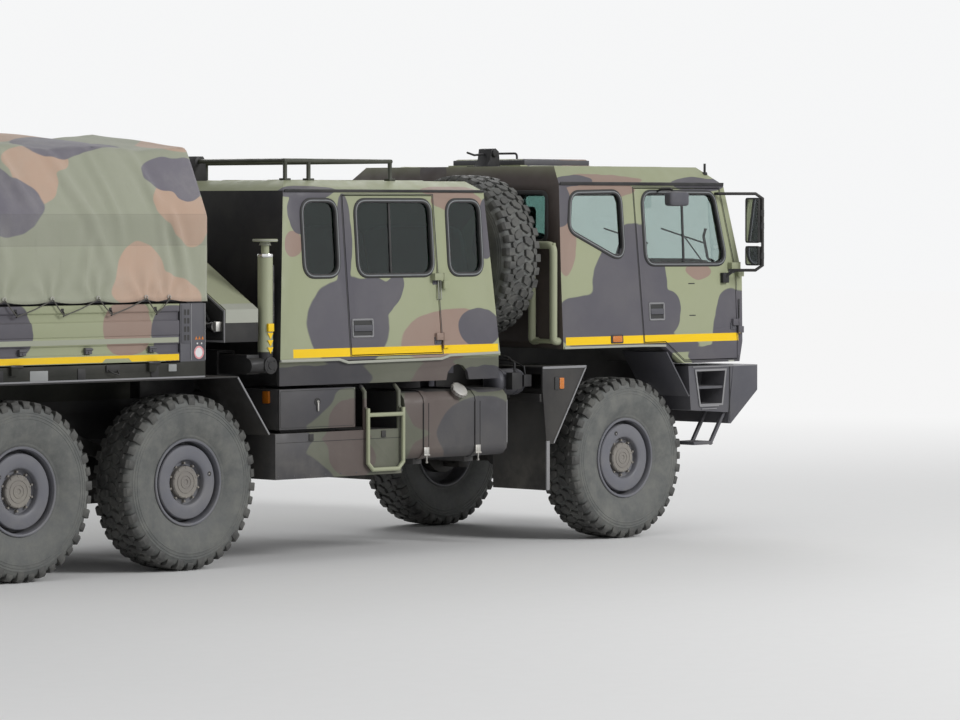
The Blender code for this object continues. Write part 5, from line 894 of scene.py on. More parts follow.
def tyre_shapes():
    """A tyre round its own middle, its axis along x: the carcass and the tread blocks."""
    profile = list(CARCASS) + [(-a, r) for a, r in reversed(CARCASS[:-1])]
    carcass = turned(profile + [profile[0]], (0, 0, 0), X_AXIS, 96)
    pitch = 2 * math.pi / PITCHES
    blocks = []
    for number in range(PITCHES):
        for side in (-1, 1):
            turn = number + (0.5 if side > 0 else 0.0)
            blocks.append(tread_block(CENTRE_BLOCK, pitch, side, turn))
            long_one = number % 2 == 0
            blocks.append(shoulder_block(SHOULDER_LONG if long_one else SHOULDER_SHORT,
                                         0.33 if long_one else 0.30, pitch, side, turn + 0.28))
            blocks.append(tread_block(INNER_BLOCK, pitch, side, turn + 0.02))
    return carcass, joined(*blocks)


# The wheel's disc from its middle out over the flange, along the barrel to the back and in again, and the hub
# cap on it. Columns: offset outwards from the middle plane, radius
RIM_PROFILE = (
    (0.080, 0.0), (0.080, 0.118), (0.088, 0.124), (0.088, 0.150), (0.092, 0.156), (0.128, 0.160),
    (0.134, 0.164), (0.138, 0.172), (0.140, 0.200), (0.139, 0.240), (0.135, 0.258), (0.128, 0.264),
    (0.030, 0.266), (0.030, 0.286), (0.120, 0.289), (0.145, 0.292), (0.152, 0.296), (0.154, 0.301),
    (0.154, 0.309), (0.150, 0.3132), (0.1415, 0.3132), (0.139, 0.3015), (0.132, 0.2995),
    (-0.132, 0.2995), (-0.139, 0.3015), (-0.1415, 0.3132), (-0.150, 0.3132), (-0.154, 0.309),
    (-0.154, 0.300), (-0.150, 0.2945), (-0.142, 0.291), (-0.100, 0.286), (-0.020, 0.282), (-0.006, 0.262),
    (0.010, 0.240), (0.016, 0.200), (-0.010, 0.180), (-0.024, 0.172), (-0.028, 0.150), (-0.028, 0.0),
)
CAP_PROFILE = ((0.070, 0.0), (0.070, 0.1165), (0.116, 0.116), (0.124, 0.108), (0.124, 0.022), (0.118, 0.016),
               (0.118, 0.0))
HUB_BOLTS = 10
BOLT_CIRCLE, CAP_SCREW_CIRCLE, VALVE_RADIUS = 0.1365, 0.106, 0.214


def rim_shapes(valve_turn):
    """A wheel round its own middle, its outer side along x: disc, cap, bolts, valve hole and valve."""
    bolts = []
    for number in range(HUB_BOLTS):
        angle = 2 * math.pi * (number + 0.5) / HUB_BOLTS
        y, z = BOLT_CIRCLE * math.cos(angle), BOLT_CIRCLE * math.sin(angle)
        bolts.append(turned([(0, 0), (0, 0.0125), (0.004, 0.0125), (0.004, 0.0095), (0.024, 0.0095),
                             (0.026, 0.008), (0.026, 0)], (0.086, y, z), X_AXIS, 6))
        y, z = CAP_SCREW_CIRCLE * math.cos(angle), CAP_SCREW_CIRCLE * math.sin(angle)
        bolts.append(turned([(0, 0), (0, 0.009), (0.007, 0.009), (0.009, 0.007), (0.009, 0)],
                            (0.1175, y, z), X_AXIS, 10))
    caps = [turned(CAP_PROFILE, (0, 0, 0), X_AXIS, 48)]
    for radius in (0.045, 0.078):
        caps.append(turned([(0, radius - 0.003), (0, radius + 0.003), (0.004, radius + 0.0015),
                            (0.004, radius - 0.0015), (0, radius - 0.003)], (0.1235, 0, 0), X_AXIS, 40))
    y, z = VALVE_RADIUS * math.cos(valve_turn), VALVE_RADIUS * math.sin(valve_turn)
    # The valve hole is a black disc: painted shade in the hole
    hole = turned([(0, 0), (0, 0.0175), (0.0025, 0.0175), (0.0025, 0.0135), (0.0010, 0.0130), (0.0010, 0)],
                  (0.1388, y, z), X_AXIS, 20)
    stem = pipe([(0.138, y, z), (0.145, y, z)], 0.0045, 8)
    return turned(RIM_PROFILE, (0, 0, 0), X_AXIS, 72), joined(*caps), joined(*bolts), hole, stem


AXLE_PLACES = (("front", 0.0, 2.03), ("middle", -4.55, 0.25), ("rear", -6.08, 2.62))
SPARE_PLACE = (-1.16, -0.57, 2.21)
TYRE_CARCASS, TYRE_BLOCKS = tyre_shapes()


def wheel(label, place, outward, valve_turn, body, turn):
    """A tyre and rim that replace their CAD nodes."""
    outward = Vector(outward)
    up = Vector(Z_AXIS)
    matrix = Matrix.Translation(Vector(place)) @ Matrix((outward, up.cross(outward), up)).transposed().to_4x4()
    spun = matrix @ Matrix.Rotation(turn, 4, "X")
    tyre = piece(f"tyre_{label}_carcass", placed(TYRE_CARCASS, spun), SIDEWALL, body, slot="tyre_rubber")
    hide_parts(f"tyre_{label}" if label != "spare" else "spare_tyre")
    piece(f"tyre_{label}_tread", placed(TYRE_BLOCKS, spun), TREAD, body, slot="tyre_rubber")
    disc_shape, caps, bolts, hole, stem = rim_shapes(valve_turn)
    rim = piece(f"rim_{label}_disc", placed(disc_shape, matrix), RIM_GREY, body, slot="rim_grey")
    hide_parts(f"rim_{label}" if label != "spare" else "spare_rim")
    piece(f"rim_{label}_cap", placed(caps, matrix), HUB_DUST, body)
    piece(f"rim_{label}_bolts", placed(bolts, matrix), HUB_DUST, body)
    # Painted shade: the valve hole drawn as a black disc
    piece(f"rim_{label}_valve_hole", placed(hole, matrix), BLACK, body)
    piece(f"rim_{label}_valve", placed(stem, matrix), STEEL, body)


for axle, x, valve in AXLE_PLACES:
    for side, flip in SIDES:
        sign = 1 if flip else -1
        wheel(f"{axle}_{side}", (x, sign * WHEEL_Y, WHEEL_Z), (0, sign, 0), valve, f"wheel_{axle}_{side}",
              0.03 + x)
wheel("spare", SPARE_PLACE, X_AXIS, 1.0, "truck", 0.05)


# Windows. Outlines are shares of a cab's side, from its rear foot

CAB_DOOR_WINDOW = ((0.451, 0.95), (0.848, 0.948), (0.912, 0.498), (0.463, 0.503))
QUARTER_WINDOW = ((0.066, 0.944), (0.330, 0.952), (0.342, 0.517), (0.051, 0.717))
CREW_DOOR_WINDOW = ((0.352, 0.94), (0.691, 0.94), (0.697, 0.50), (0.358, 0.50))
CREW_REAR_WINDOW = ((0.115, 0.94), (0.264, 0.94), (0.270, 0.50), (0.121, 0.50))
CREW_FRONT_WINDOW = ((0.770, 0.94), (0.921, 0.94), (0.927, 0.50), (0.776, 0.50))
WINDOW_RADIUS = 0.10
PANE_INSET, PANE_THICKNESS, PANE_DEPTH = -0.0125, 0.005, 0.014
# The rubber's section. Columns: outwards from the window's edge, height above the surface
RUBBER = ((-0.013, -0.026), (-0.013, 0.004), (-0.009, 0.009), (0.000, 0.0105), (0.010, 0.0105), (0.018, 0.008),
          (0.023, 0.002), (0.023, -0.002), (0.001, -0.002), (0.001, -0.026))
RUBBER_STRIP = ((-0.001, 0.0095), (0.001, 0.0125), (0.007, 0.0130), (0.009, 0.0095))


def window(name, sections, outline, body, glass_material, bars=()):
    """Rubber, a pale strip along it and a pane for one side window on both sides."""
    corners = rounded(outline, WINDOW_RADIUS, 7, closed=True)

    def place(x, z, out):
        return on_side(sections, x, z, out)

    both(f"{name}_rubber", frame_round(corners, RUBBER, place), SEAL, body)
    # A pale grey strip along the middle of the rubber
    both(f"{name}_strip", frame_round(corners, RUBBER_STRIP, place), PALE_STRIP, body)
    inner = moved_out(corners, PANE_INSET)
    both(f"{name}_pane", pane(inner, PANE_THICKNESS, place, PANE_DEPTH), glass_material, body, slot="glass")
    for number, x in enumerate(bars):
        low = min(z for _, z in outline) + 0.006
        high = max(z for _, z in outline) - 0.006
        own = [(x - 0.010, low), (x + 0.010, low), (x + 0.010, high), (x - 0.010, high)]
        bar = skin([[place(u, v, h) for u, v in own] for h in (-0.020, -0.006)])
        both(f"{name}_bar_{number}", bar, SEAL, body, bevel=0.003)


for label, sections, shares, start, size, body, material, bars in (
        ("cab_door_window", CAB_SECTIONS, CAB_DOOR_WINDOW, CAB_START, CAB_SIZE, "cab_door_{}", GLASS, (0.615,)),
        ("quarter_window", CAB_SECTIONS, QUARTER_WINDOW, CAB_START, CAB_SIZE, "truck", GLASS, ()),
        ("crew_door_window", CREW_SECTIONS, CREW_DOOR_WINDOW, CREW_START, CREW_SIZE, "crew_door_{}", DARK_GLASS,
         (-2.60,)),
        ("crew_rear_window", CREW_SECTIONS, CREW_REAR_WINDOW, CREW_START, CREW_SIZE, "truck", DARK_GLASS, ()),
        ("crew_front_window", CREW_SECTIONS, CREW_FRONT_WINDOW, CREW_START, CREW_SIZE, "truck", DARK_GLASS,
         ())):
    window(label, sections, from_shares(shares, start, size), body, material, bars)


# Tarpaulin

TARP_REAR_X, TARP_FRONT_X = -7.755, -4.458
TARP_HEM_Z = 1.921
TARP_GRID = (150, 132)
# The sheet's section from the right hem over the top to the left hem. Columns: y, z
TARP_PATH = ((-1.262, TARP_HEM_Z), (-1.262, 2.53), (-1.034, 3.034), (0.0, 3.128),
             (1.034, 3.034), (1.262, 2.53), (1.262, TARP_HEM_Z))
BOW_XS = tuple(TARP_REAR_X + 0.02 + (TARP_FRONT_X - TARP_REAR_X - 0.04) * k / 4 for k in range(5))
LACE_XS = (-4.821, -5.035, -5.474, -5.887, -6.310, -6.740, -7.170, -7.600)
HOOK_XS = (-4.942, -5.356, -5.789, -6.205, -6.630, -7.060, -7.490)
# How deep the cloth sinks between two bows
TOP_SAG, SLOPE_SAG, WALL_SAG = 0.036, 0.012, 0.004
# Folds on the right side. Columns: top x, top z, foot x, foot z, width, depth
SIDE_FOLDS = (
    (-5.75, 3.00, -5.30, 2.05, 0.050, 0.016), (-5.40, 3.00, -5.22, 2.30, 0.040, 0.012),
    (-5.02, 3.02, -4.66, 2.20, 0.045, 0.014), (-4.92, 2.75, -4.78, 2.00, 0.040, 0.012),
    (-4.78, 2.60, -4.62, 1.95, 0.045, 0.014), (-6.20, 2.98, -6.02, 2.55, 0.045, 0.015),
    (-6.60, 3.00, -6.25, 2.10, 0.050, 0.014), (-7.10, 3.00, -6.85, 2.15, 0.050, 0.012),
    (-7.55, 2.95, -7.25, 2.05, 0.050, 0.014), (-5.52, 2.40, -5.62, 1.98, 0.040, 0.010),
)


def point_at(path, share):
    """A point along a section."""
    lengths = [(Vector(b) - Vector(a)).length for a, b in zip(path, path[1:])]
    left = max(0.0, min(1.0, share)) * sum(lengths)
    for (a, b), length in zip(zip(path, path[1:]), lengths):
        if left <= length:
            return Vector(a).lerp(Vector(b), left / length)
        left -= length
    return Vector(path[-1])


def path_at(path, share):
    """A point along a section and the direction out of it, turned smoothly round the corners."""
    ahead = (point_at(path, share + 0.008) - point_at(path, share - 0.008)).normalized()
    return point_at(path, share), Vector((-ahead.y, ahead.x))


def fold_height(x, z, folds):
    """How far the folds push the cloth in or out at a point of the side."""
    total = 0.0
    for top_x, top_z, foot_x, foot_z, width, depth in folds:
        top, foot = Vector((top_x, top_z)), Vector((foot_x, foot_z))
        line = foot - top
        along = max(0.0, min(1.0, (Vector((x, z)) - top).dot(line) / line.length_squared))
        near = top + line * along
        away = (x - near.x) * (1 if line.y < 0 else -1)
        beyond = (Vector((x, z)) - near).length
        ease = math.sin(math.pi * min(1.0, 0.12 + along * 0.88)) ** 0.6
        total += depth * ease * math.exp(-(beyond / width) ** 2) * (1 if away > 0 else 0.9)
        total -= 0.6 * depth * ease * math.exp(-((beyond - width * 1.6) / width) ** 2)
    return total


def tarp_sheet():
    """The cover's sides, slopes and top as one sheet, with its front wall."""
    path = rounded([(y, z, 0) for y, z in TARP_PATH], 0.09, 5)
    path = [(p[0], p[1]) for p in path]
    columns, rows = TARP_GRID
    rings = []
    for row in range(rows + 1):
        share = row / rows
        spot, out = path_at(path, share)
        ring = []
        for column in range(columns + 1):
            x = TARP_REAR_X + (TARP_FRONT_X - TARP_REAR_X) * column / columns
            nearest = min(abs(x - bow) for bow in BOW_XS)
            span = min(1.0, nearest / 0.40)
            top = max(0.0, min(1.0, (spot.y - 2.95) / 0.1))
            slope = max(0.0, min(1.0, (spot.y - 2.50) / 0.08)) * (1 - top)
            wall = 1 - top - slope
            sag = TOP_SAG * span ** 1.4 * top + SLOPE_SAG * span ** 1.2 * slope + WALL_SAG * span * wall
            side_x = x if spot.x < 0 else -12.2 - x
            folds = fold_height(side_x, spot.y, SIDE_FOLDS) * (1 - top)
            lace = 0.0
            for lace_x in LACE_XS:
                dx, dz = x - lace_x, spot.y - TARP_HEM_Z
                reach = math.hypot(dx, dz)
                if reach < 0.5:
                    spread = math.atan2(dx, dz + 0.03)
                    lace += 0.010 * math.cos(spread * 9.0) * math.exp(-((reach - 0.10) / 0.14) ** 2)
            ripple = noise.noise(Vector((x * 1.6, spot.x * 1.6, spot.y * 1.9))) * 0.016
            ripple += noise.noise(Vector((x * 5.5 + 9, spot.x * 4, spot.y * 3.0))) * 0.006
            ripple += 0.004 * math.sin(x * 11 + 4 * noise.noise(Vector((x, spot.y * 2, 3)))) * top
            inward = sag + max(-0.004, 0.012 - folds - lace * wall - ripple)
            hem = max(0.0, 1 - (spot.y - TARP_HEM_Z) / 0.05)
            inward = inward * (1 - hem) + hem * 0.004
            point = spot - out * inward
            z = point.y
            if wall > 0.5:
                phase = min(abs(x - lace_x) for lace_x in LACE_XS) / 0.21
                z += 0.020 * (1 - min(1.0, phase)) ** 2 * max(0.0, 1 - (spot.y - TARP_HEM_Z) / 0.25)
            ring.append((x, point.x, z))
        rings.append(ring)
    points = [p for ring in rings for p in ring]
    width = columns + 1
    faces = []
    for row in range(rows):
        for column in range(columns):
            a = row * width + column
            faces.append((a, a + 1, a + width + 1, a + width))
    front = [row * width + columns for row in range(rows + 1)]
    half = rows // 2
    inner_start = len(points)
    levels = 14
    for row in range(half + 1):
        left, right = Vector(points[front[row]]), Vector(points[front[rows - row]])
        for level in range(1, levels):
            spot = left.lerp(right, level / levels)
            push = noise.noise(Vector((3, spot.y * 2.2, spot.z * 1.6))) * 0.014 - 0.012
            edge = min(1.0, min(level, levels - level) / 2, row / 3 + 0.1)
            points.append((spot.x + push * edge, spot.y, spot.z))
    for row in range(half):
        for level in range(levels):
            def corner(r, c):
                if c == 0:
                    return front[r]
                if c == levels:
                    return front[rows - r]
                return inner_start + r * (levels - 1) + c - 1
            add_face(faces, (corner(row, level), corner(row, level + 1), corner(row + 1, level + 1),
                             corner(row + 1, level)))
    return points, faces


TARP_THICKNESS = 0.0025
tarp = piece("tarpaulin_cover", tarp_sheet(), CANVAS, slot="canvas")
for modifier in list(tarp.modifiers):
    tarp.modifiers.remove(modifier)
for polygon in tarp.data.polygons:
    polygon.use_smooth = True
thick = tarp.modifiers.new("thickness", "SOLIDIFY")
thick.thickness = TARP_THICKNESS
thick.offset = -1
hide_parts("tarpaulin")


# Helpers for trim

def side_bar(path, width, low, high, place):
    """A flat bar along a path on a surface, between two heights above it."""
    rings = []
    for i, (u, v) in enumerate(path):
        ahead = (Vector(path[min(i + 1, len(path) - 1)]) - Vector(path[max(i - 1, 0)])).normalized()
        across = Vector((-ahead.y, ahead.x)) * width / 2
        rings.append([place(u + s * across.x, v + s * across.y, h)
                      for s, h in ((-1, low), (1, low), (1, high), (-1, high))])
    return skin(rings)


def plate(outline, low, high, place):
    """A flat plate with an outline on a surface, between two heights above it."""
    return skin([[place(u, v, h) for u, v in outline] for h in (low, high)])


def oblong(low, high, radius=0.0, steps=4):
    """A rectangle's outline with rounded corners."""
    corners = [(low[0], low[1]), (high[0], low[1]), (high[0], high[1]), (low[0], high[1])]
    return rounded(corners, radius, steps, closed=True) if radius else corners


# Each of these turns two flat coordinates and a height above the surface into a point

def at_side(y):
    return lambda u, v, h: (u, -y - h, v)


BODY_SIDE = at_side(1.25)


def facing_back(x):
    return lambda u, v, h: (x - h, u, v)


def on_top(z):
    return lambda u, v, h: (u, v, z + h)


def cab_side(x, z, out):
    return on_side(CAB_SECTIONS, x, z, out)


def crew_side(x, z, out):
    return on_side(CREW_SECTIONS, x, z, out)


def cab_front(y, z, out):
    return section(CAB_SECTIONS, z, 2) + out, y, z


def cab_rear(y, z, out):
    return section(CAB_SECTIONS, z, 1) - out, y, z


def bolt_heads(places, normal, radius=0.009, height=0.007):
    """Hexagon heads on a face."""
    return joined(*[turned([(-0.002, 0), (-0.002, radius * 1.25), (0.0015, radius * 1.25), (0.0015, radius),
                            (height * 0.8, radius), (height, radius * 0.8), (height, 0)], place, normal, 6)
                    for place in places])


def loop_ring(centre, axis, radius, thickness, steps=20, sides=8):
    """A closed round ring."""
    axis = Vector(axis).normalized()
    side = axis.orthogonal().normalized()
    other = axis.cross(side)
    rings = []
    for k in range(steps):
        angle = 2 * math.pi * k / steps
        away = side * math.cos(angle) + other * math.sin(angle)
        spot = Vector(centre) + away * radius
        rings.append([tuple(spot + away * thickness * math.cos(2 * math.pi * m / sides)
                            + axis * thickness * math.sin(2 * math.pi * m / sides)) for m in range(sides)])
    return skin(rings, closed=True)


# Seats and benches

# The power of the cushions' rounded outline, the steps round their piping and the piping's radius
SQUARENESS, PIPING_STEPS, PIPING_RADIUS = 6, 64, 0.0035


def pillow(low, high, face, channels=(), steps=16, crown=0.30, pull=0.035, channel_axis=0):
    """A crowned cushion inside a box, with its sides pulled in between the corners and sewn channels across.

    face is the index of the axis that the crowned side looks along."""
    middle = (Vector(low) + Vector(high)) / 2
    half = (Vector(high) - Vector(low)) / 2
    first, second = [i for i in range(3) if i != face]
    points, faces, known = [], [], {}

    def shaped(a, b, c):
        length = (abs(a) ** SQUARENESS + abs(b) ** SQUARENESS + abs(c) ** SQUARENESS) ** (1 / SQUARENESS)
        a, b, c = a / length, b / length, c / length
        a, b = a * (1 - pull * (1 - b * b)), b * (1 - pull * (1 - a * a))
        c *= (1 - crown) + crown * (1 - a ** 4) * (1 - b ** 4)
        run = a if channel_axis == 0 else b
        for spot in channels:
            c -= (0.10 if c > 0 else -0.10) * abs(c) * math.exp(-((run - spot) / 0.035) ** 2)
        c += 0.02 * noise.noise(Vector((a * 2.3, b * 2.3, middle.length)))
        spot = [0.0, 0.0, 0.0]
        spot[first] = middle[first] + a * half[first]
        spot[second] = middle[second] + b * half[second]
        spot[face] = middle[face] + max(-1.0, min(1.0, c)) * half[face]
        return tuple(spot)

    def corner(a, b, c):
        key = (round(a, 5), round(b, 5), round(c, 5))
        if key not in known:
            known[key] = len(points)
            points.append(shaped(a, b, c))
        return known[key]

    for axis in range(3):
        for level in (-1, 1):
            for i in range(steps):
                for j in range(steps):
                    quad = []
                    for di, dj in ((0, 0), (1, 0), (1, 1), (0, 1)):
                        pair = [-1 + 2 * (i + di) / steps, -1 + 2 * (j + dj) / steps]
                        pair.insert(axis, level)
                        quad.append(corner(*pair))
                    faces.append(tuple(quad))
    line = []
    for k in range(PIPING_STEPS):
        angle = 2 * math.pi * k / PIPING_STEPS
        across, along = math.cos(angle), math.sin(angle)
        scale = 1 / (abs(across) ** SQUARENESS + abs(along) ** SQUARENESS) ** (1 / SQUARENESS)
        line.append(Vector(shaped(across * scale, along * scale, 0.55)))
    seam = []
    for i in range(PIPING_STEPS):
        ahead = (line[(i + 1) % PIPING_STEPS] - line[i - 1]).normalized()
        side = ahead.orthogonal().normalized()
        other = ahead.cross(side)
        turns = [m * math.pi / 3 for m in range(6)]
        seam.append([tuple(line[i] + (side * math.cos(turn) + other * math.sin(turn)) * PIPING_RADIUS)
                     for turn in turns])
    return (points, faces), skin(seam, closed=True)


def leaned(shape, foot, lean):
    """A shape drawn upright round the origin, leaned over and set on its foot."""
    return placed(shape, Matrix.Translation(Vector(foot)) @ Matrix.Rotation(lean, 4, "Y"))


def cushion(name, shapes, node, lean=None):
    """A padded piece and its seam piping on both sides of the truck."""
    body_shape, seam = shapes
    if lean:
        body_shape, seam = leaned(body_shape, *lean), leaned(seam, *lean)
    for item in both(name, body_shape, SEAT_CLOTH, slot="seat_cloth"):
        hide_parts(node)
    both(f"{name}_piping", seam, SEAL)


SEAT_LEAN = -math.atan2(0.165, 0.64)
seat_base = piece("cab_seat_base", joined(*[box((-0.465, low_y, 1.562), (0.045, high_y, 1.758))
                                            for low_y, high_y in ((-0.785, -0.285), (0.285, 0.785))],
                                          box((-0.40, -0.285, 1.562), (0.00, 0.285, 1.69))),
                  GREY, bevel=0.012, segments=3)
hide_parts("cab_seats")
cushion("seat_cushion", pillow((-0.42, -0.79, 1.762), (0.10, -0.29, 1.938), 2, (-0.45, 0.45), channel_axis=1),
        "cab_seats")
cushion("seat_back", pillow((-0.064, -0.79, 0.012), (0.064, -0.29, 0.655), 0, (-0.45, 0.45)), "cab_seats",
        ((-0.355, 0, 1.76), SEAT_LEAN))
cushion("headrest", pillow((-0.050, -0.665, 0.0), (0.050, -0.415, 0.185), 0), "cab_seats",
        ((-0.520, 0, 2.412), 0.0))
bench_base = piece("bench_bases", joined(*[box((low_x, -1.095, 1.534), (high_x, 1.095, 1.828))
                                           for low_x, high_x in ((-3.634, -3.176), (-2.066, -1.608))]),
                   GREY, bevel=0.012, segments=3)
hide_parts("crew_benches")
for label, low_x, high_x, foot_x, lean in (("rear", -3.634, -3.160, -3.586, 0.194),
                                           ("front", -2.082, -1.608, -1.656, -0.194)):
    cushion(f"bench_seat_{label}", pillow((low_x, -1.095, 1.83), (high_x, -0.012, 1.948), 2,
                                          (-0.33, 0.33), channel_axis=1), "crew_benches")
    cushion(f"bench_back_{label}", pillow((-0.048, -1.095, 0.008), (0.048, -0.012, 0.515), 0, (-0.33, 0.33)),
            "crew_benches", ((foot_x, 0, 1.95), lean))


# Cab trim

SCREEN = oblong((-1.06, 2.09), (1.06, 2.70), 0.07, 5)
REAR_PANE = oblong((-1.06, 2.33), (-0.45, 2.70), 0.06, 5)
piece("windscreen_rubber", frame_round(SCREEN, RUBBER, cab_front), SEAL)
both("cab_rear_window_rubber", frame_round(REAR_PANE, RUBBER, cab_rear), SEAL)
both("cab_rear_window_pane", pane(moved_out(REAR_PANE, PANE_INSET), PANE_THICKNESS, cab_rear, PANE_DEPTH),
     DARK_GLASS, slot="glass")


def wiper(y):
    """A wiper with its pivot, arm and blade, parked on the windscreen."""
    foot = Vector(cab_front(y, 2.045, 0.006))
    knee = Vector(cab_front(y + 0.05, 2.12, 0.040))
    tip = Vector(cab_front(y + 0.22, 2.36, 0.032))
    arm = pipe([foot, knee, tip], 0.006, 8)
    cap = turned([(0, 0), (0, 0.022), (0.022, 0.019), (0.026, 0.012), (0.026, 0)], foot, (1, 0, 0.25), 20)
    ends = [Vector(cab_front(y - 0.02, 2.30, 0.016)), Vector(cab_front(y + 0.44, 2.42, 0.016))]
    blade = pipe([ends[0], ends[0].lerp(ends[1], 0.5), ends[1]], 0.0075, 6)
    holder = pipe([ends[0].lerp(ends[1], 0.25) + Vector((0.010, 0, 0)), tip,
                   ends[0].lerp(ends[1], 0.75) + Vector((0.010, 0, 0))], 0.004, 6)
    return joined(arm, cap, blade, holder)


piece("wipers", joined(wiper(-0.86), wiper(-0.22), wiper(0.42)), BLACK)

both("cab_drip_rail", skin([[(x, -1.183, 2.762), (x, -1.203, 2.762), (x, -1.206, 2.785), (x, -1.200, 2.788),
                             (x, -1.196, 2.772), (x, -1.183, 2.772)] for x in (-0.785, 1.09)]), BLACK,
     bevel=0.0015)
both("crew_drip_rail", skin([[(x, -1.183, 2.700), (x, -1.200, 2.700), (x, -1.203, 2.718), (x, -1.197, 2.721),
                              (x, -1.193, 2.710), (x, -1.183, 2.710)] for x in (-3.660, -1.618)]),
     BLACK, bevel=0.0015)
both("crew_sill_ledge", side_bar([(-3.75, 1.476), (-3.17, 1.476), (-3.12, 1.462), (-3.08, 1.452),
                                  (-2.12, 1.458), (-2.07, 1.470), (-2.03, 1.482), (-1.50, 1.490)],
                                 0.020, -0.010, 0.012, BODY_SIDE), LEDGE, bevel=0.004)
both("cab_sill_ledge", side_bar([(-0.79, 1.508), (0.10, 1.508), (0.36, 1.503)], 0.018, -0.010, 0.010,
                                BODY_SIDE), LEDGE, bevel=0.004)
both("nose_seam", side_bar([(1.232, 1.385), (1.232, 1.86)], 0.009, -0.002, 0.0025, at_side(1.246)), SEAL)
both("nose_panel", plate(oblong((1.10, 1.36), (1.165, 1.372)), -0.002, 0.003, BODY_SIDE), LEDGE)


def handle(low, high, place):
    """A door handle: rim, dark pan and a grey paddle bar across it."""
    outline = oblong(low, high, 0.016)
    centre_v = (low[1] + high[1]) / 2
    width = high[0] - low[0]
    rim = frame_round(outline, ((-0.012, -0.002), (-0.012, 0.004), (-0.007, 0.008), (0.0, 0.008),
                                (0.003, 0.004), (0.003, -0.002)), place)
    pan = plate(moved_out(outline, -0.010), -0.002, 0.002, place)
    bar = plate(oblong((low[0] + 0.012, centre_v - 0.022), (high[0] - 0.012, centre_v + 0.022), 0.008),
                0.0, 0.012, place)
    screw = bolt_heads([place(low[0] + width * share, centre_v + rise, 0.0075)
                        for share in (0.1, 0.9) for rise in (-0.052, 0.052)], OUTWARD, 0.003, 0.002)
    return rim, pan, joined(bar, screw)


for label, low, high, place, body in (("crew_door_handle", (-3.025, 1.634), (-2.812, 1.768), crew_side,
                                       "crew_door_{}"),
                                      ("cab_door_handle", (0.182, 1.705), (0.356, 1.842), cab_side,
                                       "cab_door_{}")):
    rim, pan, bar = handle(low, high, place)
    both(f"{label}_rim", rim, EDGE, body)
    both(f"{label}_pan", pan, SEAL, body)
    both(f"{label}_bar", bar, GREY, body, bevel=0.002)
both("crew_door_grip", joined(*[pipe([crew_side(x, 1.897, 0.0), crew_side(x, 1.905, 0.016),
                                      crew_side(x, 2.045, 0.016), crew_side(x, 2.053, 0.0)], 0.005, 8)
                                for x in (-2.138, -2.112)]), LEDGE, "crew_door_{}")
both("cab_door_slits", joined(*[plate(oblong((0.648, z), (0.722, z + 0.008), 0.003), -0.002, 0.0012, cab_side)
                                for z in (1.732, 1.984)]), BLACK, "cab_door_{}")
both("side_marker_base", plate(oblong((-0.266, 1.532), (-0.128, 1.600), 0.010), -0.002, 0.005, cab_side), SEAL,
     bevel=0.002)
both("side_marker", plate(oblong((-0.250, 1.542), (-0.144, 1.590), 0.008), 0.004, 0.010, cab_side), AMBER,
     bevel=0.002)


def door_hinge(x, z, place):
    """A leaf with three bolts beside a hinge barrel that the CAD already has."""
    leaf = plate(oblong((x - 0.085, z - 0.028), (x - 0.018, z + 0.028), 0.006), -0.001, 0.005, place)
    heads = bolt_heads([place(x - 0.066, z - 0.014, 0.005), place(x - 0.066, z + 0.014, 0.005),
                        place(x - 0.038, z, 0.005)], OUTWARD, 0.006, 0.005)
    return joined(leaf, heads)


for label, hinge_x, foot_z, rise, place in (("cab", 1.2146, CAB_START[1], CAB_SIZE[1], cab_side),
                                            ("crew", -2.0985, CREW_START[1], CREW_SIZE[1], crew_side)):
    both(f"{label}_door_hinge_leaves", joined(*[door_hinge(hinge_x, foot_z + rise * share, place)
                                                for share in (0.10, 0.46)]), GREY, label + "_door_{}")

# The doors' outlines, drawn as thin dark rubber seams
CAB_DOOR = ((0.404, 0.978), (0.439, 0.008), (0.556, 0.008), (0.662, -0.112), (0.962, -0.112), (0.962, 0.44),
            (0.882, 0.978))
CREW_DOOR = ((0.294, 0.975), (0.314, 0.024), (0.729, 0.024), (0.704, 0.975))
SEAM_PROFILE = ((0.004, -0.004), (0.004, 0.0015), (0.0105, 0.0015), (0.0105, -0.004))
both("cab_door_seam", frame_round(from_shares(CAB_DOOR, CAB_START, CAB_SIZE), SEAM_PROFILE, cab_side), SEAL)
both("crew_door_seam", frame_round(from_shares(CREW_DOOR, CREW_START, CREW_SIZE), SEAM_PROFILE, crew_side), SEAL)

both("dash_hood", skin([[(0.90, y, 2.035), (0.885, y, 2.12), (0.93, y, 2.185), (1.13, y, 2.165),
                         (1.15, y, 2.035)] for y in (-1.02, -0.02)]), SEAL, bevel=0.02)
both("pillar_handle", pipe(rounded([(1.02, -1.165, 2.16), (1.00, -1.115, 2.18), (0.96, -1.105, 2.36),
                                    (0.94, -1.145, 2.42)], 0.03, 4), 0.011, 10), SEAL, "cab_door_{}")

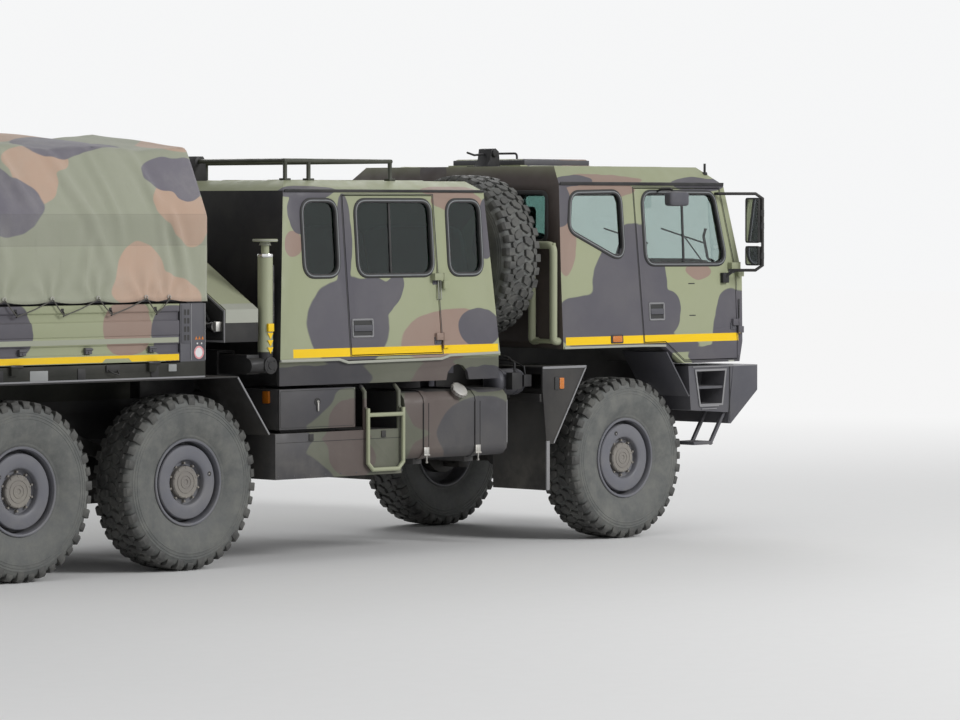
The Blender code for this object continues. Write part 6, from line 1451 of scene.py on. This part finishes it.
# Mirrors
HEAD_X, HEAD_Y = 1.232, (-1.455, -1.315)
for label, low_z, high_z in (("main", 2.31, 2.665), ("small", 2.13, 2.28)):
    outline = oblong((HEAD_Y[0], low_z), (HEAD_Y[1], high_z), 0.022)
    both(f"mirror_{label}_glass", plate(moved_out(outline, -0.009), 0.0, 0.002, facing_back(HEAD_X)), MIRROR,
         "cab_door_{}")
    both(f"mirror_{label}_rim", frame_round(outline, ((-0.009, 0.0), (-0.009, 0.005), (-0.003, 0.008),
                                                      (0.003, 0.003), (0.003, -0.012), (-0.004, -0.012)),
                                            facing_back(HEAD_X)), SEAL, "cab_door_{}")
both("mirror_clamps", joined(*[drum(0.019, 0.05, (1.26, -1.4625, z), Z_AXIS, 16)
                               for z in (2.18, 2.42, 2.52)]), SEAL, "cab_door_{}")
both("kerb_mirror_arm", pipe(rounded([(0.31, -1.192, 2.712), (0.31, -1.25, 2.735), (0.33, -1.335, 2.735),
                                      (0.34, -1.36, 2.70)], 0.03, 4), 0.009, 10), BLACK, "cab_door_{}")
kerb_shapes = pillow((0.235, -1.43, 2.60), (0.455, -1.33, 2.715), 1, (), 12, 0.25, 0.0)
both("kerb_mirror_head", kerb_shapes[0], GREY, "cab_door_{}")

# Roof
piece("hatch_handle", pipe(rounded([(-0.16, -0.12, 2.960), (-0.16, -0.12, 3.02), (-0.16, 0.12, 3.02),
                                    (-0.16, 0.12, 2.960)], 0.03, 4), 0.009, 10), BLACK, "roof_hatch")
piece("hatch_rim", frame_round(oblong((-0.35, -0.395), (0.375, 0.395), 0.03),
                               ((-0.03, -0.001), (-0.03, 0.004), (-0.015, 0.009), (-0.002, 0.003),
                                (-0.002, -0.001)), on_top(2.964)), CAMO, "roof_hatch")
piece("roof_bracket", joined(prism([(-0.66, 2.908), (-0.50, 2.908), (-0.515, 3.03), (-0.55, 3.055), (-0.60, 3.05),
                                   (-0.615, 2.965)], "y", -0.27, -0.13),
                             plate(oblong((-0.68, -0.33), (-0.46, -0.07), 0.012), -0.002, 0.006, on_top(2.91)),
                             pipe(rounded([(-0.60, -0.20, 3.01), (-0.72, -0.20, 3.00), (-0.80, -0.20, 3.02)],
                                          0.03, 4), 0.009, 8),
                             drum(0.028, 0.02, (-0.57, -0.27, 3.015), OUTWARD, 20)), BLACK, bevel=0.003)
piece("rack_bracket", prism([(-3.55, 2.785), (-3.42, 2.785), (-3.44, 2.94), (-3.46, 2.968), (-3.52, 2.968),
                             (-3.54, 2.94)], "y", -0.09, 0.03), BLACK, bevel=0.004)
both("roof_post", joined(pipe([(0.98, -1.10, 2.84), (0.98, -1.10, 2.94)], 0.010, 10),
                         turned([(0, 0), (0, 0.024), (0.02, 0.018), (0.02, 0)], (0.98, -1.10, 2.852),
                                Z_AXIS, 16)), BLACK)
# Pressed ribs. Columns: name, rear and front x, foot z, top z, half width at the foot and the top, middles' y
for name, (rear, front), foot_z, top_z, foot, top, middles in (
        ("roof_ribs", ((-0.62, -0.60), (0.88, 0.86)), 2.909, 2.916, 0.035, 0.02, (-0.72, 0.72)),
        ("crew_roof_ribs", ((-3.40, -3.38), (-1.84, -1.86)), 2.784, 2.793, 0.05, 0.03,
         (-0.75, -0.25, 0.25, 0.75))):
    piece(name, joined(*[skin([[(foot_x, y - foot, foot_z), (foot_x, y + foot, foot_z), (top_x, y + top, top_z),
                                (top_x, y - top, top_z)] for foot_x, top_x in (rear, front)])
                         for y in middles]), CAMO, bevel=0.003)

# The cab's grab rails, thicker than the bars that carry them
both("cab_grab_rail", pipe(rounded([(-0.80, -0.970, 1.56), (-0.86, -0.970, 1.56), (-0.86, -0.970, 2.30),
                                    (-0.86, -1.200, 2.30), (-0.86, -1.200, 1.56), (-0.80, -1.200, 1.56)],
                                   0.055, 5), 0.030, 14), OLIVE)


# Load bed

SIDE_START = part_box("drop_side_right")[0][0] - AXLE_X
SIDE_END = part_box("drop_side_right")[1][0] - AXLE_X
# The drop side's section. Columns: y, z
DROP_PROFILE = (
    (-1.200, 1.502), (-1.200, 1.908), (-1.246, 1.908), (-1.250, 1.903), (-1.250, 1.858), (-1.246, 1.853),
    (-1.234, 1.846), (-1.233, 1.796), (-1.246, 1.789), (-1.250, 1.784), (-1.250, 1.690), (-1.243, 1.682),
    (-1.247, 1.676), (-1.250, 1.670), (-1.250, 1.634), (-1.245, 1.625), (-1.234, 1.619), (-1.233, 1.566),
    (-1.246, 1.559), (-1.250, 1.553), (-1.250, 1.502),
)
HINGE_XS = tuple(SIDE_START + share * (SIDE_END - SIDE_START) for share in (0.08, 0.5, 0.92))
for item in both("drop_side_panel", prism(DROP_PROFILE, "x", SIDE_START, SIDE_END), CAMO, "drop_side_{}",
                 bevel=0.0012, slot="paint_green"):
    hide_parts(item.name.replace("_panel", ""))
both("drop_side_barrels", joined(*[turned([(0, 0), (0, 0.0105), (0.0015, 0.012), (0.0685, 0.012),
                                           (0.070, 0.0105), (0.070, 0)], (x - 0.035, -1.270, 1.494),
                                          X_AXIS, 14) for x in HINGE_XS]), BLACK, "drop_side_{}")
both("drop_side_straps", joined(*[box((x - 0.030, -1.264, 1.4975), (x + 0.030, -1.2505, 1.506))
                                  for x in HINGE_XS]), BLACK, "drop_side_{}", bevel=0.0015)
# A painted highlight: a pale strip along the outer face of the drop side's rib
both("drop_side_lip", side_bar([(SIDE_START + 0.01, 1.652), (SIDE_END - 0.01, 1.652)], 0.036, -0.001, 0.0012,
                               BODY_SIDE), LIP_HIGHLIGHT, "drop_side_{}")
CLAMP_XS = (-4.970, -5.556, -6.144, -6.732, -7.320)
clamps = []
for x in CLAMP_XS:
    clamps.append(box((x - 0.028, -1.258, 1.568), (x + 0.028, -1.232, 1.612)))
    clamps.append(pipe([(x - 0.034, -1.256, 1.600), (x + 0.034, -1.256, 1.600)], 0.009, 10))
    clamps.append(bolt_heads([(x, -1.258, 1.582)], OUTWARD, 0.008, 0.006))
both("drop_side_clamps", joined(*clamps), GREY, "drop_side_{}", bevel=0.0015)
both("bed_yellow_line", plate([(SIDE_START + 0.02, 1.507), (-5.430, 1.507), (-5.400, 1.531), (-5.190, 1.531),
                               (-5.160, 1.507), (SIDE_END - 0.005, 1.507), (SIDE_END - 0.005, 1.552),
                               (SIDE_START + 0.02, 1.552)], -0.001, 0.001, BODY_SIDE), STRIPE,
     "drop_side_{}")

hooks = []
for x in HOOK_XS:
    hooks.append(pipe(rounded([(x, -1.234, 1.866), (x, -1.266, 1.866), (x, -1.272, 1.842), (x, -1.260, 1.832)],
                              0.008, 4), 0.0045, 8))
    hooks.append(plate(oblong((x - 0.012, 1.858), (x + 0.012, 1.888), 0.005), -0.001, 0.003, BODY_SIDE))
both("lacing_hooks", joined(*hooks), BLACK, "drop_side_{}")
EYE_Z = 1.957
eyelets = [loop_ring((x, -1.2625, EYE_Z), Y_AXIS, 0.013, 0.0035, 18, 6) for x in LACE_XS]
both("tarp_eyelets", joined(*eyelets), STEEL)
knots = sorted([(x, EYE_Z - 0.008) for x in LACE_XS] + [(x, 1.838) for x in HOOK_XS], reverse=True)
ROPE_Y, ROPE_MIDDLE_Y = -1.2705, -1.2745
rope = []
for (x, z), (next_x, next_z) in zip(knots, knots[1:]):
    middle = ((x + next_x) / 2, ROPE_MIDDLE_Y, (z + next_z) / 2 - 0.006)
    rope.append(pipe([(x, ROPE_Y, z), middle, (next_x, ROPE_Y, next_z)], 0.0045, 7))
both("lacing_rope", joined(*rope), ROPE, "drop_side_{}")

# Corner post: slotted plate, three small markers, two studs and a blank round disc
POST_FRONT_X = -4.478
# The slots are black pills on the plate: painted shade in the openings
slots = [plate(oblong((-4.676 + 0.030 * (k % 2), 1.645 + 0.060 * (k // 2)),
                      (-4.656 + 0.030 * (k % 2), 1.685 + 0.060 * (k // 2)), 0.005), 0.0, 0.0035, BODY_SIDE)
         for k in range(8)]
both("post_plate", plate(oblong((-4.700, 1.625), (-4.612, 1.900), 0.008), -0.001, 0.003, BODY_SIDE), GREY,
     bevel=0.001)
both("post_slots", joined(*slots), BLACK)
both("post_edge", joined(*[side_bar([(x, 1.505), (x, 1.905)], width, -0.001, 0.004, BODY_SIDE)
                           for x, width in ((-4.608, 0.006), (POST_FRONT_X, 0.007))]), EDGE)
both("post_markers", joined(*[plate([(x - 0.012, 1.650), (x + 0.012, 1.650), (x, 1.674)], -0.001, 0.002,
                                    BODY_SIDE) for x in (-4.560, -4.530, -4.500)]), AMBER)
both("post_studs", joined(*[disc((x, -1.249, 1.622), OUTWARD, 0.007, 0.005, 12, 0.002)
                            for x in (-4.550, -4.510)]), WHITE)
both("post_disc", disc((-4.536, -1.249, 1.558), OUTWARD, 0.046, 0.004, 28, 0.001), WHITE)
both("post_disc_ring", collar(0.035, 0.046, 0.0015, (-4.536, -1.253, 1.558), OUTWARD, 28), PINK)

# Below the floor: hook bracket, marker plates and the floor's lower edge
both("bed_hook", joined(box((-5.400, -1.262, 1.440), (-5.280, -1.249, 1.486)),
                        pipe(rounded([(-5.38, -1.262, 1.450), (-5.38, -1.285, 1.440), (-5.30, -1.285, 1.415),
                                      (-5.30, -1.262, 1.450)], 0.012, 4), 0.006, 8)), BLACK,
     bevel=0.003)
both("bed_marker_plates", joined(plate(oblong((-6.080, 1.392), (-5.920, 1.462), 0.006), -0.001, 0.004,
                                       BODY_SIDE),
                                 plate(oblong((-4.822, 1.430), (-4.748, 1.480), 0.005), -0.001, 0.006,
                                       BODY_SIDE)), PLATE, bevel=0.0015)
both("bed_edge_line", side_bar([(-7.735, 1.386), (POST_FRONT_X, 1.386)], 0.012, -0.001, 0.003, BODY_SIDE), EDGE)
both("bed_cross_ends", joined(*[box((x - 0.035, -1.256, 1.392), (x + 0.035, -1.249, 1.470))
                                for x in (-4.95, -5.62, -6.35, -6.95, -7.50)]), BLACK, bevel=0.004)

# Guards and fenders

both("guard_edge", joined(*[side_bar([(middle + way * 1.158, 1.371), (middle + way * 1.155, 1.371),
                                     (middle + way * 1.458, 0.950)], 0.011, -0.004, 0.0045, at_side(1.246))
                           for middle, way in ((-5.315, -1), (-5.315, 1))]), EDGE)
both("fender_lip", side_bar([(-1.03, 1.362), (-0.548, 1.362)], 0.018, -0.002, 0.004, BODY_SIDE), EDGE)
both("fender_front_edge", side_bar([(-0.552, 1.356), (-0.908, 0.782)], 0.012, -0.002, 0.004, BODY_SIDE), EDGE)
both("flap_edge", box((-0.990, -1.256, 0.422), (-0.955, -1.244, 0.800)), EDGE, bevel=0.003)
both("fender_marker", plate(oblong((-0.850, 1.196), (-0.802, 1.282), 0.010), -0.001, 0.012, BODY_SIDE),
     AMBER, bevel=0.003)
both("fender_marker_base", plate(oblong((-0.900, 1.190), (-0.852, 1.288), 0.006), -0.001, 0.009, BODY_SIDE),
     SEAL, bevel=0.003)
both("box_marker", plate(oblong((-1.150, 1.168), (-1.080, 1.258), 0.010), -0.001, 0.014, facing_back(-3.76)),
     AMBER, bevel=0.003)

# Air tank and valves between the cabs
both("air_tank", joined(turned([(0, 0), (0.006, 0.060), (0.030, 0.092), (0.050, 0.100), (0.290, 0.100),
                                (0.310, 0.092), (0.334, 0.060), (0.340, 0)], (-1.385, -1.02, 1.255), X_AXIS,
                               32),
                        *[collar(0.098, 0.104, 0.03, (-1.385 + offset, -1.02, 1.255), X_AXIS, 32)
                          for offset in (0.08, 0.23)]), GREY)
both("air_tank_bracket", joined(box((-1.32, -1.00, 1.130), (-1.28, -0.431, 1.160)),
                                box((-1.17, -1.00, 1.130), (-1.13, -0.431, 1.160)),
                                box((-1.32, -0.445, 1.10), (-1.13, -0.431, 1.19))), BLACK, bevel=0.003)
both("valve_block", joined(box((-1.30, -1.19, 1.20), (-1.19, -1.125, 1.33)), box((-1.16, -1.18, 1.22),
                                                                                 (-1.08, -1.12, 1.31)),
                           pipe([(-1.245, -1.16, 1.33), (-1.245, -1.16, 1.40), (-1.20, -1.05, 1.44),
                                 (-1.12, -0.90, 1.45)], 0.009, 10),
                           pipe([(-1.12, -1.15, 1.31), (-1.12, -1.14, 1.37), (-1.10, -1.00, 1.41),
                                 (-1.10, -0.85, 1.42)], 0.007, 10)), BLACK, bevel=0.004)

# Stowage boxes and tanks
both("box_latch", joined(loop_ring((-3.385, -1.2515, 1.172), Y_AXIS, 0.026, 0.004, 24, 8),
                         disc((-3.385, -1.2495, 1.172), OUTWARD, 0.022, 0.004, 20, 0.001)), SEAL,
     "stowage_lid_{}")
both("box_key", joined(box((-3.392, -1.264, 1.105), (-3.378, -1.254, 1.180)),
                       turned([(0, 0), (0, 0.012), (0.010, 0.010), (0.010, 0)], (-3.385, -1.254, 1.172),
                              OUTWARD, 16)), STEEL, "stowage_lid_{}", bevel=0.002)
both("box_lid_seam", frame_round(oblong((-3.748, 0.992), (-3.016, 1.256), 0.012),
                                 ((0.0, -0.002), (0.0, 0.0016), (0.0035, 0.0016), (0.0035, -0.002)),
                                 BODY_SIDE), SEAL, "stowage_lid_{}")
both("lower_box_latches", joined(*[box((x - 0.022, -1.257, 0.890), (x + 0.022, -1.2490, 0.940))
                                   for x in (-3.45, -2.72)],
                                 side_bar([(-3.79, 0.884), (-2.545, 0.884)], 0.004, -0.001, 0.0016,
                                          BODY_SIDE)), BLACK, bevel=0.003)
both("box_rivets", bolt_heads([(-3.77 + 0.155 * k, -1.2495, 0.640) for k in range(9)], OUTWARD, 0.005, 0.003),
     GREY)
STRAP_XS = (-2.283, -1.740)
t_bolts = []
for x in STRAP_XS:
    t_bolts.append(box((x - 0.026, -1.264, 0.735), (x + 0.026, -1.2585, 0.800)))
    t_bolts.append(pipe([(x, -1.262, 0.690), (x, -1.262, 0.790)], 0.006, 8))
    t_bolts.append(pipe([(x - 0.030, -1.262, 0.742), (x + 0.030, -1.262, 0.742)], 0.008, 10))
    t_bolts.append(bolt_heads([(x, -1.262, 0.690)], (0, 0, -1), 0.010, 0.009))
both("tank_bolts", joined(*t_bolts), STEEL, bevel=0.001)
# Dark lines along both edges of each tank strap
both("tank_strap_rubber", joined(*[side_bar([(x + side, 0.80), (x + side, 1.13)], 0.004, 0.0, 0.0095,
                                            BODY_SIDE) for x in STRAP_XS for side in (-0.026, 0.026)]), SEAL)
# A painted highlight down the rim of the tank's front end cap
both("tank_end_ring", side_bar([(-1.419, 0.805), (-1.419, 1.128)], 0.008, -0.001, 0.0015, BODY_SIDE), EDGE)
NECK_AXIS = (0, -1, 1)
NECK = Vector((-1.93, -1.25 + 0.045, 1.218 - 0.045)) + Vector(NECK_AXIS) * 0.0495
CAP_GRIPS = [NECK + Vector((math.cos(a), math.sin(a) * 0.7071, math.sin(a) * 0.7071)) * 0.0655
             for a in [2 * math.pi * k / 14 for k in range(14)]]
both("tank_cap", joined(turned([(-0.022, 0.0565), (-0.022, 0.066), (0.004, 0.066), (0.010, 0.060), (0.014, 0.030),
                                (0.014, 0)], NECK, NECK_AXIS, 32),
                        *[turned([(-0.018, 0), (-0.018, 0.005), (0.002, 0.005), (0.002, 0)], grip, NECK_AXIS, 6)
                          for grip in CAP_GRIPS]), STEEL)

# Bumper
POCKET = ((0.72, 1.29), (1.06, 1.29), (1.02, 1.03), (0.77, 1.03))
both("pocket_edge", frame_round(POCKET, ((0.0, -0.001), (0.0, 0.0035), (0.016, 0.0035), (0.016, -0.001)),
                                BODY_SIDE), EDGE, bevel=0.001)
both("pocket_bars", joined(side_bar([(0.760, 1.012), (0.985, 1.012)], 0.010, -0.001, 0.005, BODY_SIDE),
                           side_bar([(0.785, 0.990), (0.960, 0.990)], 0.008, -0.001, 0.004, BODY_SIDE)), EDGE,
     bevel=0.001)
both("bumper_seam", side_bar([(1.118, 0.885), (1.118, 1.325)], 0.007, -0.001, 0.0015, BODY_SIDE), SEAL)
both("bumper_top_edge", side_bar([(0.68, 1.326), (1.445, 1.326)], 0.008, -0.001, 0.002, BODY_SIDE), EDGE)
teeth = []
for number in range(9):
    x = 0.735 + 0.024 * number
    teeth.append(prism([(x, 0.703), (x + 0.018, 0.703), (x + 0.009, 0.722)], "y", -1.216, -1.012))
both("step_teeth", joined(*teeth), EDGE)
both("headlamp_bowl", turned([(0.0, 0), (0.004, 0.03), (0.014, 0.060), (0.026, 0.078), (0.026, 0.083),
                              (0.001, 0.083), (0.0, 0)], (1.4205, -0.825, 1.228), X_AXIS, 40), CHROME)
both("headlamp_glass", turned([(0, 0), (0, 0.0815), (0.003, 0.0815), (0.0045, 0.06), (0.005, 0)],
                              (1.4440, -0.825, 1.228), X_AXIS, 40), CLEAR)
both("headlamp_ring", collar(0.078, 0.0845, 0.0060, (1.4438, -0.825, 1.228), X_AXIS, 40), SEAL)

# Grille: a dark net behind the slats and a rim round them
piece("grille_rim", frame_round(oblong((-0.575, 1.405), (0.575, 1.935), 0.03),
                                ((-0.012, -0.004), (-0.012, 0.010), (0.012, 0.010), (0.012, -0.004)), cab_front),
      GREY, bevel=0.003)
piece("grille_bars", joined(*[skin([[cab_front(y - 0.004, z, 0.001), cab_front(y + 0.004, z, 0.001),
                                     cab_front(y + 0.004, z, 0.006), cab_front(y - 0.004, z, 0.006)]
                                    for z in (1.425, 1.515, 1.70, 1.915)]) for y in
                              [-0.5 + 0.1 * k for k in range(11)]]), BLACK)

# Stabiliser legs
LEG_X, LEG_Y = -3.824, -1.17
both("leg_collar", turned([(0, 0.028), (0, 0.0575), (0.006, 0.060), (0.018, 0.060), (0.024, 0.0575),
                           (0.024, 0.028), (0, 0.028)], (LEG_X, LEG_Y, 2.228), Z_AXIS, 32), CHROME,
     "stabiliser_{}")
both("leg_ram", collar(0.0285, 0.0292, 0.075, (LEG_X, LEG_Y, 2.256), Z_AXIS, 24), OLIVE, "stabiliser_{}")
both("leg_foot_rim", joined(loop_ring((LEG_X, LEG_Y, 2.350), Z_AXIS, 0.087, 0.0065, 32, 8),
                            turned([(0, 0.030), (0, 0.045), (0.026, 0.034), (0.026, 0.030), (0, 0.030)],
                                   (LEG_X, LEG_Y, 2.314), Z_AXIS, 24)), LEDGE, "stabiliser_{}")
both("leg_pipe", joined(pipe(rounded([(-3.772, -1.178, 1.72), (-3.757, -1.185, 1.74), (-3.757, -1.185, 2.165),
                                      (-3.772, -1.178, 2.185)], 0.012, 3), 0.0065, 8),
                        *[box((-3.775, -1.188, z - 0.008), (-3.752, -1.170, z + 0.008))
                          for z in (1.80, 2.15)]), DARK_METAL, "stabiliser_{}")
both("leg_block", box((-3.852, -1.236, 1.692), (-3.796, -1.212, 1.750)), STRIPE, "stabiliser_{}", bevel=0.004)
both("leg_arrows", joined(*[plate([(LEG_X - 0.026, top), (LEG_X + 0.026, top), (LEG_X, top - 0.046)], -0.012,
                                  0.002, at_side(1.226)) for top in (1.682, 1.630, 1.578)]), STRIPE,
     "stabiliser_{}")
both("leg_eye", joined(turned([(0, 0), (0, 0.062), (0.008, 0.062), (0.010, 0.055), (0.010, 0.030), (0.016, 0.026),
                               (0.016, 0)], (LEG_X, -1.224, 1.447), OUTWARD, 32),
                       bolt_heads([(LEG_X + 0.045 * math.cos(a), -1.233, 1.447 + 0.045 * math.sin(a))
                                   for a in (0.8, 2.37, 3.94, 5.5)], OUTWARD, 0.006, 0.005)), BLACK,
     "stabiliser_{}")

# Crane boom
BOOM_REAR_X, BOOM_XS = -4.24, (-4.236, -3.924)
BOOM_SHAPE = ((-1.20, 1.62), (-1.20, 1.85), (-0.38, 2.344), (0.44, 2.33), (0.30, 2.06), (-0.10, 1.62))
piece("boom_back_rim", frame_round(BOOM_SHAPE, ((-0.016, -0.001), (-0.016, 0.006), (-0.001, 0.006),
                                                (-0.001, -0.001)), facing_back(BOOM_REAR_X)), EDGE, "crane_boom",
      bevel=0.0015)
piece("boom_back_panels", joined(plate([(-1.15, 1.66), (-1.15, 1.83), (-0.86, 2.01), (-0.86, 1.66)], -0.001,
                                       0.002, facing_back(BOOM_REAR_X)),
                                 plate([(-0.80, 1.66), (-0.80, 2.045), (-0.40, 2.28), (-0.16, 1.66)], -0.001,
                                       0.002, facing_back(BOOM_REAR_X))), SEAL, "crane_boom")
piece("boom_top_plate", skin([[(x, -1.197, 1.858), (x, -0.382, 2.349), (x, -0.382, 2.344), (x, -1.194, 1.852)]
                              for x in BOOM_XS]), OLIVE, "crane_boom")
piece("boom_tip_band", skin([[(x, -1.2035, 1.760), (x, -1.2035, 1.856), (x, -1.140, 1.896), (x, -1.140, 1.891),
                              (x, -1.198, 1.853), (x, -1.198, 1.760)] for x in BOOM_XS]), LEDGE, "crane_boom")
piece("boom_ram", joined(pipe([(-4.285, -1.12, 1.735), (-4.285, -0.55, 1.735)], 0.034, 20),
                         *[drum(0.040, 0.03, (-4.285, y, 1.735), Y_AXIS, 24) for y in (-1.15, -0.58)]),
      DARK_METAL, "crane_boom")
piece("boom_ram_rod", joined(pipe([(-4.285, -0.56, 1.735), (-4.285, -0.22, 1.735)], 0.016, 16),
                             box((-4.300, -1.17, 1.700), (-4.238, -1.13, 1.770)),
                             box((-4.300, -0.26, 1.705), (-4.238, -0.20, 1.765))), STEEL, "crane_boom",
      bevel=0.003)
hoses = []
for number in range(3):
    shift = 0.026 * number
    hoses.append(pipe(rounded([(-4.258, -1.05 + shift, 1.770), (-4.272, -1.02 + shift, 1.84),
                               (-4.268, -0.70 + shift, 1.98 + shift), (-4.262, -0.30 + shift, 2.10 + shift),
                               (-4.256, 0.10, 2.13 + shift)], 0.08, 5), 0.010, 9))
piece("boom_hoses", joined(*hoses), SEAL, "crane_boom")
piece("boom_hose_clips", joined(*[box((-4.284, y - 0.014, z - 0.014), (-4.2395, y + 0.014, z + 0.080))
                                  for y, z in ((-0.62, 2.005), (-0.28, 2.095))]), BLACK, "crane_boom",
      bevel=0.003)

# Tail: lamps, blank plates and the rolled rear curtain

LAMP_FACE_X, TAIL_BAR_X = -7.61, -7.59
for label, y, material in (("tail_lamp_outer", -1.109, RED), ("tail_lamp_inner", -0.979, AMBER)):
    both(label, turned([(0, 0), (0, 0.050), (0.008, 0.048), (0.014, 0.036), (0.016, 0)], (LAMP_FACE_X, y, 0.98),
                       REARWARD, 36), material)
    both(f"{label}_ring", turned([(-0.012, 0.0552), (-0.012, 0.060), (0.006, 0.060), (0.006, 0.050),
                                  (0.0, 0.050), (0.0, 0.0552), (-0.012, 0.0552)], (LAMP_FACE_X, y, 0.98),
                                 REARWARD, 36), SEAL)
TAIL_BAR = facing_back(TAIL_BAR_X)
both("reflector", plate(oblong((-0.88, 0.945), (-0.80, 1.015), 0.006), -0.001, 0.008, TAIL_BAR), RED, bevel=0.002)
piece("rear_plate", plate(oblong((0.30, 0.925), (0.74, 1.035), 0.012), -0.001, 0.004, TAIL_BAR), PLATE,
      bevel=0.001)
piece("tail_bar_bolts", bolt_heads([(-7.591, y, z) for y in (-0.25, -0.19, 0.19, 0.25) for z in (0.91, 1.05)],
                                   REARWARD, 0.014, 0.012), STEEL)
piece("tow_jaw_pin", joined(drum(0.020, 0.19, (-7.80, 0, 0.885), Z_AXIS, 16),
                            box((-7.83, -0.03, 1.055), (-7.77, 0.03, 1.075))), STEEL,
      bevel=0.003)
piece("tailgate_latches", joined(*[box((-7.752, y - 0.03, 1.80), (-7.741, y + 0.03, 1.88))
                                   for y in (-1.12, 1.12)]), BLACK, "tailgate", bevel=0.003)


def curtain_roll():
    """The rear curtain rolled up under the tarpaulin's ridge, sagging between its ties."""
    rings = []
    for step in range(73):
        y = -0.98 + 1.96 * step / 72
        tie = min(abs(y - t) for t in (-0.66, 0.0, 0.66))
        size = 0.062 - 0.018 * math.exp(-(tie / 0.05) ** 2) + 0.004 * noise.noise(Vector((y * 6, 1, 2)))
        middle = 2.985 - 0.020 * math.cos(y * 1.5) ** 2 - 0.010 * noise.noise(Vector((y * 2, 5, 1)))
        ring = []
        for k in range(28):
            angle = 2 * math.pi * k / 28
            grow = size * (1 + 0.10 * math.sin(3 * angle + y * 2.0) + 0.05 * noise.noise(
                Vector((math.cos(angle) * 2, math.sin(angle) * 2, y * 5))))
            ring.append((-7.665 + grow * math.cos(angle), y, middle + grow * math.sin(angle)))
        rings.append(ring)
    return skin(rings)


curtain = piece("rear_curtain_roll", curtain_roll(), CANVAS, slot="canvas")
piece("curtain_ties", joined(*[loop_ring((-7.665, y, 2.975), Y_AXIS, 0.052, 0.007, 28, 6)
                               for y in (-0.66, 0.0, 0.66)]), BLACK)
